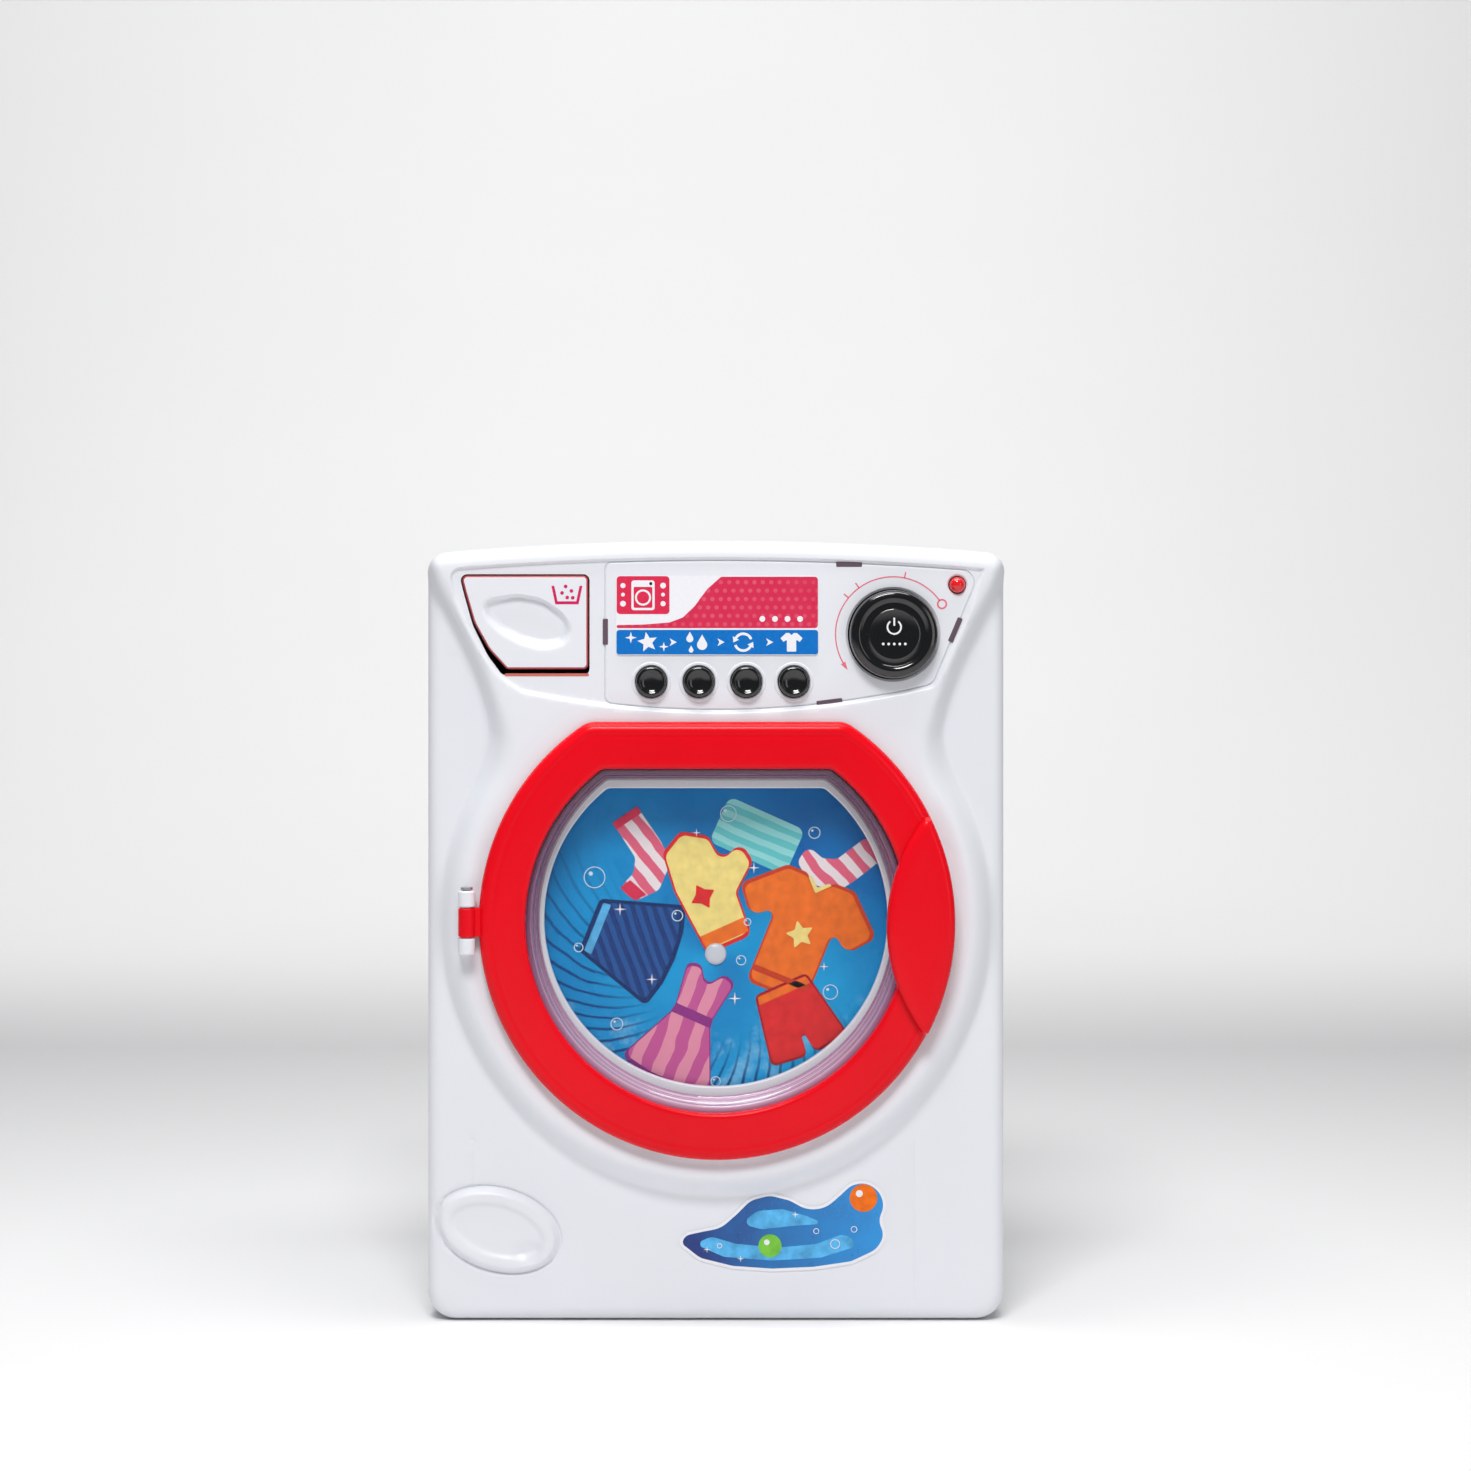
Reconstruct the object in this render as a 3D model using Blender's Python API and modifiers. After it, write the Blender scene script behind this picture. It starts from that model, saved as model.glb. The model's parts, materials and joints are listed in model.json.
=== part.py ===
"""Toy front-loading washing machine with a battery drive, as an assembly of separate pieces.

Metres, +Z up. The front faces -Y, +X is to the right as seen from the front, and the origin is at
the middle of the whole toy's box, on the surface that it stands on.
"""

import math

import bmesh
import bpy
from mathutils import Matrix, Vector

# Whole toy
WIDTH = 0.180
HEIGHT = 0.243
FACE_DEPTH = 0.115  # from the plain lower face to the back
CROWN = 0.004  # rise of the top edge towards the middle
WALL = 0.0024
FIT = 0.0003  # gap between pieces that touch
OVERRUN = 0.001  # how far a cutter reaches past what it cuts
SIDE_RUN = 0.0008  # running gap beside something that moves

# Casing
BOTTOM_CORNER = 0.009
TOP_CORNER = 0.0070
FRONT_EDGE = 0.0045
BACK_EDGE = 0.006
SEAM_DEPTH = 0.060  # from the plain lower face to the seam
TONGUE = 0.003
TONGUE_WALL = 0.0012
BOSS_RADIUS = 0.0040
BOSS_CORE = 0.0016
BOSS_CORE_DEPTH = 0.013
WELL_RADIUS = 0.0044
WELL_BORE = 0.0034
WELL_HOLE = 0.0017
WELL_FLOOR = 0.0025
CASE_SCREW_LOW_INSET = 0.012
CASE_SCREW_LOW_X = WIDTH / 2 - CASE_SCREW_LOW_INSET
CASE_SCREW_SIDE_INSET = 0.009
CASE_SCREW_SIDE_X = WIDTH / 2 - CASE_SCREW_SIDE_INSET
CASE_SCREW_LOW_Z = 0.014
CASE_SCREW_MID_Z = 0.104
CASE_SCREW_HIGH_Z = 0.190

# Raised keyhole form on the front
HOOD_RISE = 0.007
HOOD_EDGE = 0.0035
HOOD_START_Z = 0.2315  # where the hood leaves the casing's side
HOOD_SWELL_INSET = 0.0060
HOOD_SWELL_X = WIDTH / 2 - HOOD_SWELL_INSET
HOOD_SWELL_Z = 0.2190
HOOD_WAIST_INSET = 0.0212
HOOD_WAIST_X = WIDTH / 2 - HOOD_WAIST_INSET
HOOD_WAIST_Z = 0.1960
HOOD_NECK_INSET = 0.0198
HOOD_NECK_X = WIDTH / 2 - HOOD_NECK_INSET
HOOD_NECK_Z = 0.1780
SURROUND_MARGIN = 0.0040  # from the casing's side
SURROUND_RADIUS = WIDTH / 2 - SURROUND_MARGIN
SURROUND_SLOPE = 0.0100
SURROUND_CREST = SURROUND_RADIUS - SURROUND_SLOPE
SURROUND_STEP = 0.00005  # keeps its flat off the hood's plane

# Door: every D outline is this circle with a flat top, drawn in by an inset
DOOR_Z = 0.1252
SURROUND_BAND = 0.0125
DOOR_RADIUS = SURROUND_RADIUS - SURROUND_BAND
DOOR_CHORD = 0.0618
DOOR_CORNER = 0.0080
LEAST_CORNER = 0.0030
DOOR_THICK = 0.0037
DOOR_EDGE = 0.0028
DOOR_BAND = 0.0145  # width of the red band
DOOR_INNER_EDGE = 0.0008
RECESS_INSET = 0.0075
RECESS_DEPTH = 0.0090
OPENING_INSET = 0.0206
WINDOW_FLANGE_INSET = 0.0126
WINDOW_MOUTH_INSET = 0.0150
WINDOW_FLOOR_INSET = 0.0178
WINDOW_WALL = 0.0014
CLAMP_INNER_INSET = 0.0138
CLAMP_SCREW_INSET = 0.0108
CLAMP_GAP = 0.0025  # from the clamp ring back to the recess floor
CLAMP_SCREW_HEAD = 0.0020
CLAMP_SCREW_HEAD_THICK = 0.0013
CLAMP_SCREW_SHANK = 0.0010
CLAMP_SCREW_BITE = 0.0024
CATCH_LENGTH = 0.0045
CATCH_THICK = 0.0022
CATCH_HALF_WIDTH = 0.0040

# Door handle: a lens between the door's edge and a second arc
HANDLE_THICK = 0.0037
HANDLE_ARC_RADIUS = 0.0544
HANDLE_REACH_X = 0.0522
HANDLE_EDGE = 0.0022
HANDLE_DROP = 0.0012
HANDLE_TIP = 0.0016
HANDLE_PEG = 0.0016
HANDLE_PEG_X = 0.0650
HANDLE_PEG_SPREAD = 0.0170

# Door hinge on the left
HINGE_OFFSET = 0.0036  # axis outside the door's edge
KNUCKLE_RADIUS = 0.0026
KNUCKLE_LENGTH = 0.0090
EAR_LENGTH = 0.0050
HINGE_PIN_RADIUS = 0.0012
HINGE_PIN_HEAD = 0.0019
HINGE_PIN_HEAD_THICK = 0.0008
LUG_HEIGHT = 0.0022

# Control zone, panel and what it holds
CONTROL_DROP = 0.0010
TOP_LIP = 0.0063
ZONE_MARGIN = 0.0008
ZONE_HALF_TOP = 0.0826
ZONE_HALF_LOW = 0.0672
ZONE_CORNER = 0.0030
SMILE_LOW_Z = 0.1909
SMILE_RADIUS = 0.286
PANEL_LEFT = -0.0344
PANEL_RIGHT_LOW = 0.0668
PANEL_RIGHT_TOP = 0.0815
PANEL_CORNER = 0.0020
PANEL_THICK = 0.0032
PANEL_PROUD = 0.0002
RIM_OUT = 0.0020
RIM_IN = 0.0012
RIM_THICK = 0.0016
CLIP_SLOT_LENGTH = 0.0080
CLIP_SLOT_WIDTH = 0.0016
CLIP_SLOT_DEPTH = 0.0015
LABEL_LEFT = -0.0311
LABEL_RIGHT = 0.0315
LABEL_LOW_Z = 0.2076
LABEL_TOP_Z = 0.2322
LABEL_CORNER = 0.0013
LABEL_THICK = 0.0003
LABEL_GAP = 0.0001

BUTTON_Z = 0.1993
BUTTON_FIRST_X = -0.0202
BUTTON_PITCH = 0.0147
BUTTON_RADIUS = 0.0047
BUTTON_PROUD = 0.0026
BUTTON_TRAVEL = 0.0008
BUTTON_DISH = 0.0008
BUTTON_RIM = 0.0010
BUTTON_FLANGE = 0.0011
BUTTON_FLANGE_THICK = 0.0010
BUTTON_STEM = 0.0026
BOARD_GAP = 0.0088  # from the panel's front to the control board
BOARD_THICK = 0.0016
BOARD_INSET = 0.0040
KEYPAD_THICK = 0.0010
KEYPAD_MARGIN = 0.0062
DOME_BASE = 0.0048
DOME_TOP = 0.0030
DOME_HEIGHT = 0.0013

POWER_X = 0.0546
POWER_Z = 0.2140
POWER_RADIUS = 0.0136
POWER_PROUD = 0.0052
POWER_EDGE = 0.0022
POWER_STEP_RADIUS = 0.0101
POWER_STEP = 0.0007
POWER_DISH = 0.0010
POWER_SKIN = 0.0020
POWER_BORE = 0.0112
POWER_FLANGE = 0.0013
POWER_FLANGE_THICK = 0.0010
POWER_TRAVEL = 0.0020
POWER_STEM = 0.0031
POWER_SOCKET = 0.0019
SWITCH_HALF = 0.0055
SWITCH_HEIGHT = 0.0044
SWITCH_PLUNGER = 0.0016
SWITCH_PLUNGER_LENGTH = 0.0036
SPRING_RADIUS = 0.0044
SPRING_WIRE = 0.0003
SPRING_TURNS = 5

LED_X = 0.0745
LED_Z = 0.2293
LED_RADIUS = 0.0025
LED_PROUD = 0.0022
LED_FLANGE = 0.0029
LED_FLANGE_THICK = 0.0010
LED_LEG = 0.0005
LED_LEG_SPREAD = 0.00127

POST_RADIUS = 0.0019
POST_PIN = 0.0009

# Detergent flap at the left, hinged along its bottom edge, and its tray
FLAP_LEFT = -0.0792
FLAP_RIGHT = -0.0397
FLAP_TOP_Z = 0.2322
FLAP_LOW_Z = 0.2032
FLAP_LOW_LEFT = -0.0649
FLAP_CORNER = 0.0016
FLAP_GAP = 0.0004
FLAP_HINGE_GAP = 0.0018
FLAP_SWING_DROP = 0.0017  # how far the slanted edge sinks as it tilts
FLAP_SWING_SIDE = 0.0013
FLAP_THICK = 0.0026
FLAP_PROUD = 0.0006
FLAP_EDGE = 0.0011
FLAP_AXIS_BEHIND = 0.0014
FLAP_AXIS_RISE = 0.0015
SCOOP_DEPTH = 0.0014
FLAP_LUG_RADIUS = 0.0018
FLAP_LUG_THICK = 0.0018
STUB_RADIUS = 0.0009
EAR_THICK = 0.0020
EAR_REACH = 0.0024
TRAY_DEPTH = 0.0180
TRAY_HEIGHT = 0.0185
TRAY_WALL = 0.0014

# Drum, tub and drive
DRUM_DROP = 0.0114  # drum axis below the door's centre
DRUM_INSET = 0.0095  # of the drum inside the door's outline
DRUM_RADIUS = DOOR_RADIUS - DRUM_INSET
DRUM_SKIN = 0.0020
DRUM_RIM = 0.0080
DRUM_EDGE = 0.0012
DRUM_HUB = 0.0060
DRUM_HUB_LENGTH = 0.0060
PICTURE_MARGIN = 0.0020
PICTURE_THICK = 0.0003
CAP_RADIUS = 0.0034
CAP_HEIGHT = 0.0014
TUB_CLEARANCE = 0.0020
TUB_RADIUS = DRUM_RADIUS + TUB_CLEARANCE
TUB_WALL = 0.0020
TUB_DEPTH = 0.0128
TUB_FRONT_GAP = 0.0024  # from the tub's rim back to the drum's front
BUSH_RADIUS = 0.0045
BUSH_FRONT = 0.0012
BUSH_BACK = 0.0060
TUB_LUG_REACH = 0.0080
TUB_LUG_RADIUS = TUB_RADIUS + TUB_LUG_REACH
TUB_LUG_HALF = 0.0042
TUB_LUG_THICK = 0.0022
TUB_LUG_SETBACK = 0.0036
TUB_LUG_ANGLES = (20, 160, 270)
TUB_BOSS_RADIUS = 0.0034
TUB_CORE = 0.0014
SHAFT_RADIUS = 0.0020
SHAFT_FIT = 0.0001
GEAR_MODULE = 0.0010
GEAR_TEETH = 36
GEAR_THICK = 0.0045
SMALL_TEETH = 12
FINE_MODULE = 0.0007
BIG_TEETH = 30
BIG_THICK = 0.0030
PINION_TEETH = 10
PINION_THICK = 0.0040
BACKLASH_SHARE = 0.18
GEAR_GAP = 0.0006
TRAIN_ANGLE = -60
AXLE_RADIUS = 0.0015
PLATE_THICK = 0.0020
PLATE_MARGIN = 0.0060
PLATE_POST_RADIUS = 0.0032
PLATE_SCREW_CORE = 0.0012
MOTOR_RADIUS = 0.0100
MOTOR_HALF_FLAT = 0.0076
MOTOR_LENGTH = 0.0250
MOTOR_BOSS_RADIUS = 0.0030
MOTOR_BOSS = 0.0016
MOTOR_CAP_RADIUS = 0.0092
MOTOR_CAP = 0.0040
MOTOR_SHAFT_RADIUS = 0.0010
MOTOR_SHAFT_LENGTH = 0.0160
MOTOR_ARM = 0.0018
MOTOR_ARM_HALF = 0.0045
MOTOR_ARM_LENGTH = 0.0170

# Screws
SCREW_HEAD = 0.0028
SCREW_HEAD_THICK = 0.0018
SCREW_SHANK = 0.0013
SCREW_LENGTH = 0.0120
SMALL_HEAD = 0.0025
SMALL_HEAD_THICK = 0.0015
SMALL_SHANK = 0.0010
SMALL_LENGTH = 0.0055
DRIVE_SLOT = 0.0006
DRIVE_DEPTH = 0.0008

# Battery bay in the back
BATTERY_RADIUS = 0.0070
BATTERY_LENGTH = 0.0495
BATTERY_NUB_RADIUS = 0.0027
BATTERY_NUB = 0.0010
BATTERY_COUNT = 3
BATTERY_PITCH = 0.0152
BAY_LOW_Z = 0.0160
BAY_HALF_WIDTH = 0.0290
BAY_DEPTH = 0.0160
BAY_WALL = 0.0030
COVER_THICK = 0.0020
COVER_LEDGE = 0.0014
COVER_CORNER = 0.0020
COVER_TAB_HALF = 0.0060
COVER_TAB = 0.0085
CONTACT_THICK = 0.0005
CONTACT_CONE = 0.0038
CONTACT_TIP = 0.0020
CONTACT_SPRING = 0.0056
CONTACT_STUD = 0.0012

# Speaker and main board in the back
SPEAKER_Z = 0.1760
SPEAKER_RADIUS = 0.0200
SPEAKER_DEPTH = 0.0130
SPEAKER_RIM = 0.0016
SPEAKER_RIM_DEPTH = 0.0028
SPEAKER_MAGNET = 0.0080
SPEAKER_MAGNET_DEPTH = 0.0050
CONE_SKIN = 0.0006
COLLAR_WALL = 0.0014
COLLAR_HEIGHT = 0.0040
GRILLE_SLOTS = 5
GRILLE_PITCH = 0.0055
GRILLE_HALF_WIDTH = 0.0120
GRILLE_HALF_HEIGHT = 0.0011
MAIN_BOARD_LEFT = -0.0300
MAIN_BOARD_RIGHT = 0.0300
MAIN_BOARD_LOW_Z = 0.0960
MAIN_BOARD_TOP_Z = 0.1320
MAIN_BOARD_STANDOFF = 0.0080
MAIN_BOARD_SCREW_MARGIN = 0.0045
STANDOFF_RADIUS = 0.0030
CHIP_HALF = 0.0060
CHIP_THICK = 0.0018

# Sticker and moulded filter cover low on the front
STICKER_LEFT = -0.0120
STICKER_RIGHT = 0.0534
STICKER_LOW_Z = 0.0156
STICKER_TOP_Z = 0.0442
FILTER_X = -0.0680
FILTER_Z = 0.0285
FILTER_HALF_LENGTH = 0.0195
FILTER_HALF_HEIGHT = 0.0125
FILTER_TILT = -16
FILTER_RISE = 0.0016
FILTER_EDGE = 0.0013

# Planes across the depth, front to back
DEPTH = FACE_DEPTH + HOOD_RISE + FIT + DOOR_THICK + FIT + HANDLE_THICK
BACK_Y = DEPTH / 2
FACE_Y = BACK_Y - FACE_DEPTH
SEAM_Y = FACE_Y + SEAM_DEPTH
HOOD_Y = FACE_Y - HOOD_RISE
DOOR_BACK_Y = HOOD_Y - FIT
DOOR_Y = DOOR_BACK_Y - DOOR_THICK
HANDLE_BACK_Y = DOOR_Y - FIT
HANDLE_Y = HANDLE_BACK_Y - HANDLE_THICK
CONTROL_Y = HOOD_Y + CONTROL_DROP
HOOD_INSIDE_Y = CONTROL_Y + WALL
FACE_INSIDE_Y = FACE_Y + WALL
LIP_Y = HOOD_Y + RECESS_DEPTH
LIP_BACK_Y = LIP_Y + WALL
CLAMP_BACK_Y = LIP_Y - CLAMP_GAP
BACK_INSIDE_Y = BACK_Y - WALL

PANEL_Y = CONTROL_Y - PANEL_PROUD
PANEL_BACK_Y = PANEL_Y + PANEL_THICK
RIM_Y = HOOD_INSIDE_Y + FIT
RIM_BACK_Y = RIM_Y + RIM_THICK
BOARD_Y = RIM_BACK_Y + BOARD_GAP - PANEL_THICK
BOARD_BACK_Y = BOARD_Y + BOARD_THICK

TUB_Y = LIP_BACK_Y + FIT
DRUM_Y = TUB_Y + TUB_FRONT_GAP
TUB_FLOOR_Y = TUB_Y + TUB_DEPTH
TUB_BACK_Y = TUB_FLOOR_Y + TUB_WALL
GEAR_Y = TUB_BACK_Y + BUSH_BACK + GEAR_GAP
GEAR_BACK_Y = GEAR_Y + GEAR_THICK
BIG_Y = GEAR_BACK_Y + GEAR_GAP
BIG_BACK_Y = BIG_Y + BIG_THICK
PLATE_Y = BIG_BACK_Y + 2 * GEAR_GAP
PLATE_BACK_Y = PLATE_Y + PLATE_THICK
MOTOR_Y = PLATE_BACK_Y + FIT

DRUM_Z = DOOR_Z - DRUM_DROP
HINGE_X = -DOOR_RADIUS - HINGE_OFFSET
HINGE_Y = HOOD_Y - FIT - KNUCKLE_RADIUS
FLAP_Y = CONTROL_Y - FLAP_PROUD
FLAP_BACK_Y = FLAP_Y + FLAP_THICK
FLAP_AXIS_Y = FLAP_BACK_Y + FLAP_AXIS_BEHIND
FLAP_AXIS_Z = FLAP_LOW_Z + FLAP_AXIS_RISE
BAY_TOP_Z = BAY_LOW_Z + BATTERY_COUNT * BATTERY_PITCH
BAY_FLOOR_Y = BACK_Y - COVER_THICK - FIT - BAY_DEPTH
BUTTON_XS = tuple(BUTTON_FIRST_X + BUTTON_PITCH * i for i in range(4))

STAND_UP = Matrix.Rotation(math.pi / 2, 4, "X")  # a flat outline's own Y becomes world Z
ALONG_X = Matrix.Rotation(math.pi / 2, 4, "Y")


# Scene, collections and materials


def clear_scene():
    for old in list(bpy.data.objects):
        bpy.data.objects.remove(old, do_unlink=True)


def new_collection(name, hidden=False):
    made = bpy.data.collections.new(name)
    made.hide_render = hidden
    bpy.context.scene.collection.children.link(made)
    return made


clear_scene()
PARTS = new_collection("toy_washing_machine")
CUTTERS = new_collection("cutters", hidden=True)


def material(name, colour, roughness, metallic=0.0, transmission=0.0):
    made = bpy.data.materials.new(name)
    made.use_nodes = True
    shader = made.node_tree.nodes["Principled BSDF"]
    shader.inputs["Base Color"].default_value = (*colour, 1.0)
    shader.inputs["Roughness"].default_value = roughness
    shader.inputs["Metallic"].default_value = metallic
    shader.inputs["Transmission Weight"].default_value = transmission
    return made


WHITE = material("white_plastic", (0.78, 0.81, 0.86), 0.30)
RED = material("red_plastic", (0.75, 0.01, 0.02), 0.25)
BLACK = material("black_gloss", (0.008, 0.008, 0.010), 0.12)
BLUE = material("blue_plastic", (0.01, 0.20, 0.60), 0.35)
CLEAR = material("clear_plastic", (0.95, 0.97, 1.0), 0.05, transmission=1.0)
GREY = material("grey_plastic", (0.45, 0.47, 0.50), 0.45)
RUBBER = material("grey_rubber", (0.20, 0.20, 0.21), 0.80)
STEEL = material("steel", (0.60, 0.61, 0.63), 0.30, metallic=1.0)
BOARD = material("circuit_board", (0.02, 0.22, 0.08), 0.50)
LAMP = material("lamp_red", (0.85, 0.02, 0.01), 0.10)
PRINT = material("printed_film", (0.70, 0.05, 0.08), 0.40)
PAPER = material("paper_cone", (0.03, 0.03, 0.03), 0.85)
CELL = material("cell_jacket", (0.75, 0.30, 0.05), 0.35, metallic=0.6)
NATURAL = material("natural_nylon", (0.80, 0.78, 0.70), 0.40)


# Outlines: lists of (x, z), anticlockwise as seen from the front


def grown(corners, distance):
    """The sharp outline of (x, z, radius) corners moved outwards, its radii with it."""
    made = []
    count = len(corners)
    for i, (x, z, radius) in enumerate(corners):
        before = corners[i - 1]
        after = corners[(i + 1) % count]
        first = Vector((x - before[0], z - before[1])).normalized()
        second = Vector((after[0] - x, after[1] - z)).normalized()
        normal = Vector((first.y + second.y, -first.x - second.x)).normalized()
        reach = distance / max(normal.dot(Vector((first.y, -first.x))), 0.2)
        turns_out = first.x * second.y - first.y * second.x > 0
        kept = radius + distance if turns_out else radius - distance
        kept = max(kept, radius / 4) if radius else 0
        made.append((x + normal.x * reach, z + normal.y * reach, kept))
    return made


def filleted(corners, steps=4):
    """The outline with each (x, z, radius) corner rounded by an arc."""
    made = []
    count = len(corners)
    for i, (x, z, radius) in enumerate(corners):
        here = Vector((x, z))
        back = Vector(corners[i - 1][:2]) - here
        ahead = Vector(corners[(i + 1) % count][:2]) - here
        half = back.angle(ahead) / 2
        if not radius or math.pi / 2 - half < 0.01:
            made.append((x, z))
            continue
        room = [
            way.length * (0.48 if neighbour[2] else 0.97)
            for way, neighbour in ((back, corners[i - 1]), (ahead, corners[(i + 1) % count]))
        ]
        run = min(radius / math.tan(half), *room)
        radius = run * math.tan(half)
        middle = here + (back.normalized() + ahead.normalized()).normalized() * radius / math.sin(half)
        start = here + back.normalized() * run - middle
        sweep = start.angle_signed(here + ahead.normalized() * run - middle)
        for k in range(steps + 1):
            turned_by = Matrix.Rotation(-sweep * k / steps, 2)
            made.append(tuple(middle + turned_by @ start))
    return made


def circle(x, z, radius, steps):
    return [
        (x + radius * math.cos(math.tau * k / steps), z + radius * math.sin(math.tau * k / steps))
        for k in range(steps)
    ]


def crown_z(x, drop=0):
    """Height of the crowned top line, drop below the casing's own."""
    return HEIGHT - drop - CROWN * (x / (WIDTH / 2)) ** 2


def casing_corners():
    half = WIDTH / 2
    crown_shares = (0.66, 0.33, 0, -0.33, -0.66)
    return [
        (-half, 0, BOTTOM_CORNER),
        (half, 0, BOTTOM_CORNER),
        (half, crown_z(half), TOP_CORNER),
        *((half * share, crown_z(half * share), 0) for share in crown_shares),
        (-half, crown_z(half), TOP_CORNER),
    ]


def casing_outline(inset=0):
    return filleted(grown(casing_corners(), -inset))


def bezier(points, share):
    """A point on the cubic curve through the first and last of four (x, z) points."""
    a, b, c, d = (Vector(p) for p in points)
    rest = 1 - share
    return a * rest**3 + b * 3 * rest**2 * share + c * 3 * rest * share**2 + d * share**3


def hood_outline(inset=0):
    """The hood: full width at the top, drawn in by an S curve to the door's surround."""
    half = WIDTH / 2
    curve = (
        (half, HOOD_START_Z),
        (HOOD_SWELL_X, HOOD_SWELL_Z),
        (HOOD_WAIST_X, HOOD_WAIST_Z),
        (HOOD_NECK_X, HOOD_NECK_Z),
    )
    side_shares = (0, 0.16, 0.33, 0.5, 0.67, 0.84, 1)
    side = [tuple(bezier(curve, share)) for share in side_shares]
    root = (HOOD_NECK_X, DOOR_Z + DOOR_CHORD / 3)
    top_shares = (0.66, 0.33, 0, -0.33, -0.66)
    corners = [
        (-root[0], root[1], 0),
        (root[0], root[1], 0),
        *((x, z, 0) for x, z in reversed(side)),
        (half, crown_z(half), TOP_CORNER),
        *((half * share, crown_z(half * share), 0) for share in top_shares),
        (-half, crown_z(half), TOP_CORNER),
        *((-x, z, 0) for x, z in side),
    ]
    return filleted(grown(corners, -inset))


def d_outline(inset, steps=32, corner_steps=3):
    """The door's D drawn in by inset: a circle with a flat top and rounded corners."""
    radius = DOOR_RADIUS - inset
    chord = DOOR_CHORD - inset
    corner = max(DOOR_CORNER - inset, LEAST_CORNER)
    corner_x = math.sqrt((radius - corner) ** 2 - (chord - corner) ** 2)
    tilt = math.atan2(chord - corner, corner_x)
    made = []
    sweep = math.pi + 2 * tilt
    for k in range(steps + 1):
        angle = math.pi - tilt + sweep * k / steps
        made.append((radius * math.cos(angle), DOOR_Z + radius * math.sin(angle)))
    for side, first, last in ((1, tilt, math.pi / 2), (-1, math.pi / 2, math.pi - tilt)):
        start = 1 if side > 0 else 0
        stop = corner_steps + 1 if side > 0 else corner_steps
        for k in range(start, stop):
            angle = first + (last - first) * k / corner_steps
            x = side * corner_x + corner * math.cos(angle)
            made.append((x, DOOR_Z + chord - corner + corner * math.sin(angle)))
    return made


def smile_z(x):
    """Lower edge of the control zone, a shallow arc that rises to both sides."""
    return SMILE_LOW_Z + x**2 / (2 * SMILE_RADIUS)


def smile(left, right, count=8):
    return [(left + (right - left) * k / count, 0) for k in range(1, count)]


def zone_corners():
    low = -ZONE_MARGIN
    edge = TOP_LIP - ZONE_MARGIN
    return [
        (-ZONE_HALF_LOW, smile_z(ZONE_HALF_LOW) + low, ZONE_CORNER),
        *((x, smile_z(x) + low, 0) for x, _ in smile(-ZONE_HALF_LOW, ZONE_HALF_LOW)),
        (ZONE_HALF_LOW, smile_z(ZONE_HALF_LOW) + low, ZONE_CORNER),
        (ZONE_HALF_TOP, crown_z(ZONE_HALF_TOP, edge), ZONE_CORNER),
        (ZONE_HALF_TOP / 2, crown_z(ZONE_HALF_TOP / 2, edge), 0),
        (0, crown_z(0, edge), 0),
        (-ZONE_HALF_TOP / 2, crown_z(ZONE_HALF_TOP / 2, edge), 0),
        (-ZONE_HALF_TOP, crown_z(ZONE_HALF_TOP, edge), ZONE_CORNER),
    ]


def panel_corners():
    middle = (PANEL_LEFT + PANEL_RIGHT_TOP) / 2
    return [
        (PANEL_LEFT, smile_z(PANEL_LEFT), PANEL_CORNER),
        *((x, smile_z(x), 0) for x, _ in smile(PANEL_LEFT, PANEL_RIGHT_LOW)),
        (PANEL_RIGHT_LOW, smile_z(PANEL_RIGHT_LOW), 2 * PANEL_CORNER),
        (PANEL_RIGHT_TOP, crown_z(PANEL_RIGHT_TOP, TOP_LIP), 2 * PANEL_CORNER),
        (middle, crown_z(middle, TOP_LIP), 0),
        (PANEL_LEFT, crown_z(PANEL_LEFT, TOP_LIP), PANEL_CORNER),
    ]


def panel_outline(growth=0):
    return filleted(grown(panel_corners(), growth))


def flap_corners():
    """Its left edge follows the hood: shares from the bottom left corner to the top left one."""
    wide = FLAP_LOW_LEFT - FLAP_LEFT
    high = FLAP_TOP_Z - FLAP_LOW_Z
    edge_shares = ((0.90, 0.81), (0.71, 0.49), (0.39, 0.21))
    return [
        (FLAP_LOW_LEFT, FLAP_LOW_Z, FLAP_CORNER),
        (FLAP_RIGHT, FLAP_LOW_Z, FLAP_CORNER),
        (FLAP_RIGHT, FLAP_TOP_Z, FLAP_CORNER),
        (FLAP_LEFT, FLAP_TOP_Z, FLAP_CORNER),
        *((FLAP_LOW_LEFT - wide * out, FLAP_LOW_Z + high * up, 0) for out, up in edge_shares),
    ]


def scoop_outline():
    """A leaf-shaped finger scoop: shares of the flap's width and height from its lower right."""
    wide = FLAP_RIGHT - FLAP_LEFT
    high = FLAP_TOP_Z - FLAP_LOW_Z
    leaf_shares = (
        (0.82, 0.54), (0.71, 0.37), (0.54, 0.24), (0.34, 0.17), (0.16, 0.25), (0.11, 0.42),
        (0.19, 0.60), (0.37, 0.77), (0.56, 0.81), (0.75, 0.77), (0.84, 0.70),
    )
    return [(FLAP_RIGHT - wide * out, FLAP_LOW_Z + high * up) for out, up in leaf_shares]


def slot_outline(x, z, half_length, half_width, degrees):
    """A rectangle about (x, z), its long side turned from level."""
    turn = Matrix.Rotation(math.radians(degrees), 2)
    ends = ((-1, -1), (1, -1), (1, 1), (-1, 1))
    return [tuple(Vector((x, z)) + turn @ Vector((half_length * a, half_width * b))) for a, b in ends]


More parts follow.
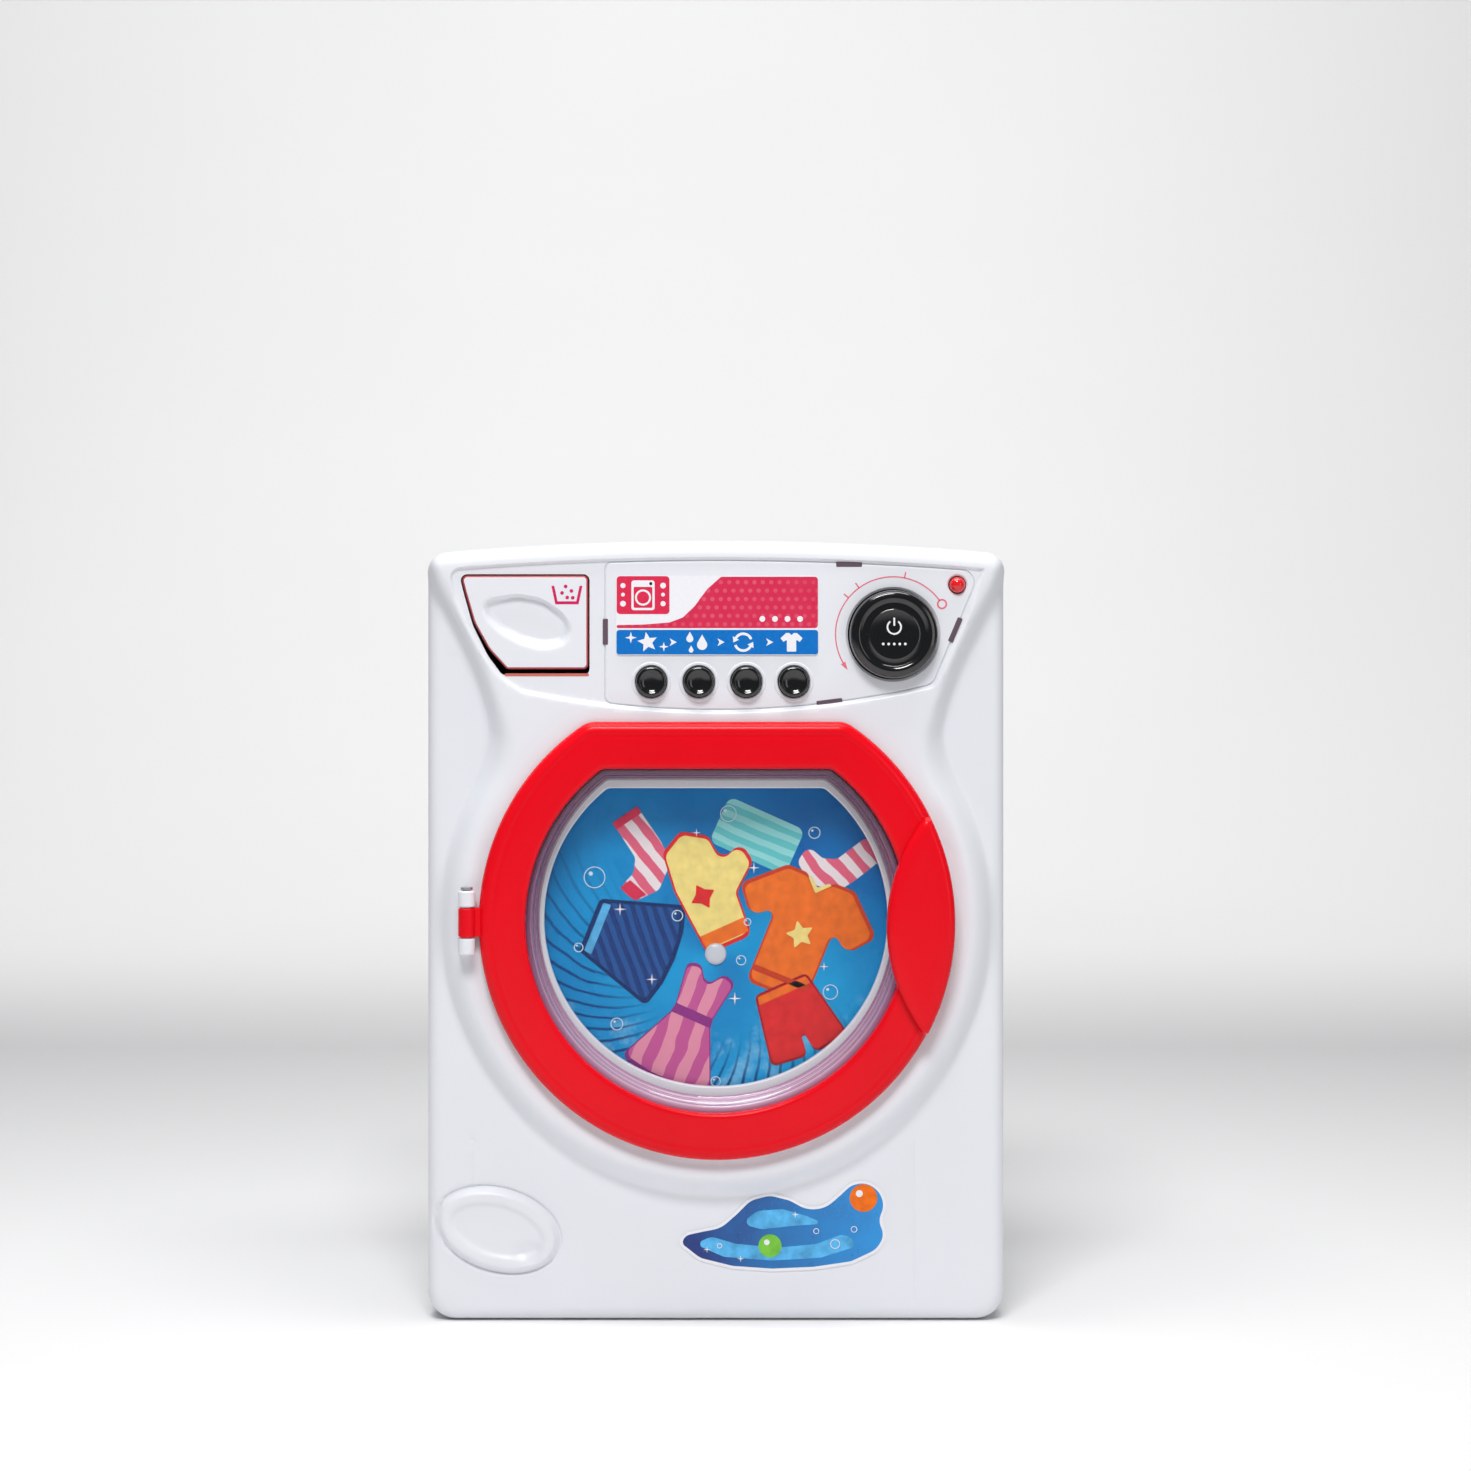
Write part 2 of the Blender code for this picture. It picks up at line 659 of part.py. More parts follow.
def gear_outline(teeth, module, x, z, phase):
    """Spur teeth with involute flanks of 20 degrees; phase turns a tooth's middle from +X."""
    pitch = module * teeth / 2
    base = pitch * math.cos(math.radians(20))
    tip = pitch + module * 0.95
    root = pitch - module * 1.2

    def half_angle(radius):
        thick = (math.pi / 2 - BACKLASH_SHARE) * module / (2 * pitch)
        spread = math.acos(min(base / max(radius, base), 1))
        involute_here = math.tan(spread) - spread
        involute_pitch = math.tan(math.radians(20)) - math.radians(20)
        return thick + involute_pitch - involute_here

    radii = (root, pitch, tip)
    made = []
    for tooth in range(teeth):
        centre = phase + math.tau * tooth / teeth
        flank = [(r, half_angle(r)) for r in radii]
        angles = [(r, centre - a) for r, a in flank] + [(r, centre + a) for r, a in reversed(flank)]
        made += [(x + r * math.cos(a), z + r * math.sin(a)) for r, a in angles]
    return made


# Solids


def place(name, mesh, look=None, smooth=35):
    """Links a mesh as a part, with its material and its round sides shaded smooth."""
    obj = bpy.data.objects.new(name, mesh)
    mesh.shade_smooth()
    mesh.set_sharp_from_angle(angle=math.radians(smooth))
    if look:
        mesh.materials.append(look)
    PARTS.objects.link(obj)
    return obj


def mesh_from(name, bm):
    bmesh.ops.recalc_face_normals(bm, faces=bm.faces)
    mesh = bpy.data.meshes.new(name)
    bm.to_mesh(mesh)
    bm.free()
    return mesh


def outline_curve(name, outlines, thickness):
    curve = bpy.data.curves.new(name, "CURVE")
    curve.dimensions = "2D"
    curve.fill_mode = "BOTH"
    curve.extrude = thickness / 2
    for outline in outlines:
        spline = curve.splines.new("POLY")
        spline.points.add(len(outline) - 1)
        for point, (x, z) in zip(spline.points, outline):
            point.co = (x, z, 0, 1)
        spline.use_cyclic_u = True
    return curve


def slab(name, outlines, front, back, look=None, rounded=0, steps=3, rounded_back=False):
    """One outline, or an outline and its holes, filled from y = front to y = back.

    The rim of the front, or of the back, is rounded by the given radius.
    """
    if not isinstance(outlines[0], list):
        outlines = [outlines]
    drawn = bpy.data.objects.new(name, outline_curve(name, outlines, back - front))
    bpy.context.scene.collection.objects.link(drawn)
    graph = bpy.context.evaluated_depsgraph_get()
    mesh = bpy.data.meshes.new_from_object(drawn.evaluated_get(graph))
    bpy.data.curves.remove(drawn.data)
    mesh.transform(Matrix.Translation((0, (front + back) / 2, 0)) @ STAND_UP)
    bm = bmesh.new()
    bm.from_mesh(mesh)
    bpy.data.meshes.remove(mesh)
    bmesh.ops.remove_doubles(bm, verts=bm.verts, dist=1e-6)
    bmesh.ops.recalc_face_normals(bm, faces=bm.faces)
    if len(outlines) == 1:
        for facing in (-1, 1):
            cap = [f for f in bm.faces if f.normal.y * facing > 0.9]
            bmesh.ops.dissolve_faces(bm, faces=cap)
    if rounded:
        facing = 1 if rounded_back else -1
        caps = {f for f in bm.faces if f.normal.y * facing > 0.9}
        rim = [e for e in bm.edges if len(caps.intersection(e.link_faces)) == 1]
        bmesh.ops.bevel(
            bm, geom=rim, offset=rounded, segments=steps, profile=0.5, affect="EDGES", clamp_overlap=True
        )
    return place(name, mesh_from(name, bm), look)


def lofted(name, sections, look=None, ring=False):
    """Skins like outlines, each at its own y; flat ends, or a closed ring of sections."""
    bm = bmesh.new()
    rings = [[bm.verts.new((x, y, z)) for x, z in outline] for outline, y in sections]
    following = rings[1:] + rings[:1] if ring else rings[1:]
    for near, far in zip(rings, following):
        for i in range(len(near)):
            j = (i + 1) % len(near)
            bm.faces.new((near[i], near[j], far[j], far[i]))
    if not ring:
        bm.faces.new(rings[0])
        bm.faces.new(rings[-1])
    return place(name, mesh_from(name, bm), look)


def turned(name, profile, x, z, look=None, steps=32, ring=False):
    """A profile of (radius, y), front to back down its outer side, turned about a Y axis."""
    mesh = bpy.data.meshes.new(name)
    edges = [(i, i + 1) for i in range(len(profile) - 1)]
    if ring:
        edges.append((len(profile) - 1, 0))
    mesh.from_pydata([(radius, 0, -y) for radius, y in profile], edges, [])
    obj = place(name, mesh, look)
    obj.matrix_world = Matrix.Translation((x, 0, z)) @ STAND_UP
    screw = obj.modifiers.new("Turn", "SCREW")
    screw.steps = steps
    screw.render_steps = steps
    screw.use_merge_vertices = True
    screw.merge_threshold = 0.00001
    return obj


def block(name, low, high, look=None):
    bm = bmesh.new()
    size = [b - a for a, b in zip(low, high)]
    middle = [(a + b) / 2 for a, b in zip(low, high)]
    matrix = Matrix.Translation(middle) @ Matrix.Diagonal((*size, 1))
    bmesh.ops.create_cube(bm, size=1, matrix=matrix)
    return place(name, mesh_from(name, bm), look)


def rod(name, start, end, radius, look=None, steps=20, end_radius=None):
    """A round bar, or a cone, between two points."""
    start, end = Vector(start), Vector(end)
    along = end - start
    matrix = Matrix.Translation((start + end) / 2) @ along.to_track_quat("Z", "Y").to_matrix().to_4x4()
    bm = bmesh.new()
    bmesh.ops.create_cone(
        bm,
        cap_ends=True,
        segments=steps,
        radius1=radius,
        radius2=radius if end_radius is None else end_radius,
        depth=along.length,
        matrix=matrix,
    )
    return place(name, mesh_from(name, bm), look)


def boolean(obj, operation, others):
    for other in others:
        PARTS.objects.unlink(other)
        CUTTERS.objects.link(other)
        other.hide_render = True
        other.display_type = "WIRE"
        made = obj.modifiers.new(operation.title(), "BOOLEAN")
        made.operation = operation
        made.solver = "EXACT"
        made.object = other
    return obj


def join(obj, *others):
    return boolean(obj, "UNION", others)


def cut(obj, *others):
    return boolean(obj, "DIFFERENCE", others)


def gathered(name, pieces):
    """One form made of plain solids that don't touch each other."""
    bm = bmesh.new()
    for piece in pieces:
        mesh = piece.data
        bm.from_mesh(mesh)
        bpy.data.objects.remove(piece)
        bpy.data.meshes.remove(mesh)
    return place(name, mesh_from(name, bm))


def pivot(name, at):
    """An empty on a joint's axis, which carries the pieces that move together."""
    made = bpy.data.objects.new(name, None)
    made.location = at
    made.empty_display_size = 0.01
    PARTS.objects.link(made)
    return made


def hang(empty, *pieces):
    for piece in pieces:
        piece.parent = empty
        piece.matrix_parent_inverse = Matrix.Translation(empty.location).inverted()


# Casing


def quarter(front, back, inner, outer, steps=4):
    """A rounded shoulder as (radius, y) from the flat front out to the side."""
    made = []
    for k in range(steps + 1):
        angle = math.pi / 2 * k / steps
        made.append((inner + (outer - inner) * math.sin(angle), front + (back - front) * (1 - math.cos(angle))))
    return made


def case_screw_places():
    side = ((CASE_SCREW_LOW_X, CASE_SCREW_LOW_Z), (CASE_SCREW_SIDE_X, CASE_SCREW_MID_Z),
            (CASE_SCREW_SIDE_X, CASE_SCREW_HIGH_Z))
    return [(sign * x, z) for x, z in side for sign in (-1, 1)]


def tub_screw_places():
    return [
        (
            TUB_LUG_RADIUS * math.cos(math.radians(angle)),
            DRUM_Z + TUB_LUG_RADIUS * math.sin(math.radians(angle)),
        )
        for angle in TUB_LUG_ANGLES
    ]


def front_form():
    """The outside of the front shell, still solid."""
    body = slab("front_shell", casing_outline(), FACE_Y, SEAM_Y, WHITE, FRONT_EDGE)
    hood = slab("hood_form", hood_outline(), HOOD_Y, FACE_Y + FRONT_EDGE + WALL, None, HOOD_EDGE, 2)
    front = HOOD_Y + SURROUND_STEP
    shoulder = quarter(front, FACE_Y, SURROUND_CREST, SURROUND_RADIUS, 4)
    profile = [(0, front), *shoulder, (SURROUND_RADIUS, FACE_Y + WALL), (0, FACE_Y + WALL)]
    surround = turned("surround_form", profile, 0, DOOR_Z, steps=44)
    return join(body, hood, surround, filter_cover())


def filter_cover():
    """A moulded oval cover low on the left."""
    turn = Matrix.Rotation(math.radians(FILTER_TILT), 2)
    outline = []
    for k in range(28):
        angle = math.tau * k / 28
        point = turn @ Vector((FILTER_HALF_LENGTH * math.cos(angle), FILTER_HALF_HEIGHT * math.sin(angle)))
        outline.append((FILTER_X + point.x, FILTER_Z + point.y))
    return slab("filter_form", outline, FACE_Y - FILTER_RISE, FACE_Y + WALL / 2, rounded=FILTER_EDGE)


def hollow_front(shell):
    """Takes the wall's inside out of the solid form."""
    body = slab("front_void", casing_outline(WALL), FACE_INSIDE_Y, SEAM_Y + OVERRUN)
    hood = slab("hood_void", hood_outline(WALL), HOOD_INSIDE_Y, FACE_INSIDE_Y + WALL)
    inner = SURROUND_RADIUS - WALL
    shoulder = quarter(HOOD_INSIDE_Y, FACE_Y, SURROUND_CREST - WALL, inner, 2)
    profile = [(0, HOOD_INSIDE_Y), *shoulder, (inner, FACE_INSIDE_Y + WALL), (0, FACE_INSIDE_Y + WALL)]
    surround = turned("surround_void", profile, 0, DOOR_Z, steps=28)
    return cut(shell, body, hood, surround)


def front_insides():
    """The door recess's cup, screw bosses and flap ears that the front shell carries inside."""
    bosses = [
        rod(f"case_boss_{i}", (x, FACE_Y + WALL / 2, z), (x, SEAM_Y, z), BOSS_RADIUS, steps=10)
        for i, (x, z) in enumerate(case_screw_places())
    ]
    for i, (x, z) in enumerate(tub_screw_places()):
        in_surround = math.hypot(x, z - DOOR_Z) < SURROUND_CREST
        start = (HOOD_INSIDE_Y if in_surround else FACE_INSIDE_Y) - WALL / 2
        end = tub_lug_front_y() - FIT
        bosses.append(rod(f"tub_boss_{i}", (x, start, z), (x, end, z), TUB_BOSS_RADIUS, steps=10))
    cup = slab("recess_cup", d_outline(RECESS_INSET - WALL), HOOD_Y + WALL / 2, LIP_BACK_Y)
    return [cup, gathered("front_bosses", bosses + flap_ears())]


def flap_ear_spans():
    """(low, high) in X of the two ears that hold the flap's stubs."""
    right = FLAP_RIGHT + FLAP_GAP + FIT
    left = flap_left_at_axis() - FLAP_GAP - FIT
    return (left - EAR_THICK, left), (right, right + EAR_THICK)


def flap_left_at_axis():
    """The flap's left edge at the height of its axis."""
    share = (FLAP_AXIS_RISE + 2 * FLAP_LUG_RADIUS) / (FLAP_TOP_Z - FLAP_LOW_Z)
    return FLAP_LOW_LEFT - (FLAP_LOW_LEFT - FLAP_LEFT) * share * 1.9


def flap_ears():
    made = []
    for i, (low, high) in enumerate(flap_ear_spans()):
        bottom = (low, HOOD_INSIDE_Y - WALL / 2, FLAP_AXIS_Z - EAR_REACH)
        top = (high, FLAP_AXIS_Y + EAR_REACH, FLAP_AXIS_Z + EAR_REACH)
        made.append(block(f"flap_ear_{i}", bottom, top))
    return made


def hinge_ears():
    """Two ears in front of the surround, above and below the door's knuckle."""
    barrels = []
    feet = []
    for i, sign in enumerate((-1, 1)):
        near = DOOR_Z + sign * (KNUCKLE_LENGTH / 2 + FIT)
        far = near + sign * EAR_LENGTH
        low = (HINGE_X - KNUCKLE_RADIUS, HINGE_Y, min(near, far))
        high = (HINGE_X + KNUCKLE_RADIUS * 0.6, HOOD_Y + WALL * 0.8, max(near, far))
        ends = (HINGE_X, HINGE_Y, near), (HINGE_X, HINGE_Y, far)
        barrels.append(rod(f"hinge_ear_{i}", *ends, KNUCKLE_RADIUS, steps=14))
        feet.append(block(f"hinge_foot_{i}", low, high))
    return [gathered("hinge_feet", feet), gathered("hinge_barrels", barrels)]


def front_openings():
    """Everything that is cut through or into the front shell."""
    front, through = HOOD_Y - OVERRUN, HOOD_INSIDE_Y + OVERRUN
    openings = [
        slab("panel_cut", panel_outline(FIT), front, through),
        slab("flap_cut", flap_opening(), front, through),
    ]
    holes = [slab("opening_cut", d_outline(OPENING_INSET), front, LIP_BACK_Y + OVERRUN), catch_slot()]
    for i, (x, z) in enumerate(case_screw_places()):
        start, end = (x, SEAM_Y - BOSS_CORE_DEPTH, z), (x, SEAM_Y + OVERRUN, z)
        holes.append(rod(f"case_core_{i}", start, end, BOSS_CORE, steps=8))
    lug_front = tub_lug_front_y()
    for i, (x, z) in enumerate(tub_screw_places()):
        start, end = (x, lug_front - SMALL_LENGTH, z), (x, lug_front, z)
        holes.append(rod(f"tub_core_{i}", start, end, TUB_CORE, steps=8))
    for i, (low, high) in enumerate(flap_ear_spans()):
        start = (low - OVERRUN, FLAP_AXIS_Y, FLAP_AXIS_Z)
        end = (high + OVERRUN, FLAP_AXIS_Y, FLAP_AXIS_Z)
        holes.append(rod(f"ear_bore_{i}", start, end, STUB_RADIUS + FIT, steps=10))
    half = KNUCKLE_LENGTH / 2 + EAR_LENGTH + OVERRUN
    ends = (HINGE_X, HINGE_Y, DOOR_Z - half), (HINGE_X, HINGE_Y, DOOR_Z + half)
    holes.append(rod("hinge_bore", *ends, HINGE_PIN_RADIUS + FIT, steps=10))
    return [
        slab("zone_cut", filleted(zone_corners()), front, CONTROL_Y),
        gathered("through_cuts", openings),
        slab("recess_cut", d_outline(RECESS_INSET), front, LIP_Y),
        gathered("front_holes", holes),
    ]


def flap_opening():
    """The flap's outline with its gap, wider below and at the slanted edge, which sink as it tilts."""
    low = FLAP_LOW_Z - FLAP_HINGE_GAP
    low_left, low_right, *others = grown(flap_corners(), FLAP_GAP)
    sinking_shares = (0, 0, 0.15, 0.35, 1)
    lowered = [(x, z - FLAP_SWING_DROP * share, r) for (x, z, r), share in zip(others, sinking_shares)]
    return filleted([
        (low_left[0] - FLAP_SWING_SIDE, low, FLAP_CORNER),
        (low_right[0], low, FLAP_CORNER),
        *lowered,
    ])


def catch_slot():
    low, high = catch_box()
    gap = SIDE_RUN
    return block(
        "catch_slot",
        (low[0] - gap, LIP_Y - OVERRUN, low[2] - gap),
        (high[0] + gap, LIP_BACK_Y + OVERRUN, high[2] + gap),
    )


def front_shell():
    shell = hollow_front(front_form())
    join(shell, *front_insides(), *hinge_ears())
    return cut(shell, *front_openings())


def rear_shell():
    shell = slab("rear_shell", casing_outline(), SEAM_Y + FIT, BACK_Y, WHITE, BACK_EDGE, rounded_back=True)
    void = slab("rear_void", casing_outline(WALL), SEAM_Y - OVERRUN, BACK_INSIDE_Y)
    cut(shell, void)
    inside = gathered("rear_bosses", [bay_box(), *screw_wells(), *board_standoffs()])
    join(shell, seam_tongue(), speaker_collar(), inside, cover_boss())
    return cut(shell, *rear_openings())


def seam_tongue():
    """A lip on the rear shell that enters the front shell."""
    outer = casing_outline(WALL + FIT)
    root = casing_outline(WALL / 2)
    inner = casing_outline(WALL + FIT + TONGUE_WALL)
    back = SEAM_Y + FIT + TONGUE
    sections = [
        (inner, SEAM_Y - TONGUE),
        (outer, SEAM_Y - TONGUE),
        (outer, SEAM_Y + 2 * FIT),
        (root, SEAM_Y + 2 * FIT),
        (root, back),
        (inner, back),
    ]
    return lofted("seam_tongue", sections, ring=True)


def screw_wells():
    return [
        rod(f"well_{i}", (x, SEAM_Y + FIT, z), (x, BACK_INSIDE_Y + WALL / 2, z), WELL_RADIUS, steps=10)
        for i, (x, z) in enumerate(case_screw_places())
    ]


def bay_bounds(growth, front, back):
    low = (-BAY_HALF_WIDTH - growth, front, BAY_LOW_Z - growth)
    high = (BAY_HALF_WIDTH + growth, back, BAY_TOP_Z + growth)
    return low, high


def bay_box():
    return block("bay_box", *bay_bounds(BAY_WALL, BAY_FLOOR_Y - WALL, BACK_INSIDE_Y + WALL / 2))


def cover_corners():
    half = BAY_HALF_WIDTH + COVER_LEDGE
    low = BAY_LOW_Z - COVER_LEDGE
    top = BAY_TOP_Z + COVER_LEDGE
    slope = COVER_TAB_HALF / 3
    return [
        (-half, low, COVER_CORNER),
        (half, low, COVER_CORNER),
        (half, top, COVER_CORNER),
        (COVER_TAB_HALF + slope, top, 0),
        (COVER_TAB_HALF, top + COVER_TAB, COVER_CORNER),
        (-COVER_TAB_HALF, top + COVER_TAB, COVER_CORNER),
        (-COVER_TAB_HALF - slope, top, 0),
        (-half, top, COVER_CORNER),
    ]


def cover_screw_z():
    return BAY_TOP_Z + COVER_LEDGE + COVER_TAB - COVER_TAB_HALF


def cover_boss():
    """A block behind the cover's tab, which its screw bites into."""
    half = COVER_TAB_HALF + WALL
    top = BAY_TOP_Z + COVER_LEDGE + COVER_TAB + WALL
    front = BACK_Y - COVER_THICK - SCREW_LENGTH
    return block("cover_boss", (-half, front, BAY_TOP_Z), (half, BACK_INSIDE_Y + WALL / 2, top))


def speaker_collar():
    inner = SPEAKER_RADIUS + FIT
    outer = inner + COLLAR_WALL
    front = BACK_INSIDE_Y - COLLAR_HEIGHT
    back = BACK_INSIDE_Y + WALL / 2
    profile = [(inner, front), (outer, front), (outer, back), (inner, back)]
    return turned("speaker_collar", profile, 0, SPEAKER_Z, steps=20, ring=True)


def board_screw_places():
    margin = MAIN_BOARD_SCREW_MARGIN
    z = MAIN_BOARD_TOP_Z - margin
    return [(MAIN_BOARD_LEFT + margin, z), (MAIN_BOARD_RIGHT - margin, z)]


def board_standoffs():
    front = BACK_INSIDE_Y - MAIN_BOARD_STANDOFF
    low = MAIN_BOARD_LOW_Z + MAIN_BOARD_SCREW_MARGIN
    places = [*board_screw_places(), (0, low)]
    return [
        rod(f"standoff_{i}", (x, front, z), (x, BACK_INSIDE_Y + WALL / 2, z), STANDOFF_RADIUS, steps=10)
        for i, (x, z) in enumerate(places)
    ]


def rear_openings():
    screw_z = cover_screw_z()
    core_start = (0, BACK_Y - COVER_THICK - SCREW_LENGTH + OVERRUN, screw_z)
    bores = [rod("cover_core", core_start, (0, BACK_Y, screw_z), BOSS_CORE, steps=8)]
    holes = []
    for i, (x, z) in enumerate(case_screw_places()):
        ledge = SEAM_Y + FIT + WELL_FLOOR
        bores.append(rod(f"well_bore_{i}", (x, ledge, z), (x, BACK_Y + OVERRUN, z), WELL_BORE, steps=10))
        holes.append(rod(f"well_hole_{i}", (x, SEAM_Y - OVERRUN, z), (x, ledge + OVERRUN, z), WELL_HOLE, steps=8))
    for i in range(GRILLE_SLOTS):
        z = SPEAKER_Z + GRILLE_PITCH * (i - (GRILLE_SLOTS - 1) / 2)
        low = (-GRILLE_HALF_WIDTH, BACK_INSIDE_Y - OVERRUN, z - GRILLE_HALF_HEIGHT)
        high = (GRILLE_HALF_WIDTH, BACK_Y + OVERRUN, z + GRILLE_HALF_HEIGHT)
        bores.append(block(f"grille_{i}", low, high))
    front = BACK_INSIDE_Y - MAIN_BOARD_STANDOFF
    for i, (x, z) in enumerate(board_screw_places()):
        start = (x, front - OVERRUN, z)
        bores.append(rod(f"standoff_core_{i}", start, (x, front + SMALL_LENGTH, z), PLATE_SCREW_CORE, steps=8))
    bay = block("bay_cut", *bay_bounds(0, BAY_FLOOR_Y, BACK_Y + OVERRUN))
    cover = slab("cover_cut", filleted(grown(cover_corners(), FIT)), BACK_Y - COVER_THICK - FIT, BACK_Y + OVERRUN)
    return [bay, cover, gathered("rear_bores", bores), gathered("rear_holes", holes)]


def screw(name, x, z, head_y, towards, head, head_thick, shank, length):
    """A pan-head screw with a cross drive; its shank runs from the head along Y."""
    seat = head_y + towards * head_thick
    tip = seat + towards * length
    rings = ((head * 0.86, head_y), (head, seat), (shank, seat), (shank, tip))
    made = lofted(name, [(circle(x, z, radius, 8), y) for radius, y in rings], STEEL)
    ends = sorted((head_y - towards * OVERRUN, head_y + towards * min(DRIVE_DEPTH, head_thick * 0.6)))
    reach, half = head * 0.62, DRIVE_SLOT / 2
    across = block(f"{name}_slot_a", (x - reach, ends[0], z - half), (x + reach, ends[1], z + half))
    upright = block(f"{name}_slot_b", (x - half, ends[0], z - reach), (x + half, ends[1], z + reach))
    return cut(made, join(across, upright))


def case_screws():
    ledge = SEAM_Y + FIT + WELL_FLOOR
    for i, (x, z) in enumerate(case_screw_places(), 1):
        head_y = ledge + FIT + SCREW_HEAD_THICK
        screw(f"case_screw_{i}", x, z, head_y, -1, SCREW_HEAD, SCREW_HEAD_THICK, SCREW_SHANK, SCREW_LENGTH)


# Door


def catch_box():
    """The catch tongue on the door's clamp ring, at its right side."""
    right = DOOR_RADIUS - RECESS_INSET - 2 * SIDE_RUN
    low = (right - CATCH_THICK, CLAMP_BACK_Y - WALL / 2, DOOR_Z - CATCH_HALF_WIDTH)
    high = (right, CLAMP_BACK_Y + CATCH_LENGTH, DOOR_Z + CATCH_HALF_WIDTH)
    return low, high


def clamp_screw_places():
    radius = DOOR_RADIUS - CLAMP_SCREW_INSET
    return [
        (radius * math.cos(math.radians(angle)), DOOR_Z + radius * math.sin(math.radians(angle)))
        for angle in (40, 140, 220, 320)
    ]


def d_ring(name, profile, look=None):
    """A ring of the door's D shape, from a closed profile of (inset, y)."""
    return lofted(name, [(d_outline(inset), y) for inset, y in profile], look, ring=True)


def door_frame():
    round_share = (0, 0.38, 0.71, 0.92, 1)
    edge = [(DOOR_EDGE * (1 - s), DOOR_Y + DOOR_EDGE * (1 - c)) for s, c in zip(round_share[::-1], round_share)]
    inner = DOOR_BAND
    lip = DOOR_INNER_EDGE
    profile = [
        *edge,
        (inner - lip, DOOR_Y),
        (inner, DOOR_Y + lip),
        (inner, DOOR_BACK_Y),
        (0, DOOR_BACK_Y),
    ]
    frame = d_ring("door_frame", profile, RED)
    half = KNUCKLE_LENGTH / 2
    knuckle = rod("door_knuckle", (HINGE_X, HINGE_Y, DOOR_Z - half), (HINGE_X, HINGE_Y, DOOR_Z + half),
                  KNUCKLE_RADIUS, steps=16)
    web = block(
        "door_web",
        (HINGE_X, DOOR_BACK_Y - LUG_HEIGHT, DOOR_Z - half),
        (-DOOR_RADIUS + DOOR_EDGE * 2, DOOR_BACK_Y, DOOR_Z + half),
    )
    join(frame, web, knuckle)
    ends = (HINGE_X, HINGE_Y, DOOR_Z - half - OVERRUN), (HINGE_X, HINGE_Y, DOOR_Z + half + OVERRUN)
    holes = [rod("knuckle_bore", *ends, HINGE_PIN_RADIUS + FIT, steps=10)]
    for i, (x, z) in enumerate(clamp_screw_places()):
        start, end = (x, DOOR_BACK_Y - CLAMP_SCREW_BITE - FIT, z), (x, DOOR_BACK_Y + OVERRUN, z)
        holes.append(rod(f"clamp_core_{i}", start, end, CLAMP_SCREW_SHANK + FIT, steps=8))
    for i, (x, z) in enumerate(handle_peg_places()):
        start, end = (x, DOOR_Y - OVERRUN, z), (x, DOOR_BACK_Y + OVERRUN, z)
        holes.append(rod(f"peg_hole_{i}", start, end, HANDLE_PEG + FIT, steps=10))
    return cut(frame, gathered("frame_holes", holes))


def door_window():
    """A clear dish: flange behind the frame, wall sloping in, flat floor near the opening."""
    flange_y = DOOR_BACK_Y + FIT
    floor_back = LIP_Y - FIT
    wall = WINDOW_WALL
    sections = [
        (WINDOW_FLOOR_INSET + wall, floor_back - wall),
        (WINDOW_FLOOR_INSET - wall, floor_back - 2 * wall),
        (WINDOW_MOUTH_INSET + wall, flange_y + wall / 2),
        (WINDOW_MOUTH_INSET, flange_y),
        (WINDOW_FLANGE_INSET, flange_y),
        (WINDOW_FLANGE_INSET, flange_y + wall),
        (WINDOW_MOUTH_INSET, flange_y + wall),
        (WINDOW_FLOOR_INSET - 2 * wall, floor_back - wall),
        (WINDOW_FLOOR_INSET, floor_back),
    ]
    return lofted("door_window", [(d_outline(inset), y) for inset, y in sections], CLEAR)


def door_rear_ring():
    """Clamps the window's flange against the frame, and carries the catch tongue."""
    front = DOOR_BACK_Y + FIT
    shelf = front + WINDOW_WALL + FIT
    back = CLAMP_BACK_Y
    outer = RECESS_INSET + SIDE_RUN
    flange = WINDOW_FLANGE_INSET - FIT
    profile = [
        (outer, front),
        (outer, back),
        (CLAMP_INNER_INSET, back),
        (CLAMP_INNER_INSET, shelf),
        (flange, shelf),
        (flange, front),
    ]
    ring = d_ring("door_rear_ring", profile, RED)
    join(ring, block("catch_tongue", *catch_box()))
    holes = [
        rod(f"clamp_hole_{i}", (x, front - OVERRUN, z), (x, back + OVERRUN, z), CLAMP_SCREW_SHANK + FIT, steps=8)
        for i, (x, z) in enumerate(clamp_screw_places())
    ]
    return cut(ring, gathered("clamp_holes", holes))


def door_screws():
    made = []
    for i, (x, z) in enumerate(clamp_screw_places(), 1):
        head_y = CLAMP_BACK_Y + FIT + CLAMP_SCREW_HEAD_THICK
        length = CLAMP_BACK_Y + FIT - (DOOR_BACK_Y - CLAMP_SCREW_BITE)
        made.append(screw(f"door_screw_{i}", x, z, head_y, -1, CLAMP_SCREW_HEAD, CLAMP_SCREW_HEAD_THICK,
                          CLAMP_SCREW_SHANK, length))
    return made


def handle_centre_z():
    return DOOR_Z - HANDLE_DROP


def handle_peg_places():
    return [(HANDLE_PEG_X, handle_centre_z() + sign * HANDLE_PEG_SPREAD) for sign in (-1, 1)]


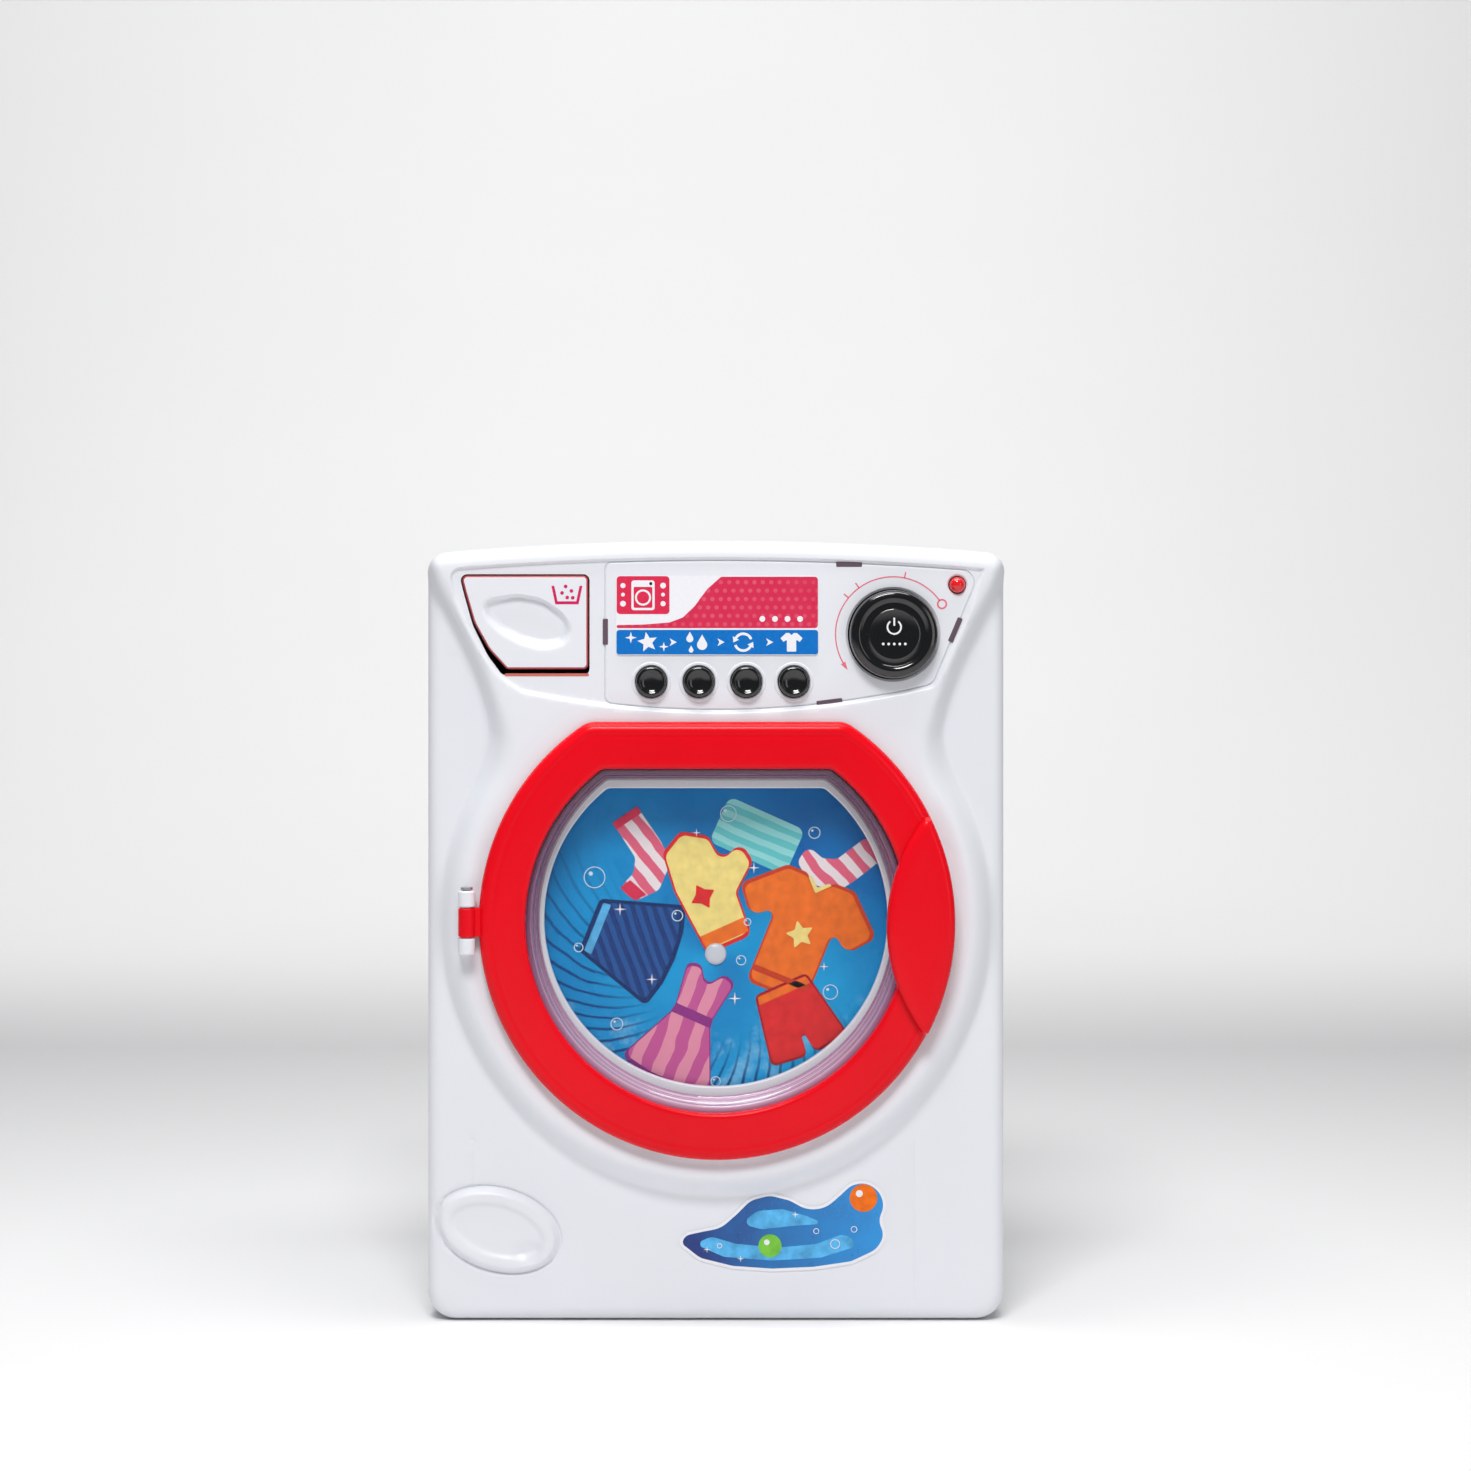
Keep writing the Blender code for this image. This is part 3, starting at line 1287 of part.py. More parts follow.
def lens_outline(growth=0):
    """The handle pad: the door's circle on the right and a second arc on the left."""
    outer = DOOR_RADIUS - FIT + growth
    second = HANDLE_ARC_RADIUS + growth
    centre = Vector((HANDLE_REACH_X + HANDLE_ARC_RADIUS, handle_centre_z() - DOOR_Z))
    span = centre.length
    along = (outer**2 - second**2 + span**2) / (2 * span)
    rise = math.sqrt(outer**2 - along**2)
    tilt = math.atan2(centre.y, centre.x)
    half = math.atan2(rise, along)
    far_half = math.atan2(rise, span - along)
    steps = 14
    tip = HANDLE_TIP / outer
    far_tip = HANDLE_TIP / second
    made = []
    for k in range(steps + 1):
        angle = tilt - half + tip + (2 * half - 2 * tip) * k / steps
        made.append((outer * math.cos(angle), DOOR_Z + outer * math.sin(angle)))
    for k in range(steps + 1):
        angle = tilt + math.pi - far_half + far_tip + (2 * far_half - 2 * far_tip) * k / steps
        made.append((centre.x + second * math.cos(angle), DOOR_Z + centre.y + second * math.sin(angle)))
    return made


def door_handle():
    pad = slab("door_handle", lens_outline(), HANDLE_Y, HANDLE_BACK_Y, RED, HANDLE_EDGE)
    pegs = [
        rod(f"peg_{i}", (x, HANDLE_BACK_Y - HANDLE_THICK / 2, z), (x, DOOR_BACK_Y - FIT, z), HANDLE_PEG, steps=10)
        for i, (x, z) in enumerate(handle_peg_places())
    ]
    return join(pad, gathered("handle_pegs", pegs))


def hinge_pin():
    half = KNUCKLE_LENGTH / 2 + EAR_LENGTH + FIT
    pin = rod("door_hinge_pin", (HINGE_X, HINGE_Y, DOOR_Z - half), (HINGE_X, HINGE_Y, DOOR_Z + half + FIT),
              HINGE_PIN_RADIUS, STEEL, steps=14)
    head = rod("pin_head", (HINGE_X, HINGE_Y, DOOR_Z + half + FIT),
               (HINGE_X, HINGE_Y, DOOR_Z + half + FIT + HINGE_PIN_HEAD_THICK), HINGE_PIN_HEAD, steps=14)
    return join(pin, head)


def door():
    hinge_pin()
    axis = pivot("door_hinge_axis", (HINGE_X, HINGE_Y, DOOR_Z))
    hang(axis, door_frame(), door_window(), door_rear_ring(), door_handle(), *door_screws())


# Controls


def control_panel():
    """The panel: a plate in the shell's opening, with a rim behind the wall and four posts."""
    sections = [
        (panel_outline(), PANEL_Y),
        (panel_outline(), RIM_Y),
        (panel_outline(RIM_OUT), RIM_Y),
        (panel_outline(RIM_OUT), RIM_BACK_Y),
        (panel_outline(-RIM_IN), RIM_BACK_Y),
        (panel_outline(-RIM_IN), PANEL_BACK_Y),
    ]
    panel = lofted("control_panel", sections, WHITE)
    start, shoulder, end = PANEL_BACK_Y - WALL / 2, BOARD_Y - FIT, BOARD_BACK_Y + OVERRUN
    rings = ((POST_RADIUS, start), (POST_RADIUS, shoulder), (POST_PIN, shoulder), (POST_PIN, end))
    posts = [
        lofted(f"post_{i}", [(circle(x, z, radius, 10), y) for radius, y in rings])
        for i, (x, z) in enumerate(post_places())
    ]
    join(panel, gathered("panel_posts", posts))
    front, back = PANEL_Y - OVERRUN, PANEL_BACK_Y + OVERRUN
    holes = [
        rod(f"button_hole_{i}", (x, front, BUTTON_Z), (x, back, BUTTON_Z), BUTTON_RADIUS + FIT, steps=16)
        for i, x in enumerate(BUTTON_XS)
    ]
    holes.append(rod("power_hole", (POWER_X, front, POWER_Z), (POWER_X, back, POWER_Z), POWER_RADIUS + FIT, steps=28))
    holes.append(rod("led_hole", (LED_X, front, LED_Z), (LED_X, back, LED_Z), LED_RADIUS + FIT, steps=14))
    return cut(panel, gathered("panel_holes", holes + clip_slots()))


def post_places():
    """Posts near the panel's corners, clear of its holes."""
    left = PANEL_LEFT + BOARD_INSET + 2 * POST_RADIUS
    high = LABEL_TOP_Z - POST_RADIUS * 2
    low = LABEL_LOW_Z + POST_RADIUS
    middle = POWER_X - POWER_RADIUS - 3 * POST_RADIUS
    return [(left, low), (left, high), (middle, low), (middle, high)]


def clip_slots():
    """Dark slots at the middle of each edge, over the clips that hold the panel."""
    half = CLIP_SLOT_LENGTH / 2
    width = CLIP_SLOT_WIDTH / 2
    low_x = BUTTON_XS[-1] + BUTTON_PITCH * 0.75
    high_x = (LABEL_RIGHT + LED_X) / 2 - half * 3
    right_slope = math.degrees(math.atan2(crown_z(PANEL_RIGHT_TOP, TOP_LIP) - smile_z(PANEL_RIGHT_LOW),
                                          PANEL_RIGHT_TOP - PANEL_RIGHT_LOW))
    right_share = 0.48
    right_x = PANEL_RIGHT_LOW + (PANEL_RIGHT_TOP - PANEL_RIGHT_LOW) * right_share
    right_z = smile_z(PANEL_RIGHT_LOW) + (crown_z(PANEL_RIGHT_TOP, TOP_LIP) - smile_z(PANEL_RIGHT_LOW)) * right_share
    places = (
        (PANEL_LEFT, POWER_Z + width, 90),
        (low_x, smile_z(low_x), math.degrees(low_x / SMILE_RADIUS)),
        (right_x, right_z, right_slope),
        (high_x, crown_z(high_x, TOP_LIP), 0),
    )
    return [
        slab(f"clip_slot_{i}", slot_outline(x, z, half, width, turn), PANEL_Y - OVERRUN, PANEL_Y + CLIP_SLOT_DEPTH)
        for i, (x, z, turn) in enumerate(places)
    ]


def display_label():
    corners = [
        (LABEL_LEFT, LABEL_LOW_Z, LABEL_CORNER),
        (LABEL_RIGHT, LABEL_LOW_Z, LABEL_CORNER),
        (LABEL_RIGHT, LABEL_TOP_Z, LABEL_CORNER),
        (LABEL_LEFT, LABEL_TOP_Z, LABEL_CORNER),
    ]
    back = PANEL_Y - LABEL_GAP
    return slab("display_label", filleted(corners), back - LABEL_THICK, back, PRINT)


def program_button(number, x):
    """A black cap: rounded rim, dished top, retaining flange and stem."""
    front = PANEL_Y - BUTTON_PROUD
    radius = BUTTON_RADIUS
    flange = radius + BUTTON_FLANGE
    flange_y = PANEL_BACK_Y + FIT
    stem_end = BOARD_Y - KEYPAD_THICK - DOME_HEIGHT - 2 * FIT
    profile = [
        (0, front + BUTTON_DISH),
        (radius - 2.2 * BUTTON_RIM, front + BUTTON_DISH * 0.55),
        (radius - 1.2 * BUTTON_RIM, front),
        (radius - 0.4 * BUTTON_RIM, front + BUTTON_RIM * 0.1),
        (radius, front + BUTTON_RIM * 0.7),
        (radius, flange_y),
        (flange, flange_y),
        (flange, flange_y + BUTTON_FLANGE_THICK),
        (BUTTON_STEM, flange_y + BUTTON_FLANGE_THICK),
        (BUTTON_STEM, stem_end),
        (0, stem_end),
    ]
    name = f"program_button_{number}"
    cap = turned(name, profile, x, BUTTON_Z, BLACK, steps=16)
    hang(pivot(f"{name}_slide", (x, front, BUTTON_Z)), cap)


def button_keypad():
    """One rubber sheet with a dome behind each button."""
    margin = KEYPAD_MARGIN
    corners = [
        (BUTTON_XS[0] - margin, BUTTON_Z - DOME_BASE, POST_RADIUS),
        (BUTTON_XS[-1] + margin, BUTTON_Z - DOME_BASE, POST_RADIUS),
        (BUTTON_XS[-1] + margin, BUTTON_Z + DOME_BASE, POST_RADIUS),
        (BUTTON_XS[0] - margin, BUTTON_Z + DOME_BASE, POST_RADIUS),
    ]
    back = BOARD_Y - FIT
    sheet = slab("button_keypad", filleted(corners, 3), back - KEYPAD_THICK, back, RUBBER)
    domes = [
        rod(f"dome_{i}", (x, back - KEYPAD_THICK / 2, BUTTON_Z), (x, back - KEYPAD_THICK - DOME_HEIGHT + FIT, BUTTON_Z),
            DOME_BASE - FIT, steps=12, end_radius=DOME_TOP)
        for i, x in enumerate(BUTTON_XS)
    ]
    return join(sheet, gathered("keypad_domes", domes))


def control_board():
    board = slab("control_board", board_outline(), BOARD_Y, BOARD_BACK_Y, BOARD)
    holes = [
        rod(f"pin_hole_{i}", (x, BOARD_Y - OVERRUN, z), (x, BOARD_BACK_Y + OVERRUN, z), POST_PIN + FIT, steps=10)
        for i, (x, z) in enumerate(post_places())
    ]
    return cut(board, gathered("pin_holes", holes))


def board_outline():
    return filleted(grown(panel_corners(), -BOARD_INSET), 3)


def power_button():
    """A large stepped cap with a stem that sits over the switch's plunger."""
    front = PANEL_Y - POWER_PROUD
    radius = POWER_RADIUS
    step = POWER_STEP_RADIUS
    flange_y = PANEL_BACK_Y + FIT
    flange = radius + POWER_FLANGE
    inside = front + POWER_DISH + POWER_SKIN
    plunger_tip = BOARD_Y - FIT - SWITCH_HEIGHT - SWITCH_PLUNGER_LENGTH
    socket_top = plunger_tip - POWER_TRAVEL - FIT
    stem_end = BOARD_Y - FIT - SWITCH_HEIGHT - POWER_TRAVEL - FIT
    rim = quarter(front, front + POWER_EDGE, radius - POWER_EDGE, radius, 3)
    profile = [
        (0, front + POWER_DISH),
        (step * 0.55, front + POWER_DISH * 0.85),
        (step * 0.85, front + POWER_STEP),
        (step, front + POWER_STEP * 0.35),
        *rim,
        (radius, flange_y),
        (flange, flange_y),
        (flange, flange_y + POWER_FLANGE_THICK),
        (POWER_BORE, flange_y + POWER_FLANGE_THICK),
        (POWER_BORE, inside),
        (POWER_STEM, inside),
        (POWER_STEM, stem_end),
        (POWER_SOCKET, stem_end),
        (POWER_SOCKET, socket_top),
        (0, socket_top),
    ]
    cap = turned("power_button", profile, POWER_X, POWER_Z, BLACK, steps=28)
    hang(pivot("power_button_slide", (POWER_X, front, POWER_Z)), cap)


def power_switch():
    """A push switch on the control board."""
    back = BOARD_Y - FIT
    front = back - SWITCH_HEIGHT
    body = block(
        "power_switch",
        (POWER_X - SWITCH_HALF, front, POWER_Z - SWITCH_HALF),
        (POWER_X + SWITCH_HALF, back, POWER_Z + SWITCH_HALF),
        GREY,
    )
    plunger = rod("switch_plunger", (POWER_X, front + FIT, POWER_Z), (POWER_X, front - SWITCH_PLUNGER_LENGTH, POWER_Z),
                  SWITCH_PLUNGER, steps=14)
    return join(body, plunger)


def power_spring():
    """The coil that returns the power button, round its stem."""
    back = BOARD_Y - FIT - SWITCH_HEIGHT - FIT - SPRING_WIRE
    front = PANEL_Y - POWER_PROUD + POWER_DISH + POWER_SKIN + FIT + SPRING_WIRE
    per_turn = 8
    count = SPRING_TURNS * per_turn
    curve = bpy.data.curves.new("power_spring", "CURVE")
    curve.dimensions = "3D"
    curve.bevel_depth = SPRING_WIRE
    curve.bevel_resolution = 1
    curve.use_fill_caps = True
    spline = curve.splines.new("POLY")
    spline.points.add(count)
    for k, point in enumerate(spline.points):
        angle = math.tau * k / per_turn
        y = front + (back - front) * k / count
        x = POWER_X + SPRING_RADIUS * math.cos(angle)
        z = POWER_Z + SPRING_RADIUS * math.sin(angle)
        point.co = (x, y, z, 1)
    curve.materials.append(STEEL)
    spring = bpy.data.objects.new("power_spring", curve)
    PARTS.objects.link(spring)
    print("power_spring least gap between turns", (back - front) / SPRING_TURNS - 2 * SPRING_WIRE)
    return spring


def led():
    """A 5 mm lamp: dome, flange and two legs down to the board."""
    front = PANEL_Y - LED_PROUD
    dome = quarter(front, front + LED_RADIUS, 0, LED_RADIUS, 3)
    flange_y = PANEL_BACK_Y + FIT
    back = flange_y + LED_FLANGE_THICK
    profile = [*dome, (LED_RADIUS, flange_y), (LED_FLANGE, flange_y), (LED_FLANGE, back), (0, back)]
    lamp = turned("led", profile, LED_X, LED_Z, LAMP, steps=14)
    legs = [
        block(
            f"led_leg_{i}",
            (LED_X + side * LED_LEG_SPREAD - LED_LEG / 2, back - LED_LEG, LED_Z - LED_LEG / 2),
            (LED_X + side * LED_LEG_SPREAD + LED_LEG / 2, BOARD_Y - FIT, LED_Z + LED_LEG / 2),
        )
        for i, side in enumerate((-1, 1))
    ]
    return join(lamp, gathered("led_legs", legs))


def controls():
    control_panel()
    display_label()
    for number, x in enumerate(BUTTON_XS, 1):
        program_button(number, x)
    button_keypad()
    control_board()
    power_button()
    power_switch()
    power_spring()
    led()


# Detergent flap and tray


def flap_lug_spans():
    """(low, high) in X of the two lugs behind the flap's bottom corners."""
    left = FLAP_LOW_LEFT + FLAP_CORNER / 2
    right = FLAP_RIGHT - FLAP_CORNER / 2
    return (left, left + FLAP_LUG_THICK), (right - FLAP_LUG_THICK, right)


def detergent_flap():
    outline = filleted(flap_corners())
    flap = slab("detergent_flap", outline, FLAP_Y, FLAP_BACK_Y, WHITE, FLAP_EDGE)
    spans = flap_lug_spans()
    ears = flap_ear_spans()
    lugs = []
    webs = []
    stubs = []
    for i, (low, high) in enumerate(spans):
        start, end = (low, FLAP_AXIS_Y, FLAP_AXIS_Z), (high, FLAP_AXIS_Y, FLAP_AXIS_Z)
        web_low = (low, FLAP_BACK_Y - FLAP_THICK / 2, FLAP_AXIS_Z)
        web_high = (high, FLAP_AXIS_Y, FLAP_AXIS_Z + FLAP_LUG_RADIUS)
        lugs.append(rod(f"flap_lug_{i}", start, end, FLAP_LUG_RADIUS, steps=14))
        webs.append(block(f"flap_web_{i}", web_low, web_high))
        inner = (low + high) / 2
        outer = ears[i][0] + FIT if i == 0 else ears[i][1] - FIT
        start, end = (inner, FLAP_AXIS_Y, FLAP_AXIS_Z), (outer, FLAP_AXIS_Y, FLAP_AXIS_Z)
        stubs.append(rod(f"flap_stub_{i}", start, end, STUB_RADIUS, steps=10))
    join(flap, gathered("flap_webs", webs), gathered("flap_lugs", lugs), gathered("flap_stubs", stubs))
    scoop = slab("flap_scoop", scoop_outline(), FLAP_Y - OVERRUN, FLAP_Y + SCOOP_DEPTH,
                 rounded=SCOOP_DEPTH * 0.8, steps=2, rounded_back=True)
    return cut(flap, scoop)


def detergent_tray():
    """An open-topped box behind the flap, between its lugs."""
    spans = flap_lug_spans()
    left = spans[0][1] + FIT
    right = spans[1][0] - FIT
    front = FLAP_BACK_Y + FIT
    low = FLAP_LOW_Z + FIT
    tray = block("detergent_tray", (left, front, low), (right, front + TRAY_DEPTH, low + TRAY_HEIGHT), WHITE)
    wall = TRAY_WALL
    pocket = block(
        "tray_pocket",
        (left + wall, front + wall, low + wall),
        (right - wall, front + TRAY_DEPTH - wall, low + TRAY_HEIGHT + OVERRUN),
    )
    return cut(tray, pocket)


def detergent_drawer():
    axis = pivot("flap_hinge_axis", ((FLAP_LOW_LEFT + FLAP_RIGHT) / 2, FLAP_AXIS_Y, FLAP_AXIS_Z))
    hang(axis, detergent_flap(), detergent_tray())


# Drum, tub and drive


def tub_lug_front_y():
    return TUB_Y + TUB_LUG_SETBACK


def train_places():
    """Centres of the drum gear, the idler and the motor, in the XZ plane."""
    first = GEAR_MODULE * (GEAR_TEETH + SMALL_TEETH) / 2
    second = FINE_MODULE * (BIG_TEETH + PINION_TEETH) / 2
    way = Vector((math.cos(math.radians(TRAIN_ANGLE)), math.sin(math.radians(TRAIN_ANGLE))))
    drum = Vector((0, DRUM_Z))
    idler = drum + way * first
    motor = idler + way * second
    return drum, idler, motor


def plate_post_places():
    """Two posts on the tub, each side of the gear train."""
    drum, idler, motor = train_places()
    clear = GEAR_MODULE * (GEAR_TEETH / 2 + 2) + PLATE_POST_RADIUS
    middle = (idler + motor) / 2
    across = FINE_MODULE * (BIG_TEETH / 2 + 2) + 2 * PLATE_POST_RADIUS
    side = Vector((math.cos(math.radians(TRAIN_ANGLE + 90)), math.sin(math.radians(TRAIN_ANGLE + 90))))
    return [drum + Vector((-clear, 0)), middle + side * across]


def tub():
    floor = TUB_FLOOR_Y
    bore = SHAFT_RADIUS + SHAFT_FIT
    outer = TUB_RADIUS + TUB_WALL
    profile = [
        (bore, floor - BUSH_FRONT),
        (BUSH_RADIUS, floor - BUSH_FRONT),
        (BUSH_RADIUS, floor),
        (TUB_RADIUS, floor),
        (TUB_RADIUS, TUB_Y),
        (outer, TUB_Y),
        (outer, TUB_BACK_Y),
        (BUSH_RADIUS, TUB_BACK_Y),
        (BUSH_RADIUS, TUB_BACK_Y + BUSH_BACK),
        (bore, TUB_BACK_Y + BUSH_BACK),
    ]
    cup = turned("tub", profile, 0, DRUM_Z, WHITE, steps=32, ring=True)
    lugs = []
    cuts = []
    front = tub_lug_front_y()
    for i, angle in enumerate(TUB_LUG_ANGLES):
        way = Vector((math.cos(math.radians(angle)), math.sin(math.radians(angle))))
        middle = (TUB_RADIUS + TUB_WALL / 2 + TUB_LUG_RADIUS + TUB_LUG_HALF) / 2
        half = TUB_LUG_RADIUS + TUB_LUG_HALF - middle
        x, z = way.x * middle, DRUM_Z + way.y * middle
        outline = slot_outline(x, z, half, TUB_LUG_HALF, angle)
        lugs.append(slab(f"tub_lug_{i}", outline, front, front + TUB_LUG_THICK))
        hole = (way.x * TUB_LUG_RADIUS, DRUM_Z + way.y * TUB_LUG_RADIUS)
        cuts.append(rod(f"lug_hole_{i}", (hole[0], front - OVERRUN, hole[1]),
                        (hole[0], front + TUB_LUG_THICK + OVERRUN, hole[1]), SMALL_SHANK + FIT, steps=8))
    for i, (x, z) in enumerate(plate_post_places()):
        lugs.append(rod(f"plate_post_{i}", (x, TUB_BACK_Y - TUB_WALL / 2, z), (x, PLATE_Y - FIT, z),
                        PLATE_POST_RADIUS, steps=10))
        cuts.append(rod(f"post_core_{i}", (x, PLATE_Y - SMALL_LENGTH, z), (x, PLATE_Y, z), PLATE_SCREW_CORE, steps=8))
    idler = train_places()[1]
    cuts.append(rod("axle_hole", (idler.x, TUB_FLOOR_Y - OVERRUN, idler.y), (idler.x, TUB_BACK_Y + OVERRUN, idler.y),
                    AXLE_RADIUS + SHAFT_FIT, steps=14))
    return cut(join(cup, gathered("tub_lugs", lugs)), gathered("tub_holes", cuts))


def drum():
    """A shallow blue cup with its open side to the back, on a hub."""
    front = DRUM_Y
    edge = DRUM_EDGE
    inside = front + DRUM_SKIN
    hub_back = front + DRUM_HUB_LENGTH
    bore = SHAFT_RADIUS + SHAFT_FIT
    profile = [
        (0, front),
        *quarter(front, front + edge, DRUM_RADIUS - edge, DRUM_RADIUS, 2),
        (DRUM_RADIUS, front + DRUM_RIM),
        (DRUM_RADIUS - DRUM_SKIN, front + DRUM_RIM),
        (DRUM_RADIUS - DRUM_SKIN, inside),
        (DRUM_HUB, inside),
        (DRUM_HUB, hub_back),
        (bore, hub_back),
        (bore, front + DRUM_SKIN / 2),
        (0, front + DRUM_SKIN / 2),
    ]
    return turned("drum", profile, 0, DRUM_Z, BLUE, steps=40)


def drum_picture():
    back = DRUM_Y - LABEL_GAP
    outline = circle(0, DRUM_Z, DRUM_RADIUS - PICTURE_MARGIN, 48)
    return slab("drum_picture", outline, back - PICTURE_THICK, back, BLUE)


def drum_cap():
    back = DRUM_Y - 2 * LABEL_GAP - PICTURE_THICK
    dome = quarter(back - CAP_HEIGHT, back, 0, CAP_RADIUS, 4)
    return turned("drum_cap", [*dome, (0, back)], 0, DRUM_Z, GREY, steps=16)


def drum_shaft():
    start = DRUM_Y + DRUM_SKIN / 2 + FIT
    return rod("drum_shaft", (0, start, DRUM_Z), (0, PLATE_BACK_Y, DRUM_Z), SHAFT_RADIUS, STEEL, steps=20)


def drum_gear():
    bore = circle(0, DRUM_Z, SHAFT_RADIUS + SHAFT_FIT, 20)
    phase = math.radians(TRAIN_ANGLE)
    teeth = gear_outline(GEAR_TEETH, GEAR_MODULE, 0, DRUM_Z, phase)
    return slab("drum_gear", [teeth, bore], GEAR_Y, GEAR_BACK_Y, NATURAL)


def idler_gear():
    """Big wheel driven by the pinion, small wheel driving the drum gear, in one piece."""
    idler = train_places()[1]
    facing_drum = math.radians(TRAIN_ANGLE) + math.pi
    facing_motor = math.radians(TRAIN_ANGLE)
    small = gear_outline(SMALL_TEETH, GEAR_MODULE, idler.x, idler.y, facing_drum + math.pi / SMALL_TEETH)
    big = gear_outline(BIG_TEETH, FINE_MODULE, idler.x, idler.y, facing_motor)
    gear = slab("idler_gear", big, BIG_Y, BIG_BACK_Y, NATURAL)
    join(gear, slab("idler_small", small, GEAR_Y, BIG_Y + BIG_THICK / 2))
    bore = rod("idler_bore", (idler.x, GEAR_Y - OVERRUN, idler.y), (idler.x, BIG_BACK_Y + OVERRUN, idler.y),
               AXLE_RADIUS + SHAFT_FIT, steps=16)
    return cut(gear, bore)


def idler_axle():
    x, z = train_places()[1]
    return rod("idler_axle", (x, TUB_FLOOR_Y, z), (x, PLATE_BACK_Y, z), AXLE_RADIUS, STEEL, steps=16)


def motor_pinion():
    """Pinion and motor shaft, which turn as one."""
    x, z = train_places()[2]
    phase = math.radians(TRAIN_ANGLE) + math.pi + math.pi / PINION_TEETH
    teeth = gear_outline(PINION_TEETH, FINE_MODULE, x, z, phase)
    back = PLATE_Y - GEAR_GAP
    pinion = slab("motor_pinion", teeth, back - PINION_THICK, back, NATURAL)
    start = (x, back - PINION_THICK - GEAR_GAP, z)
    return join(pinion, rod("motor_shaft", start, (x, back + MOTOR_SHAFT_LENGTH, z), MOTOR_SHAFT_RADIUS, steps=12))


def gearbox_plate():
    """Back wall of the gearbox, which also holds the motor between two arms."""
    drum_at, idler, motor_at = train_places()
    posts = plate_post_places()
    margin = PLATE_MARGIN
    motor_side = MOTOR_RADIUS + 2 * MOTOR_ARM
    left, right = posts[0].x - margin, max(posts[1].x + margin, motor_at.x + motor_side)
    low, high = motor_at.y - motor_side, drum_at.y + margin
    corners = [
        (motor_at.x - motor_side, low, margin / 2),
        (right, low, margin / 2),
        (right, posts[1].y + margin, margin),
        (drum_at.x + margin, high, margin),
        (left, high, margin / 2),
        (left, drum_at.y - margin, margin / 2),
    ]
    plate = slab("gearbox_plate", filleted(corners, 3), PLATE_Y, PLATE_BACK_Y, WHITE)
    arms = []
    for i, side in enumerate((-1, 1)):
        near = MOTOR_HALF_FLAT + FIT
        ys = PLATE_BACK_Y - PLATE_THICK / 2, PLATE_BACK_Y + MOTOR_ARM_LENGTH
        zs = sorted((motor_at.y + side * near, motor_at.y + side * (near + MOTOR_ARM)))
        low_corner = (motor_at.x - MOTOR_ARM_HALF, ys[0], zs[0])
        arms.append(block(f"motor_arm_{i}", low_corner, (motor_at.x + MOTOR_ARM_HALF, ys[1], zs[1])))
    join(plate, gathered("motor_arms", arms))
    holes = [
        (drum_at, SHAFT_RADIUS + SHAFT_FIT),
        (idler, AXLE_RADIUS + SHAFT_FIT),
        (motor_at, MOTOR_BOSS_RADIUS + FIT),
        *((post, SMALL_SHANK + FIT) for post in posts),
    ]
    cuts = [
        rod(f"plate_hole_{i}", (at.x, PLATE_Y - OVERRUN, at.y), (at.x, PLATE_BACK_Y + OVERRUN, at.y), radius, steps=14)
        for i, (at, radius) in enumerate(holes)
    ]
    return cut(plate, gathered("plate_holes", cuts))


def motor():
    """A can with two flats, a front boss and a plastic end cap."""
    x, z = train_places()[2]
    back = MOTOR_Y + MOTOR_LENGTH
    can = rod("motor", (x, MOTOR_Y, z), (x, back, z), MOTOR_RADIUS, STEEL, steps=24)
    flats = [
        block(
            f"motor_flat_{i}",
            (x - 2 * MOTOR_RADIUS, MOTOR_Y - OVERRUN, min(z + side * MOTOR_HALF_FLAT, z + side * 2 * MOTOR_RADIUS)),
            (x + 2 * MOTOR_RADIUS, back + OVERRUN, max(z + side * MOTOR_HALF_FLAT, z + side * 2 * MOTOR_RADIUS)),
        )
        for i, side in enumerate((-1, 1))
    ]
    cut(can, gathered("motor_flats", flats))
    boss = rod("motor_boss", (x, MOTOR_Y - MOTOR_BOSS, z), (x, MOTOR_Y + FIT, z), MOTOR_BOSS_RADIUS, steps=16)
    cap_radius = min(MOTOR_CAP_RADIUS, MOTOR_HALF_FLAT - FIT)
    cap = rod("motor_cap", (x, back - FIT, z), (x, back + MOTOR_CAP, z), cap_radius, steps=20)
    join(can, gathered("motor_ends", [boss, cap]))
    shaft_end = PLATE_Y - GEAR_GAP + MOTOR_SHAFT_LENGTH + FIT
    bore = rod("motor_bore", (x, MOTOR_Y - MOTOR_BOSS - OVERRUN, z), (x, shaft_end, z),
               MOTOR_SHAFT_RADIUS + SHAFT_FIT, steps=12)
    return cut(can, bore)


def tub_screws():
    head_y = tub_lug_front_y() + TUB_LUG_THICK + FIT + SMALL_HEAD_THICK
    for i, (x, z) in enumerate(tub_screw_places(), 1):
        length = SMALL_LENGTH + TUB_LUG_THICK - OVERRUN
        screw(f"tub_screw_{i}", x, z, head_y, -1, SMALL_HEAD, SMALL_HEAD_THICK, SMALL_SHANK, length)


def gearbox_screws():
    head_y = PLATE_BACK_Y + FIT + SMALL_HEAD_THICK
    for i, (x, z) in enumerate(plate_post_places(), 1):
        length = SMALL_LENGTH + PLATE_THICK - OVERRUN
        screw(f"gearbox_screw_{i}", x, z, head_y, -1, SMALL_HEAD, SMALL_HEAD_THICK, SMALL_SHANK, length)


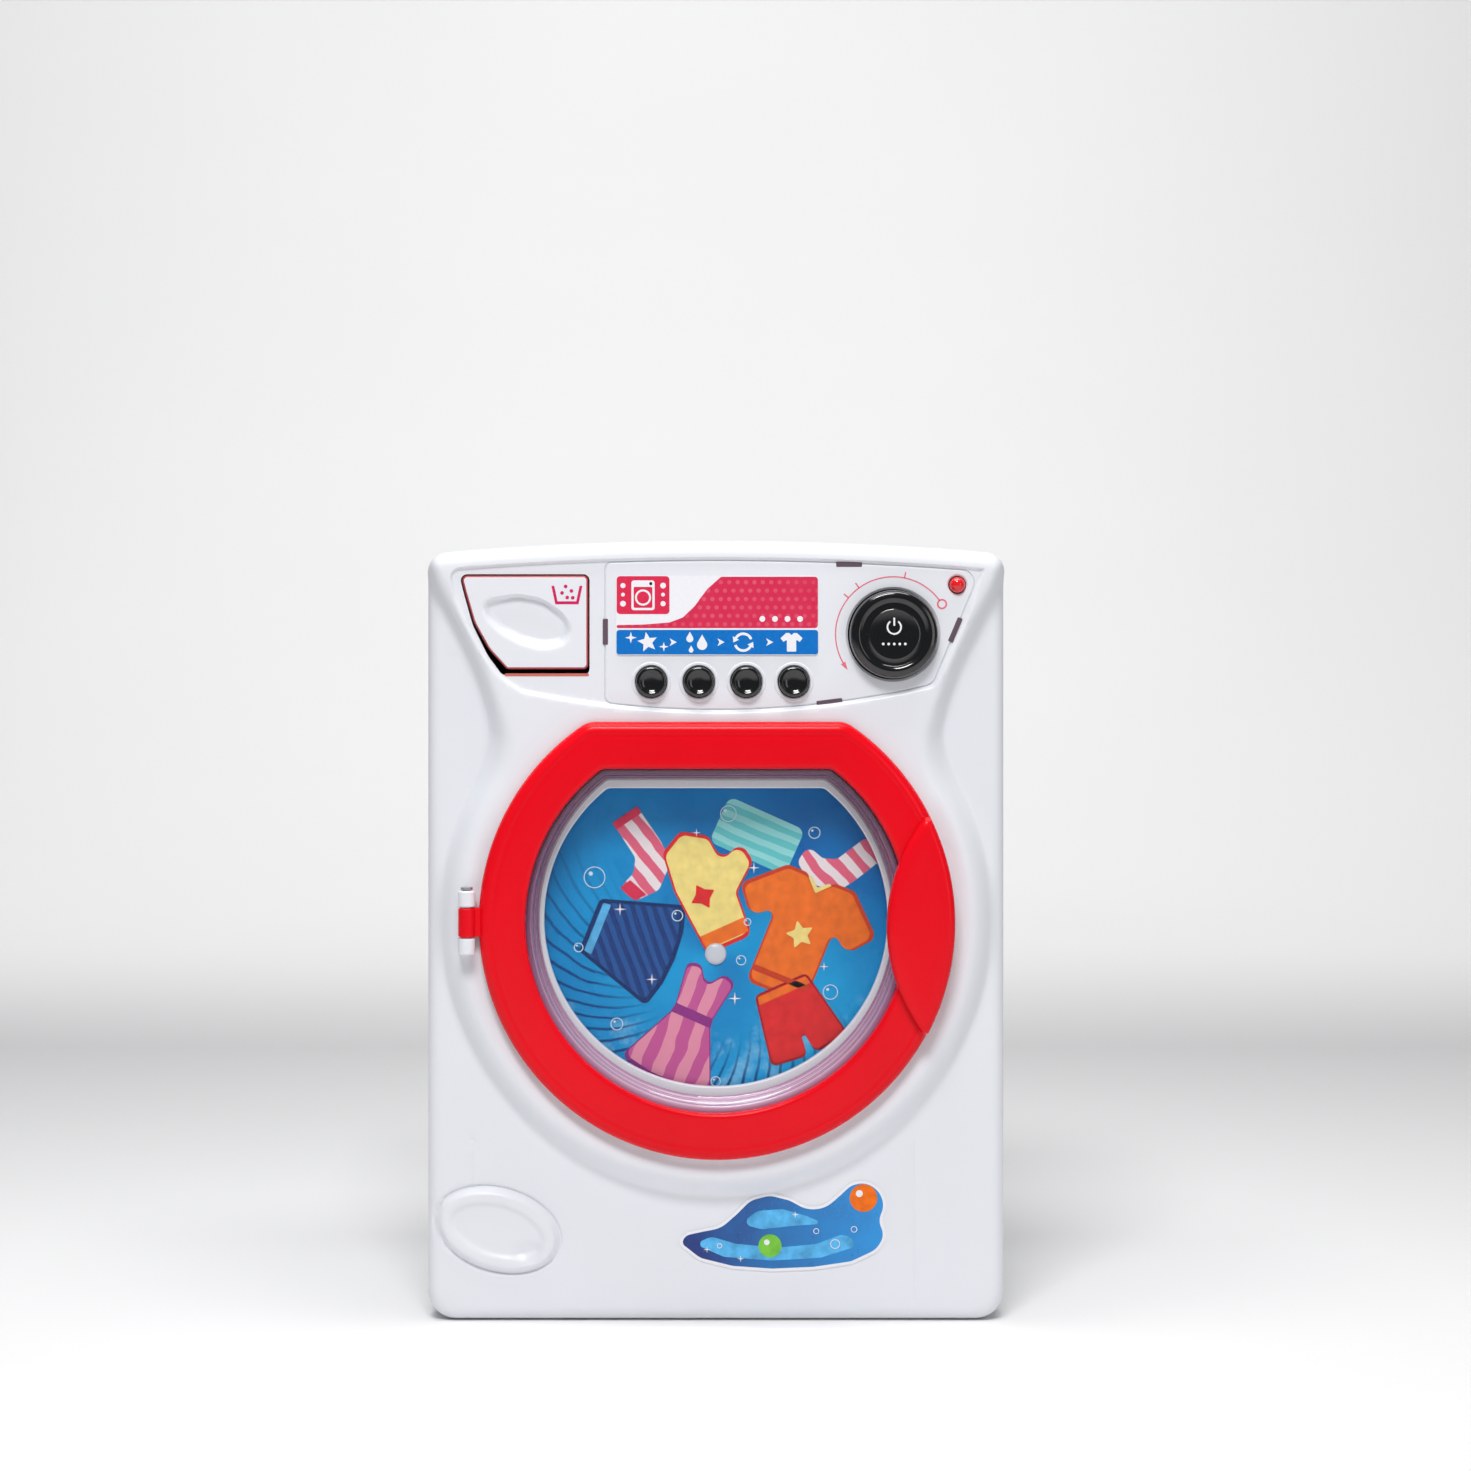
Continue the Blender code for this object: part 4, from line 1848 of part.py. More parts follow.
def drive():
    tub()
    tub_screws()
    gearbox_plate()
    gearbox_screws()
    idler_axle()
    motor()
    _, idler, motor_at = train_places()
    hang(pivot("drum_axis", (0, DRUM_Y, DRUM_Z)), drum(), drum_picture(), drum_cap(), drum_shaft(), drum_gear())
    hang(pivot("idler_axis", (idler.x, BIG_Y, idler.y)), idler_gear())
    hang(pivot("motor_axis", (motor_at.x, PLATE_Y, motor_at.y)), motor_pinion())


# Power and sound


def battery_cover():
    cover = slab("battery_cover", filleted(cover_corners()), BACK_Y - COVER_THICK, BACK_Y, WHITE,
                 COVER_THICK / 4, 1, rounded_back=True)
    z = cover_screw_z()
    through = rod("cover_hole", (0, BACK_Y - COVER_THICK - OVERRUN, z), (0, BACK_Y + OVERRUN, z),
                  SCREW_SHANK + FIT, steps=12)
    sink = rod("cover_sink", (0, BACK_Y - COVER_THICK / 2, z), (0, BACK_Y + OVERRUN, z), SCREW_HEAD + FIT, steps=18)
    return cut(cover, through, sink)


def battery_cover_screw():
    thick = COVER_THICK * 0.35
    head_y = BACK_Y - COVER_THICK / 2 + FIT + thick
    length = SCREW_LENGTH - 3 * OVERRUN
    screw("battery_cover_screw", 0, cover_screw_z(), head_y, -1, SCREW_HEAD, thick, SCREW_SHANK, length)


def battery_axis(number):
    z = BAY_LOW_Z + BATTERY_PITCH * (number - 0.5)
    return BAY_FLOOR_Y + FIT + BATTERY_RADIUS, z


def battery(number):
    """A round cell lying across the toy, its nub to alternate sides."""
    y, z = battery_axis(number)
    side = 1 if number % 2 else -1
    nub_end = side * (BAY_HALF_WIDTH - CONTACT_THICK - CONTACT_STUD - 2 * FIT)
    shoulder = nub_end - side * BATTERY_NUB
    base = shoulder - side * BATTERY_LENGTH
    cell = rod(f"battery_{number}", (base, y, z), (shoulder, y, z), BATTERY_RADIUS, CELL, steps=24)
    overlap = shoulder - side * BATTERY_NUB
    return join(cell, rod(f"battery_nub_{number}", (overlap, y, z), (nub_end, y, z), BATTERY_NUB_RADIUS, steps=14))


def contact_strip(name, side):
    """A metal strip at one end of the bay, with a spring or a stud for each cell."""
    outer = side * (BAY_HALF_WIDTH - FIT)
    inner = outer - side * CONTACT_THICK
    low = (min(outer, inner), BAY_FLOOR_Y + FIT, BAY_LOW_Z + FIT)
    high = (max(outer, inner), BAY_FLOOR_Y + FIT + 1.7 * BATTERY_RADIUS, BAY_TOP_Z - FIT)
    strip = block(name, low, high, STEEL)
    bumps = []
    for number in range(1, BATTERY_COUNT + 1):
        y, z = battery_axis(number)
        nub_side = 1 if number % 2 else -1
        reach = CONTACT_STUD if nub_side == side else contact_spring_reach()
        wide = CONTACT_TIP if nub_side == side else CONTACT_CONE
        start = (inner + side * CONTACT_THICK / 2, y, z)
        end = (inner - side * reach, y, z)
        bumps.append(rod(f"{name}_bump_{number}", start, end, wide, steps=12, end_radius=CONTACT_TIP))
    return join(strip, gathered(f"{name}_bumps", bumps))


def contact_spring_reach():
    """From the strip to the flat end of a cell whose nub is at the other strip."""
    free = 2 * (BAY_HALF_WIDTH - FIT - CONTACT_THICK)
    used = BATTERY_LENGTH + BATTERY_NUB + CONTACT_STUD + 2 * FIT
    return min(free - used, CONTACT_SPRING)


def speaker():
    """Basket and magnet; its open face looks to the back."""
    back = BACK_INSIDE_Y - FIT
    rim_y = back - SPEAKER_RIM_DEPTH
    front = back - SPEAKER_DEPTH
    magnet_y = front + SPEAKER_MAGNET_DEPTH
    inner = SPEAKER_RADIUS - SPEAKER_RIM
    profile = [
        (0, front),
        (SPEAKER_MAGNET, front),
        (SPEAKER_MAGNET, magnet_y),
        (inner, rim_y),
        (SPEAKER_RADIUS, rim_y),
        (SPEAKER_RADIUS, back),
        (inner, back),
        (inner, rim_y + SPEAKER_RIM),
        (SPEAKER_MAGNET - SPEAKER_RIM, magnet_y + SPEAKER_RIM / 2),
        (0, magnet_y + SPEAKER_RIM / 2),
    ]
    return turned("speaker", profile, 0, SPEAKER_Z, STEEL, steps=20)


def speaker_cone():
    back = BACK_INSIDE_Y - FIT
    magnet_y = back - SPEAKER_DEPTH + SPEAKER_MAGNET_DEPTH + SPEAKER_RIM / 2 + FIT
    rim_y = back - SPEAKER_RIM_DEPTH + SPEAKER_RIM + FIT
    inner = SPEAKER_RADIUS - SPEAKER_RIM - FIT
    hub = SPEAKER_MAGNET - SPEAKER_RIM - FIT
    profile = [
        (0, magnet_y),
        (hub, magnet_y),
        (inner, rim_y),
        (inner, rim_y + CONE_SKIN),
        (hub - CONE_SKIN, magnet_y + CONE_SKIN),
        (0, magnet_y + CONE_SKIN),
    ]
    return turned("speaker_cone", profile, 0, SPEAKER_Z, PAPER, steps=20)


def main_board():
    back = BACK_INSIDE_Y - MAIN_BOARD_STANDOFF - FIT
    front = back - BOARD_THICK
    board = block("main_board", (MAIN_BOARD_LEFT, front, MAIN_BOARD_LOW_Z),
                  (MAIN_BOARD_RIGHT, back, MAIN_BOARD_TOP_Z), BOARD)
    middle = (MAIN_BOARD_LOW_Z + MAIN_BOARD_TOP_Z) / 2
    chip = block("main_chip", (-CHIP_HALF, front - CHIP_THICK, middle - CHIP_HALF),
                 (CHIP_HALF, front + BOARD_THICK / 2, middle + CHIP_HALF))
    join(board, chip)
    holes = [
        rod(f"board_hole_{i}", (x, front - OVERRUN, z), (x, back + OVERRUN, z), SMALL_SHANK + FIT, steps=8)
        for i, (x, z) in enumerate(board_screw_places())
    ]
    return cut(board, gathered("board_holes", holes))


def main_board_screws():
    front = BACK_INSIDE_Y - MAIN_BOARD_STANDOFF - FIT - BOARD_THICK
    head_y = front - FIT - SMALL_HEAD_THICK
    for i, (x, z) in enumerate(board_screw_places(), 1):
        length = SMALL_LENGTH + BOARD_THICK - OVERRUN
        screw(f"board_screw_{i}", x, z, head_y, 1, SMALL_HEAD, SMALL_HEAD_THICK, SMALL_SHANK, length)


def power_and_sound():
    battery_cover()
    battery_cover_screw()
    for number in range(1, BATTERY_COUNT + 1):
        battery(number)
    contact_strip("battery_contact_left", -1)
    contact_strip("battery_contact_right", 1)
    speaker()
    speaker_cone()
    main_board()
    main_board_screws()


# Sticker


def sticker_outline():
    """A wave with two crests and a bubble above its right end, as shares of its box."""
    wide = STICKER_RIGHT - STICKER_LEFT
    high = STICKER_TOP_Z - STICKER_LOW_Z
    wave_shares = (
        (0.00, 0.30), (0.10, 0.12), (0.26, 0.03), (0.45, 0.00), (0.65, 0.02), (0.83, 0.08),
        (0.96, 0.22), (1.00, 0.40), (0.97, 0.55), (1.00, 0.72), (0.97, 0.90), (0.90, 1.00),
        (0.82, 0.97), (0.77, 0.86), (0.70, 0.72), (0.62, 0.70), (0.54, 0.80), (0.44, 0.86),
        (0.34, 0.80), (0.27, 0.64), (0.20, 0.50), (0.11, 0.46), (0.03, 0.42),
    )
    return [(STICKER_LEFT + wide * a, STICKER_LOW_Z + high * b) for a, b in wave_shares]


def front_sticker():
    back = FACE_Y - LABEL_GAP
    return slab("front_sticker", sticker_outline(), back - LABEL_THICK, back, PRINT)


front_shell()
rear_shell()
case_screws()
door()
controls()
detergent_drawer()
drive()
power_and_sound()
front_sticker()
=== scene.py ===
"""Looks of the toy washing machine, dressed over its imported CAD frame. Lengths are in metres."""

import json
import math

import bmesh
import bpy
import numpy as np
from mathutils import Matrix, Vector, kdtree
from mathutils.geometry import delaunay_2d_cdt

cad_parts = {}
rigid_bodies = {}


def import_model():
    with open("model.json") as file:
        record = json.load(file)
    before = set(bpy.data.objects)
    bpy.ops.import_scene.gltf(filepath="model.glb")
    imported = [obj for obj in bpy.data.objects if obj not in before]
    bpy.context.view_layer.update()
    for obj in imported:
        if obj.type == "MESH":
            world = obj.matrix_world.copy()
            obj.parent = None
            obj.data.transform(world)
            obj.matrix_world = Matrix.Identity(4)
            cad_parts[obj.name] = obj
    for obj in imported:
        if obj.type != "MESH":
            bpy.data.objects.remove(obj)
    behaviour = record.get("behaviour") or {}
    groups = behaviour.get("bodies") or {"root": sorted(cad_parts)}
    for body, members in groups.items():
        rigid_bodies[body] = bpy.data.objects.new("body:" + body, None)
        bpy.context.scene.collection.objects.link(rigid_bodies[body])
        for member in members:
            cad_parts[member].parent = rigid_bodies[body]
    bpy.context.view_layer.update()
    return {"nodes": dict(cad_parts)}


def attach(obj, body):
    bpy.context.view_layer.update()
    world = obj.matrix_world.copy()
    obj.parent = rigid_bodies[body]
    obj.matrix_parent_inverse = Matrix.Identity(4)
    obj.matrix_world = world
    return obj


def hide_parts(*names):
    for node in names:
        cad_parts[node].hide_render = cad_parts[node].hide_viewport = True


for leftover in list(bpy.data.objects):
    bpy.data.objects.remove(leftover)
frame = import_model()
MM = 0.001

# Sizes of the CAD source, front faces -Y
WIDTH, HEIGHT, CROWN, WALL, FIT = 0.180, 0.243, 0.004, 0.0024, 0.0003
BOTTOM_CORNER, TOP_CORNER, FRONT_EDGE, BACK_EDGE = 0.009, 0.0070, 0.0045, 0.006
BACK_Y, SEAM_Y, FACE_Y, HOOD_Y = 0.065, 0.010, -0.050, -0.057
HOOD_RISE = FACE_Y - HOOD_Y
CONTROL_Y = HOOD_Y + 0.0010
HOOD_INSIDE_Y = CONTROL_Y + WALL
LIP_Y = HOOD_Y + 0.0090
LIP_BACK_Y = LIP_Y + WALL
PANEL_Y = CONTROL_Y - 0.0002
DOOR_Z, DOOR_RADIUS, DOOR_CHORD, DOOR_CORNER = 0.1252, 0.0735, 0.0618, 0.0080
DOOR_BACK_Y = HOOD_Y - FIT
DOOR_Y = DOOR_BACK_Y - 0.0037
DOOR_BAND = 0.0145
SURROUND_RADIUS = 0.0860
RECESS_INSET, OPENING_INSET = 0.0075, 0.0206
DRUM_Z, DRUM_RADIUS = 0.1138, 0.0640
DRUM_AT, PICTURE_Y = (0.0, DRUM_Z), -0.0433
TOP_LIP = 0.0063
SMILE_LOW_Z, SMILE_RADIUS = 0.1909, 0.286


# Outlines: arrays of (x, z), anticlockwise as seen from the front


def crown_z(x, drop=0):
    return HEIGHT - drop - CROWN * (x / (WIDTH / 2)) ** 2


def smile_z(x):
    return SMILE_LOW_Z + x**2 / (2 * SMILE_RADIUS)


def grown(corners, reach):
    """Corners (x, z, fillet radius) moved outward by reach."""
    made = []
    count = len(corners)
    for i, (x, z, radius) in enumerate(corners):
        before, after = corners[i - 1], corners[(i + 1) % count]
        first = Vector((x - before[0], z - before[1])).normalized()
        second = Vector((after[0] - x, after[1] - z)).normalized()
        normal = Vector((first.y + second.y, -first.x - second.x)).normalized()
        run = reach / max(normal.dot(Vector((first.y, -first.x))), 0.2)
        turns_out = first.x * second.y - first.y * second.x > 0
        kept = radius + reach if turns_out else radius - reach
        kept = max(kept, radius / 4) if radius else 0
        made.append((x + normal.x * run, z + normal.y * run, kept))
    return made


def filleted(corners, steps=12):
    made = []
    count = len(corners)
    for i, (x, z, radius) in enumerate(corners):
        here = Vector((x, z))
        back = Vector(corners[i - 1][:2]) - here
        ahead = Vector(corners[(i + 1) % count][:2]) - here
        half = back.angle(ahead) / 2
        if not radius or math.pi / 2 - half < 0.01:
            made.append((x, z))
            continue
        room = [
            way.length * (0.48 if neighbour[2] else 0.97)
            for way, neighbour in ((back, corners[i - 1]), (ahead, corners[(i + 1) % count]))
        ]
        run = min(radius / math.tan(half), *room)
        radius = run * math.tan(half)
        middle = here + (back.normalized() + ahead.normalized()).normalized() * radius / math.sin(half)
        start = here + back.normalized() * run - middle
        sweep = start.angle_signed(here + ahead.normalized() * run - middle)
        made += [tuple(middle + Matrix.Rotation(-sweep * k / steps, 2) @ start) for k in range(steps + 1)]
    return np.array(made)


def casing_corners():
    half = WIDTH / 2
    shares = [1 - k / 12 for k in range(1, 24)]
    return [
        (-half, 0, BOTTOM_CORNER),
        (half, 0, BOTTOM_CORNER),
        (half, crown_z(half), TOP_CORNER),
        *((half * s, crown_z(half * s), 0) for s in shares if abs(s) < 0.9),
        (-half, crown_z(half), TOP_CORNER),
    ]


def split_counts(outline, spacing):
    steps = np.linalg.norm(np.roll(outline, -1, 0) - outline, axis=1)
    return [max(1, round(step / spacing)) for step in steps]


def split(outline, counts):
    """Each side of the closed outline in that many parts, so that like outlines keep like counts."""
    made = []
    for here, there, count in zip(outline, np.roll(outline, -1, 0), counts):
        made += [here + (there - here) * k / count for k in range(count)]
    return np.array(made)


def even(outline, spacing):
    return split(outline, split_counts(outline, spacing))


CASING_COUNTS = split_counts(filleted(casing_corners()), 1.4 * MM)


def casing(inset=0):
    return split(filleted(grown(casing_corners(), -inset)), CASING_COUNTS)


def d_outline(inset):
    """The door's D drawn in by inset: a circle with a flat top and rounded corners."""
    steps, corner_steps, chord_steps = 300, 14, 60
    radius, chord = DOOR_RADIUS - inset, DOOR_CHORD - inset
    corner = max(DOOR_CORNER - inset, 0.003)
    corner_x = math.sqrt((radius - corner) ** 2 - (chord - corner) ** 2)
    tilt = math.atan2(chord - corner, corner_x)
    made = []
    for k in range(steps + 1):
        angle = math.pi - tilt + (math.pi + 2 * tilt) * k / steps
        made.append((radius * math.cos(angle), DOOR_Z + radius * math.sin(angle)))
    corner_z = DOOR_Z + chord - corner
    for k in range(1, corner_steps + 1):
        angle = tilt + (math.pi / 2 - tilt) * k / corner_steps
        made.append((corner_x + corner * math.cos(angle), corner_z + corner * math.sin(angle)))
    made += [(corner_x - 2 * corner_x * k / chord_steps, DOOR_Z + chord) for k in range(1, chord_steps)]
    for k in range(corner_steps):
        angle = math.pi / 2 + (math.pi / 2 - tilt) * k / corner_steps
        made.append((-corner_x + corner * math.cos(angle), corner_z + corner * math.sin(angle)))
    return np.array(made)


def polar(x, z, radius, angles):
    return np.stack([x + radius * np.cos(angles), z + radius * np.sin(angles)], 1)


def polar_point(x, z, radius, degrees):
    return tuple(polar(x, z, radius, np.radians([degrees]))[0])


def circle(x, z, radius, steps=48):
    return polar(x, z, radius, np.arange(steps) * math.tau / steps)


def smile_between(left, right):
    xs = [left + (right - left) * k / 16 for k in range(1, 16)]
    return [(x, smile_z(x), 0) for x in xs]


def crown_between(right, left, drop):
    xs = [right + (left - right) * k / 10 for k in range(1, 10)]
    return [(x, crown_z(x, drop), 0) for x in xs]


PANEL_LEFT, PANEL_RIGHT_LOW, PANEL_RIGHT_TOP = -0.0344, 0.0668, 0.0815


def panel_outline(growth=0):
    corner = 0.0020
    corners = [
        (PANEL_LEFT, smile_z(PANEL_LEFT), corner),
        *smile_between(PANEL_LEFT, PANEL_RIGHT_LOW),
        (PANEL_RIGHT_LOW, smile_z(PANEL_RIGHT_LOW), 2 * corner),
        (PANEL_RIGHT_TOP, crown_z(PANEL_RIGHT_TOP, TOP_LIP), 2 * corner),
        *crown_between(PANEL_RIGHT_TOP, PANEL_LEFT, TOP_LIP),
        (PANEL_LEFT, crown_z(PANEL_LEFT, TOP_LIP), corner),
    ]
    return filleted(grown(corners, growth), 8)


FLAP_LEFT, FLAP_RIGHT, FLAP_TOP_Z, FLAP_LOW_Z, FLAP_LOW_LEFT = -0.0792, -0.0397, 0.2322, 0.2032, -0.0649
FLAP_GAP, FLAP_LOW_GAP, FLAP_SWING_DROP, FLAP_SWING_SIDE = 0.0004, 0.0018, 0.0017, 0.0013


def flap_corners():
    wide, high, corner = FLAP_LOW_LEFT - FLAP_LEFT, FLAP_TOP_Z - FLAP_LOW_Z, 0.0016
    return [
        (FLAP_LOW_LEFT, FLAP_LOW_Z, corner),
        (FLAP_RIGHT, FLAP_LOW_Z, corner),
        (FLAP_RIGHT, FLAP_TOP_Z, corner),
        (FLAP_LEFT, FLAP_TOP_Z, corner),
        *((FLAP_LOW_LEFT - wide * out, FLAP_LOW_Z + high * up, 0.012)
          for out, up in ((0.90, 0.81), (0.71, 0.49), (0.39, 0.21))),
    ]


def flap_outline(growth=0):
    return filleted(grown(flap_corners(), growth), 8)


def flap_opening():
    """The flap's outline with its gap, wider below and at the slanted edge, which sink as it tilts."""
    (left, _, left_radius), (right, _, right_radius), *others = grown(flap_corners(), FLAP_GAP)
    low = FLAP_LOW_Z - FLAP_LOW_GAP
    sinks = (0, 0, 0.15, 0.35, 1)
    lowered = [(x, z - FLAP_SWING_DROP * share, r) for (x, z, r), share in zip(others, sinks)]
    return filleted([(left - FLAP_SWING_SIDE, low, left_radius), (right, low, right_radius), *lowered], 8)


def zone_outline(growth=0):
    edge = TOP_LIP - 0.0008
    right_low, left_low, top = 0.0672, -0.0600, 0.0826
    side = ((0.0820, 0.2330), (0.0768, 0.2180), (0.0720, 0.2070))
    left = ((-0.0812, 0.2260), (-0.0775, 0.2174), (-0.0722, 0.2080), (-0.0672, 0.2010))
    corners = [
        (left_low, smile_z(left_low) - 0.0008, 0.006),
        *((x, z - 0.0008, 0) for x, z, _ in smile_between(left_low, right_low)),
        (right_low, smile_z(right_low) - 0.0008, 0.004),
        *((x, z, 0.02) for x, z in reversed(side)),
        (top, crown_z(top, edge), 0.003),
        *crown_between(top, -top, edge),
        (-top, crown_z(top, edge), 0.003),
        *((x, z, 0.02) for x, z in left),
    ]
    return filleted(grown(corners, growth), 6)


def bezier(points, share):
    a, b, c, d = (Vector(p) for p in points)
    rest = 1 - share
    return a * rest**3 + b * 3 * rest**2 * share + c * 3 * rest * share**2 + d * share**3


def hood_side(count=60):
    curve = ((WIDTH / 2, 0.2315), (0.0840, 0.2190), (0.0688, 0.1960), (0.0702, 0.1780))
    return [tuple(bezier(curve, k / count)) for k in range(count + 1)]


def hood_polygon():
    """The hood's plan, run on past the casing's top and down inside the surround."""
    side = hood_side()
    right = [(0.0702, 0.150), *reversed(side), (0.112, 0.262)]
    return np.array([*right, *((-x, z) for x, z in reversed(right))])


# Distances


def inside(points, outline):
    x, z = points[:, 0], points[:, 1]
    found = np.zeros(len(points), bool)
    for (x1, z1), (x2, z2) in zip(outline, np.roll(outline, -1, 0)):
        if z1 != z2:
            crosses = (z1 > z) != (z2 > z)
            found ^= crosses & (x < (x2 - x1) * (z - z1) / (z2 - z1) + x1)
    return found


def distance(points, outline):
    """Distance to the closed outline, positive inside it."""
    best = np.full(len(points), 1e9)
    for here, there in zip(outline, np.roll(outline, -1, 0)):
        way = there - here
        share = np.clip(((points - here) @ way) / max(way @ way, 1e-18), 0, 1)
        best = np.minimum(best, np.linalg.norm(points - here - share[:, None] * way, axis=1))
    return np.where(inside(points, outline), best, -best)


def smooth_step(value, low, high):
    share = np.clip((value - low) / (high - low), 0, 1)
    return share * share * (3 - 2 * share)


HOOD_POLYGON = hood_polygon()
FILTER_AT, FILTER_HALF, FILTER_TILT = (-0.0680, 0.0285), (0.0195, 0.0125), math.radians(-16)
FILTER_RISE, FILTER_DISH, FILTER_GROOVE = 0.0018, 0.0011, 0.0008
NOTCH_AT, NOTCH_SIZE, NOTCH_DEPTH = (-0.0585, 0.0215), (0.0060, 0.0040), 0.0009
DIMPLE_AT, DIMPLE_DEPTH = (-0.0758, 0.0567), 0.0004
SEAM_X, SEAM_DEPTH, RIB_X, RIB_HEIGHT = 0.0621, 0.00022, -0.0752, 0.00018
HOLLOW_DEPTH, ZONE_DEPTH = 0.0011, 0.0010


def keyhole(points):
    """Distance inside the raised form, with the hood and the surround blended where they meet."""
    hood = distance(points, HOOD_POLYGON)
    ring = SURROUND_RADIUS - np.hypot(points[:, 0], points[:, 1] - DOOR_Z)
    reach = 0.006
    blend = np.maximum(reach - np.abs(hood - ring), 0) / reach
    return np.maximum(hood, ring) + blend * blend * reach / 4


def filter_outline(inset=0, steps=96):
    angles = np.arange(steps) * math.tau / steps
    wide, high = FILTER_HALF
    flat = np.stack([(wide - inset) * np.cos(angles), (high - inset) * np.sin(angles)], 1)
    c, s = math.cos(FILTER_TILT), math.sin(FILTER_TILT)
    return flat @ np.array([[c, s], [-s, c]]) + np.array(FILTER_AT)


def ramp_width(z):
    return 0.0058 + 0.0044 * (1 - smooth_step(z, 0.168, 0.198))


def raised(points):
    t = keyhole(points)
    soft = 0.0006
    t = soft * np.logaddexp(0, t / soft)
    share = np.clip(t / ramp_width(points[:, 1]), 0, 1)
    return HOOD_RISE * (1 - (1 - share) ** 2.3)


def front_height(points, edge=None):
    """Height above the plain face: edge is the known distance in from the casing's outline."""
    high = raised(points)
    ring = np.hypot(points[:, 0], points[:, 1] - DOOR_Z)
    beside_door = (1 - smooth_step(ring, 0.0735, 0.0805)) * smooth_step(ring, 0.0690, 0.0715)
    high -= HOLLOW_DEPTH * beside_door * (1 - smooth_step(distance(points, HOOD_POLYGON), -0.004, 0.006))
    step = 0.0004 + 0.0005 * (1 - smooth_step(points[:, 1], 0.222, 0.230))
    high -= ZONE_DEPTH * smooth_step(distance(points, ZONE), -step, step)
    cover = distance(points, filter_outline())
    high += FILTER_RISE * smooth_step(cover, 0, 0.0018) - FILTER_DISH * smooth_step(cover, 0.0036, 0.0060)
    high -= FILTER_GROOVE * np.exp(-(((cover + 0.0005) / 0.0005) ** 2))
    x, z = points[:, 0], points[:, 1]
    notch = np.hypot((x - NOTCH_AT[0]) / NOTCH_SIZE[0], (z - NOTCH_AT[1]) / NOTCH_SIZE[1])
    high -= NOTCH_DEPTH * (1 - smooth_step(notch, 0.35, 1.1))
    dimple = np.hypot(x - DIMPLE_AT[0], z - DIMPLE_AT[1])
    high -= DIMPLE_DEPTH * (1 - smooth_step(dimple, 0.2 * MM, 1.1 * MM))
    low = 1 - smooth_step(z, 0.052, 0.060)
    high -= SEAM_DEPTH * np.exp(-(((x - SEAM_X) / 0.0004) ** 2)) * low
    rib = smooth_step(z, 0.041, 0.043) * (1 - smooth_step(z, 0.052, 0.054))
    high += RIB_HEIGHT * np.exp(-(((x - RIB_X) / 0.0004) ** 2)) * rib
    if edge is not None:
        high -= FRONT_EDGE - math.sqrt(max(FRONT_EDGE**2 - (FRONT_EDGE - min(edge, FRONT_EDGE)) ** 2, 0))
    return high


ZONE = zone_outline()


# Mesh building

MERGE, SHARP_ANGLE = 2e-6, math.radians(35)


def flat_at(y):
    return lambda points: np.full(len(points), y)


class Solid:
    """Collects surfaces between loops; loops shared by two surfaces are merged at the end."""

    def __init__(self):
        self.bm = bmesh.new()

    def verts(self, points, y):
        ys = np.broadcast_to(y, (len(points),))
        return [self.bm.verts.new((x, level, z)) for (x, z), level in zip(points, ys)]

    def wall(self, near, near_y, far, far_y):
        first, second = self.verts(near, near_y), self.verts(far, far_y)
        for i in range(len(first)):
            j = (i + 1) % len(first)
            self.bm.faces.new((first[i], first[j], second[j], second[i]))

    def chain(self, *loops):
        for (near, near_y), (far, far_y) in zip(loops, loops[1:]):
            self.wall(near, near_y, far, far_y)

    def cap(self, points, y):
        self.bm.faces.new(self.verts(points, y))

    def slab(self, *loops):
        """Like loops skinned in turn, with flat ends."""
        self.chain(*loops)
        self.cap(*loops[0])
        self.cap(*loops[-1])

    def fill(self, outer, holes, level, lines=(), loose=()):
        """Triangles between an outline and its holes, through the lines and loose points given."""
        loops = [outer, *holes, *lines]
        points, edges = [], []
        for loop in loops:
            start = len(points)
            points += [tuple(p) for p in loop]
            edges += [(start + k, start + (k + 1) % len(loop)) for k in range(len(loop))]
        points += [tuple(p) for p in loose]
        found, _, faces, _, _, _ = delaunay_2d_cdt([Vector(p) for p in points], edges, [], 0, 1e-9)
        flat = np.array([tuple(p) for p in found])
        ys = level(flat)
        triangles = np.array([f for f in faces if len(f) == 3])
        middles = flat[triangles].mean(1)
        across, along = (flat[triangles[:, k]] - flat[triangles[:, 0]] for k in (1, 2))
        keep = np.abs(across[:, 0] * along[:, 1] - across[:, 1] * along[:, 0]) > 1e-10
        keep &= inside(middles, outer)
        for hole in holes:
            keep &= ~inside(middles, hole)
        made = {}
        for a, b, c in triangles[keep]:
            corner = []
            for i in (a, b, c):
                if i not in made:
                    made[i] = self.bm.verts.new((flat[i][0], ys[i], flat[i][1]))
                corner.append(made[i])
            self.bm.faces.new(corner)

    def finish(self, name, look, body, replaces, slot):
        """Makes the object, puts it on its body and hides the CAD nodes it replaces."""
        bmesh.ops.remove_doubles(self.bm, verts=self.bm.verts, dist=MERGE)
        bmesh.ops.recalc_face_normals(self.bm, faces=self.bm.faces)
        mesh = bpy.data.meshes.new(name)
        self.bm.to_mesh(mesh)
        self.bm.free()
        mesh.shade_smooth()
        mesh.set_sharp_from_angle(angle=SHARP_ANGLE)
        mesh.materials.append(look)
        obj = bpy.data.objects.new(name, mesh)
        bpy.context.scene.collection.objects.link(obj)
        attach(obj, body)
        if replaces:
            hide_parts(*replaces)
        return obj


# Materials

PRINT_SPECULAR, FILM_WAVE = 0.15, 0.00002


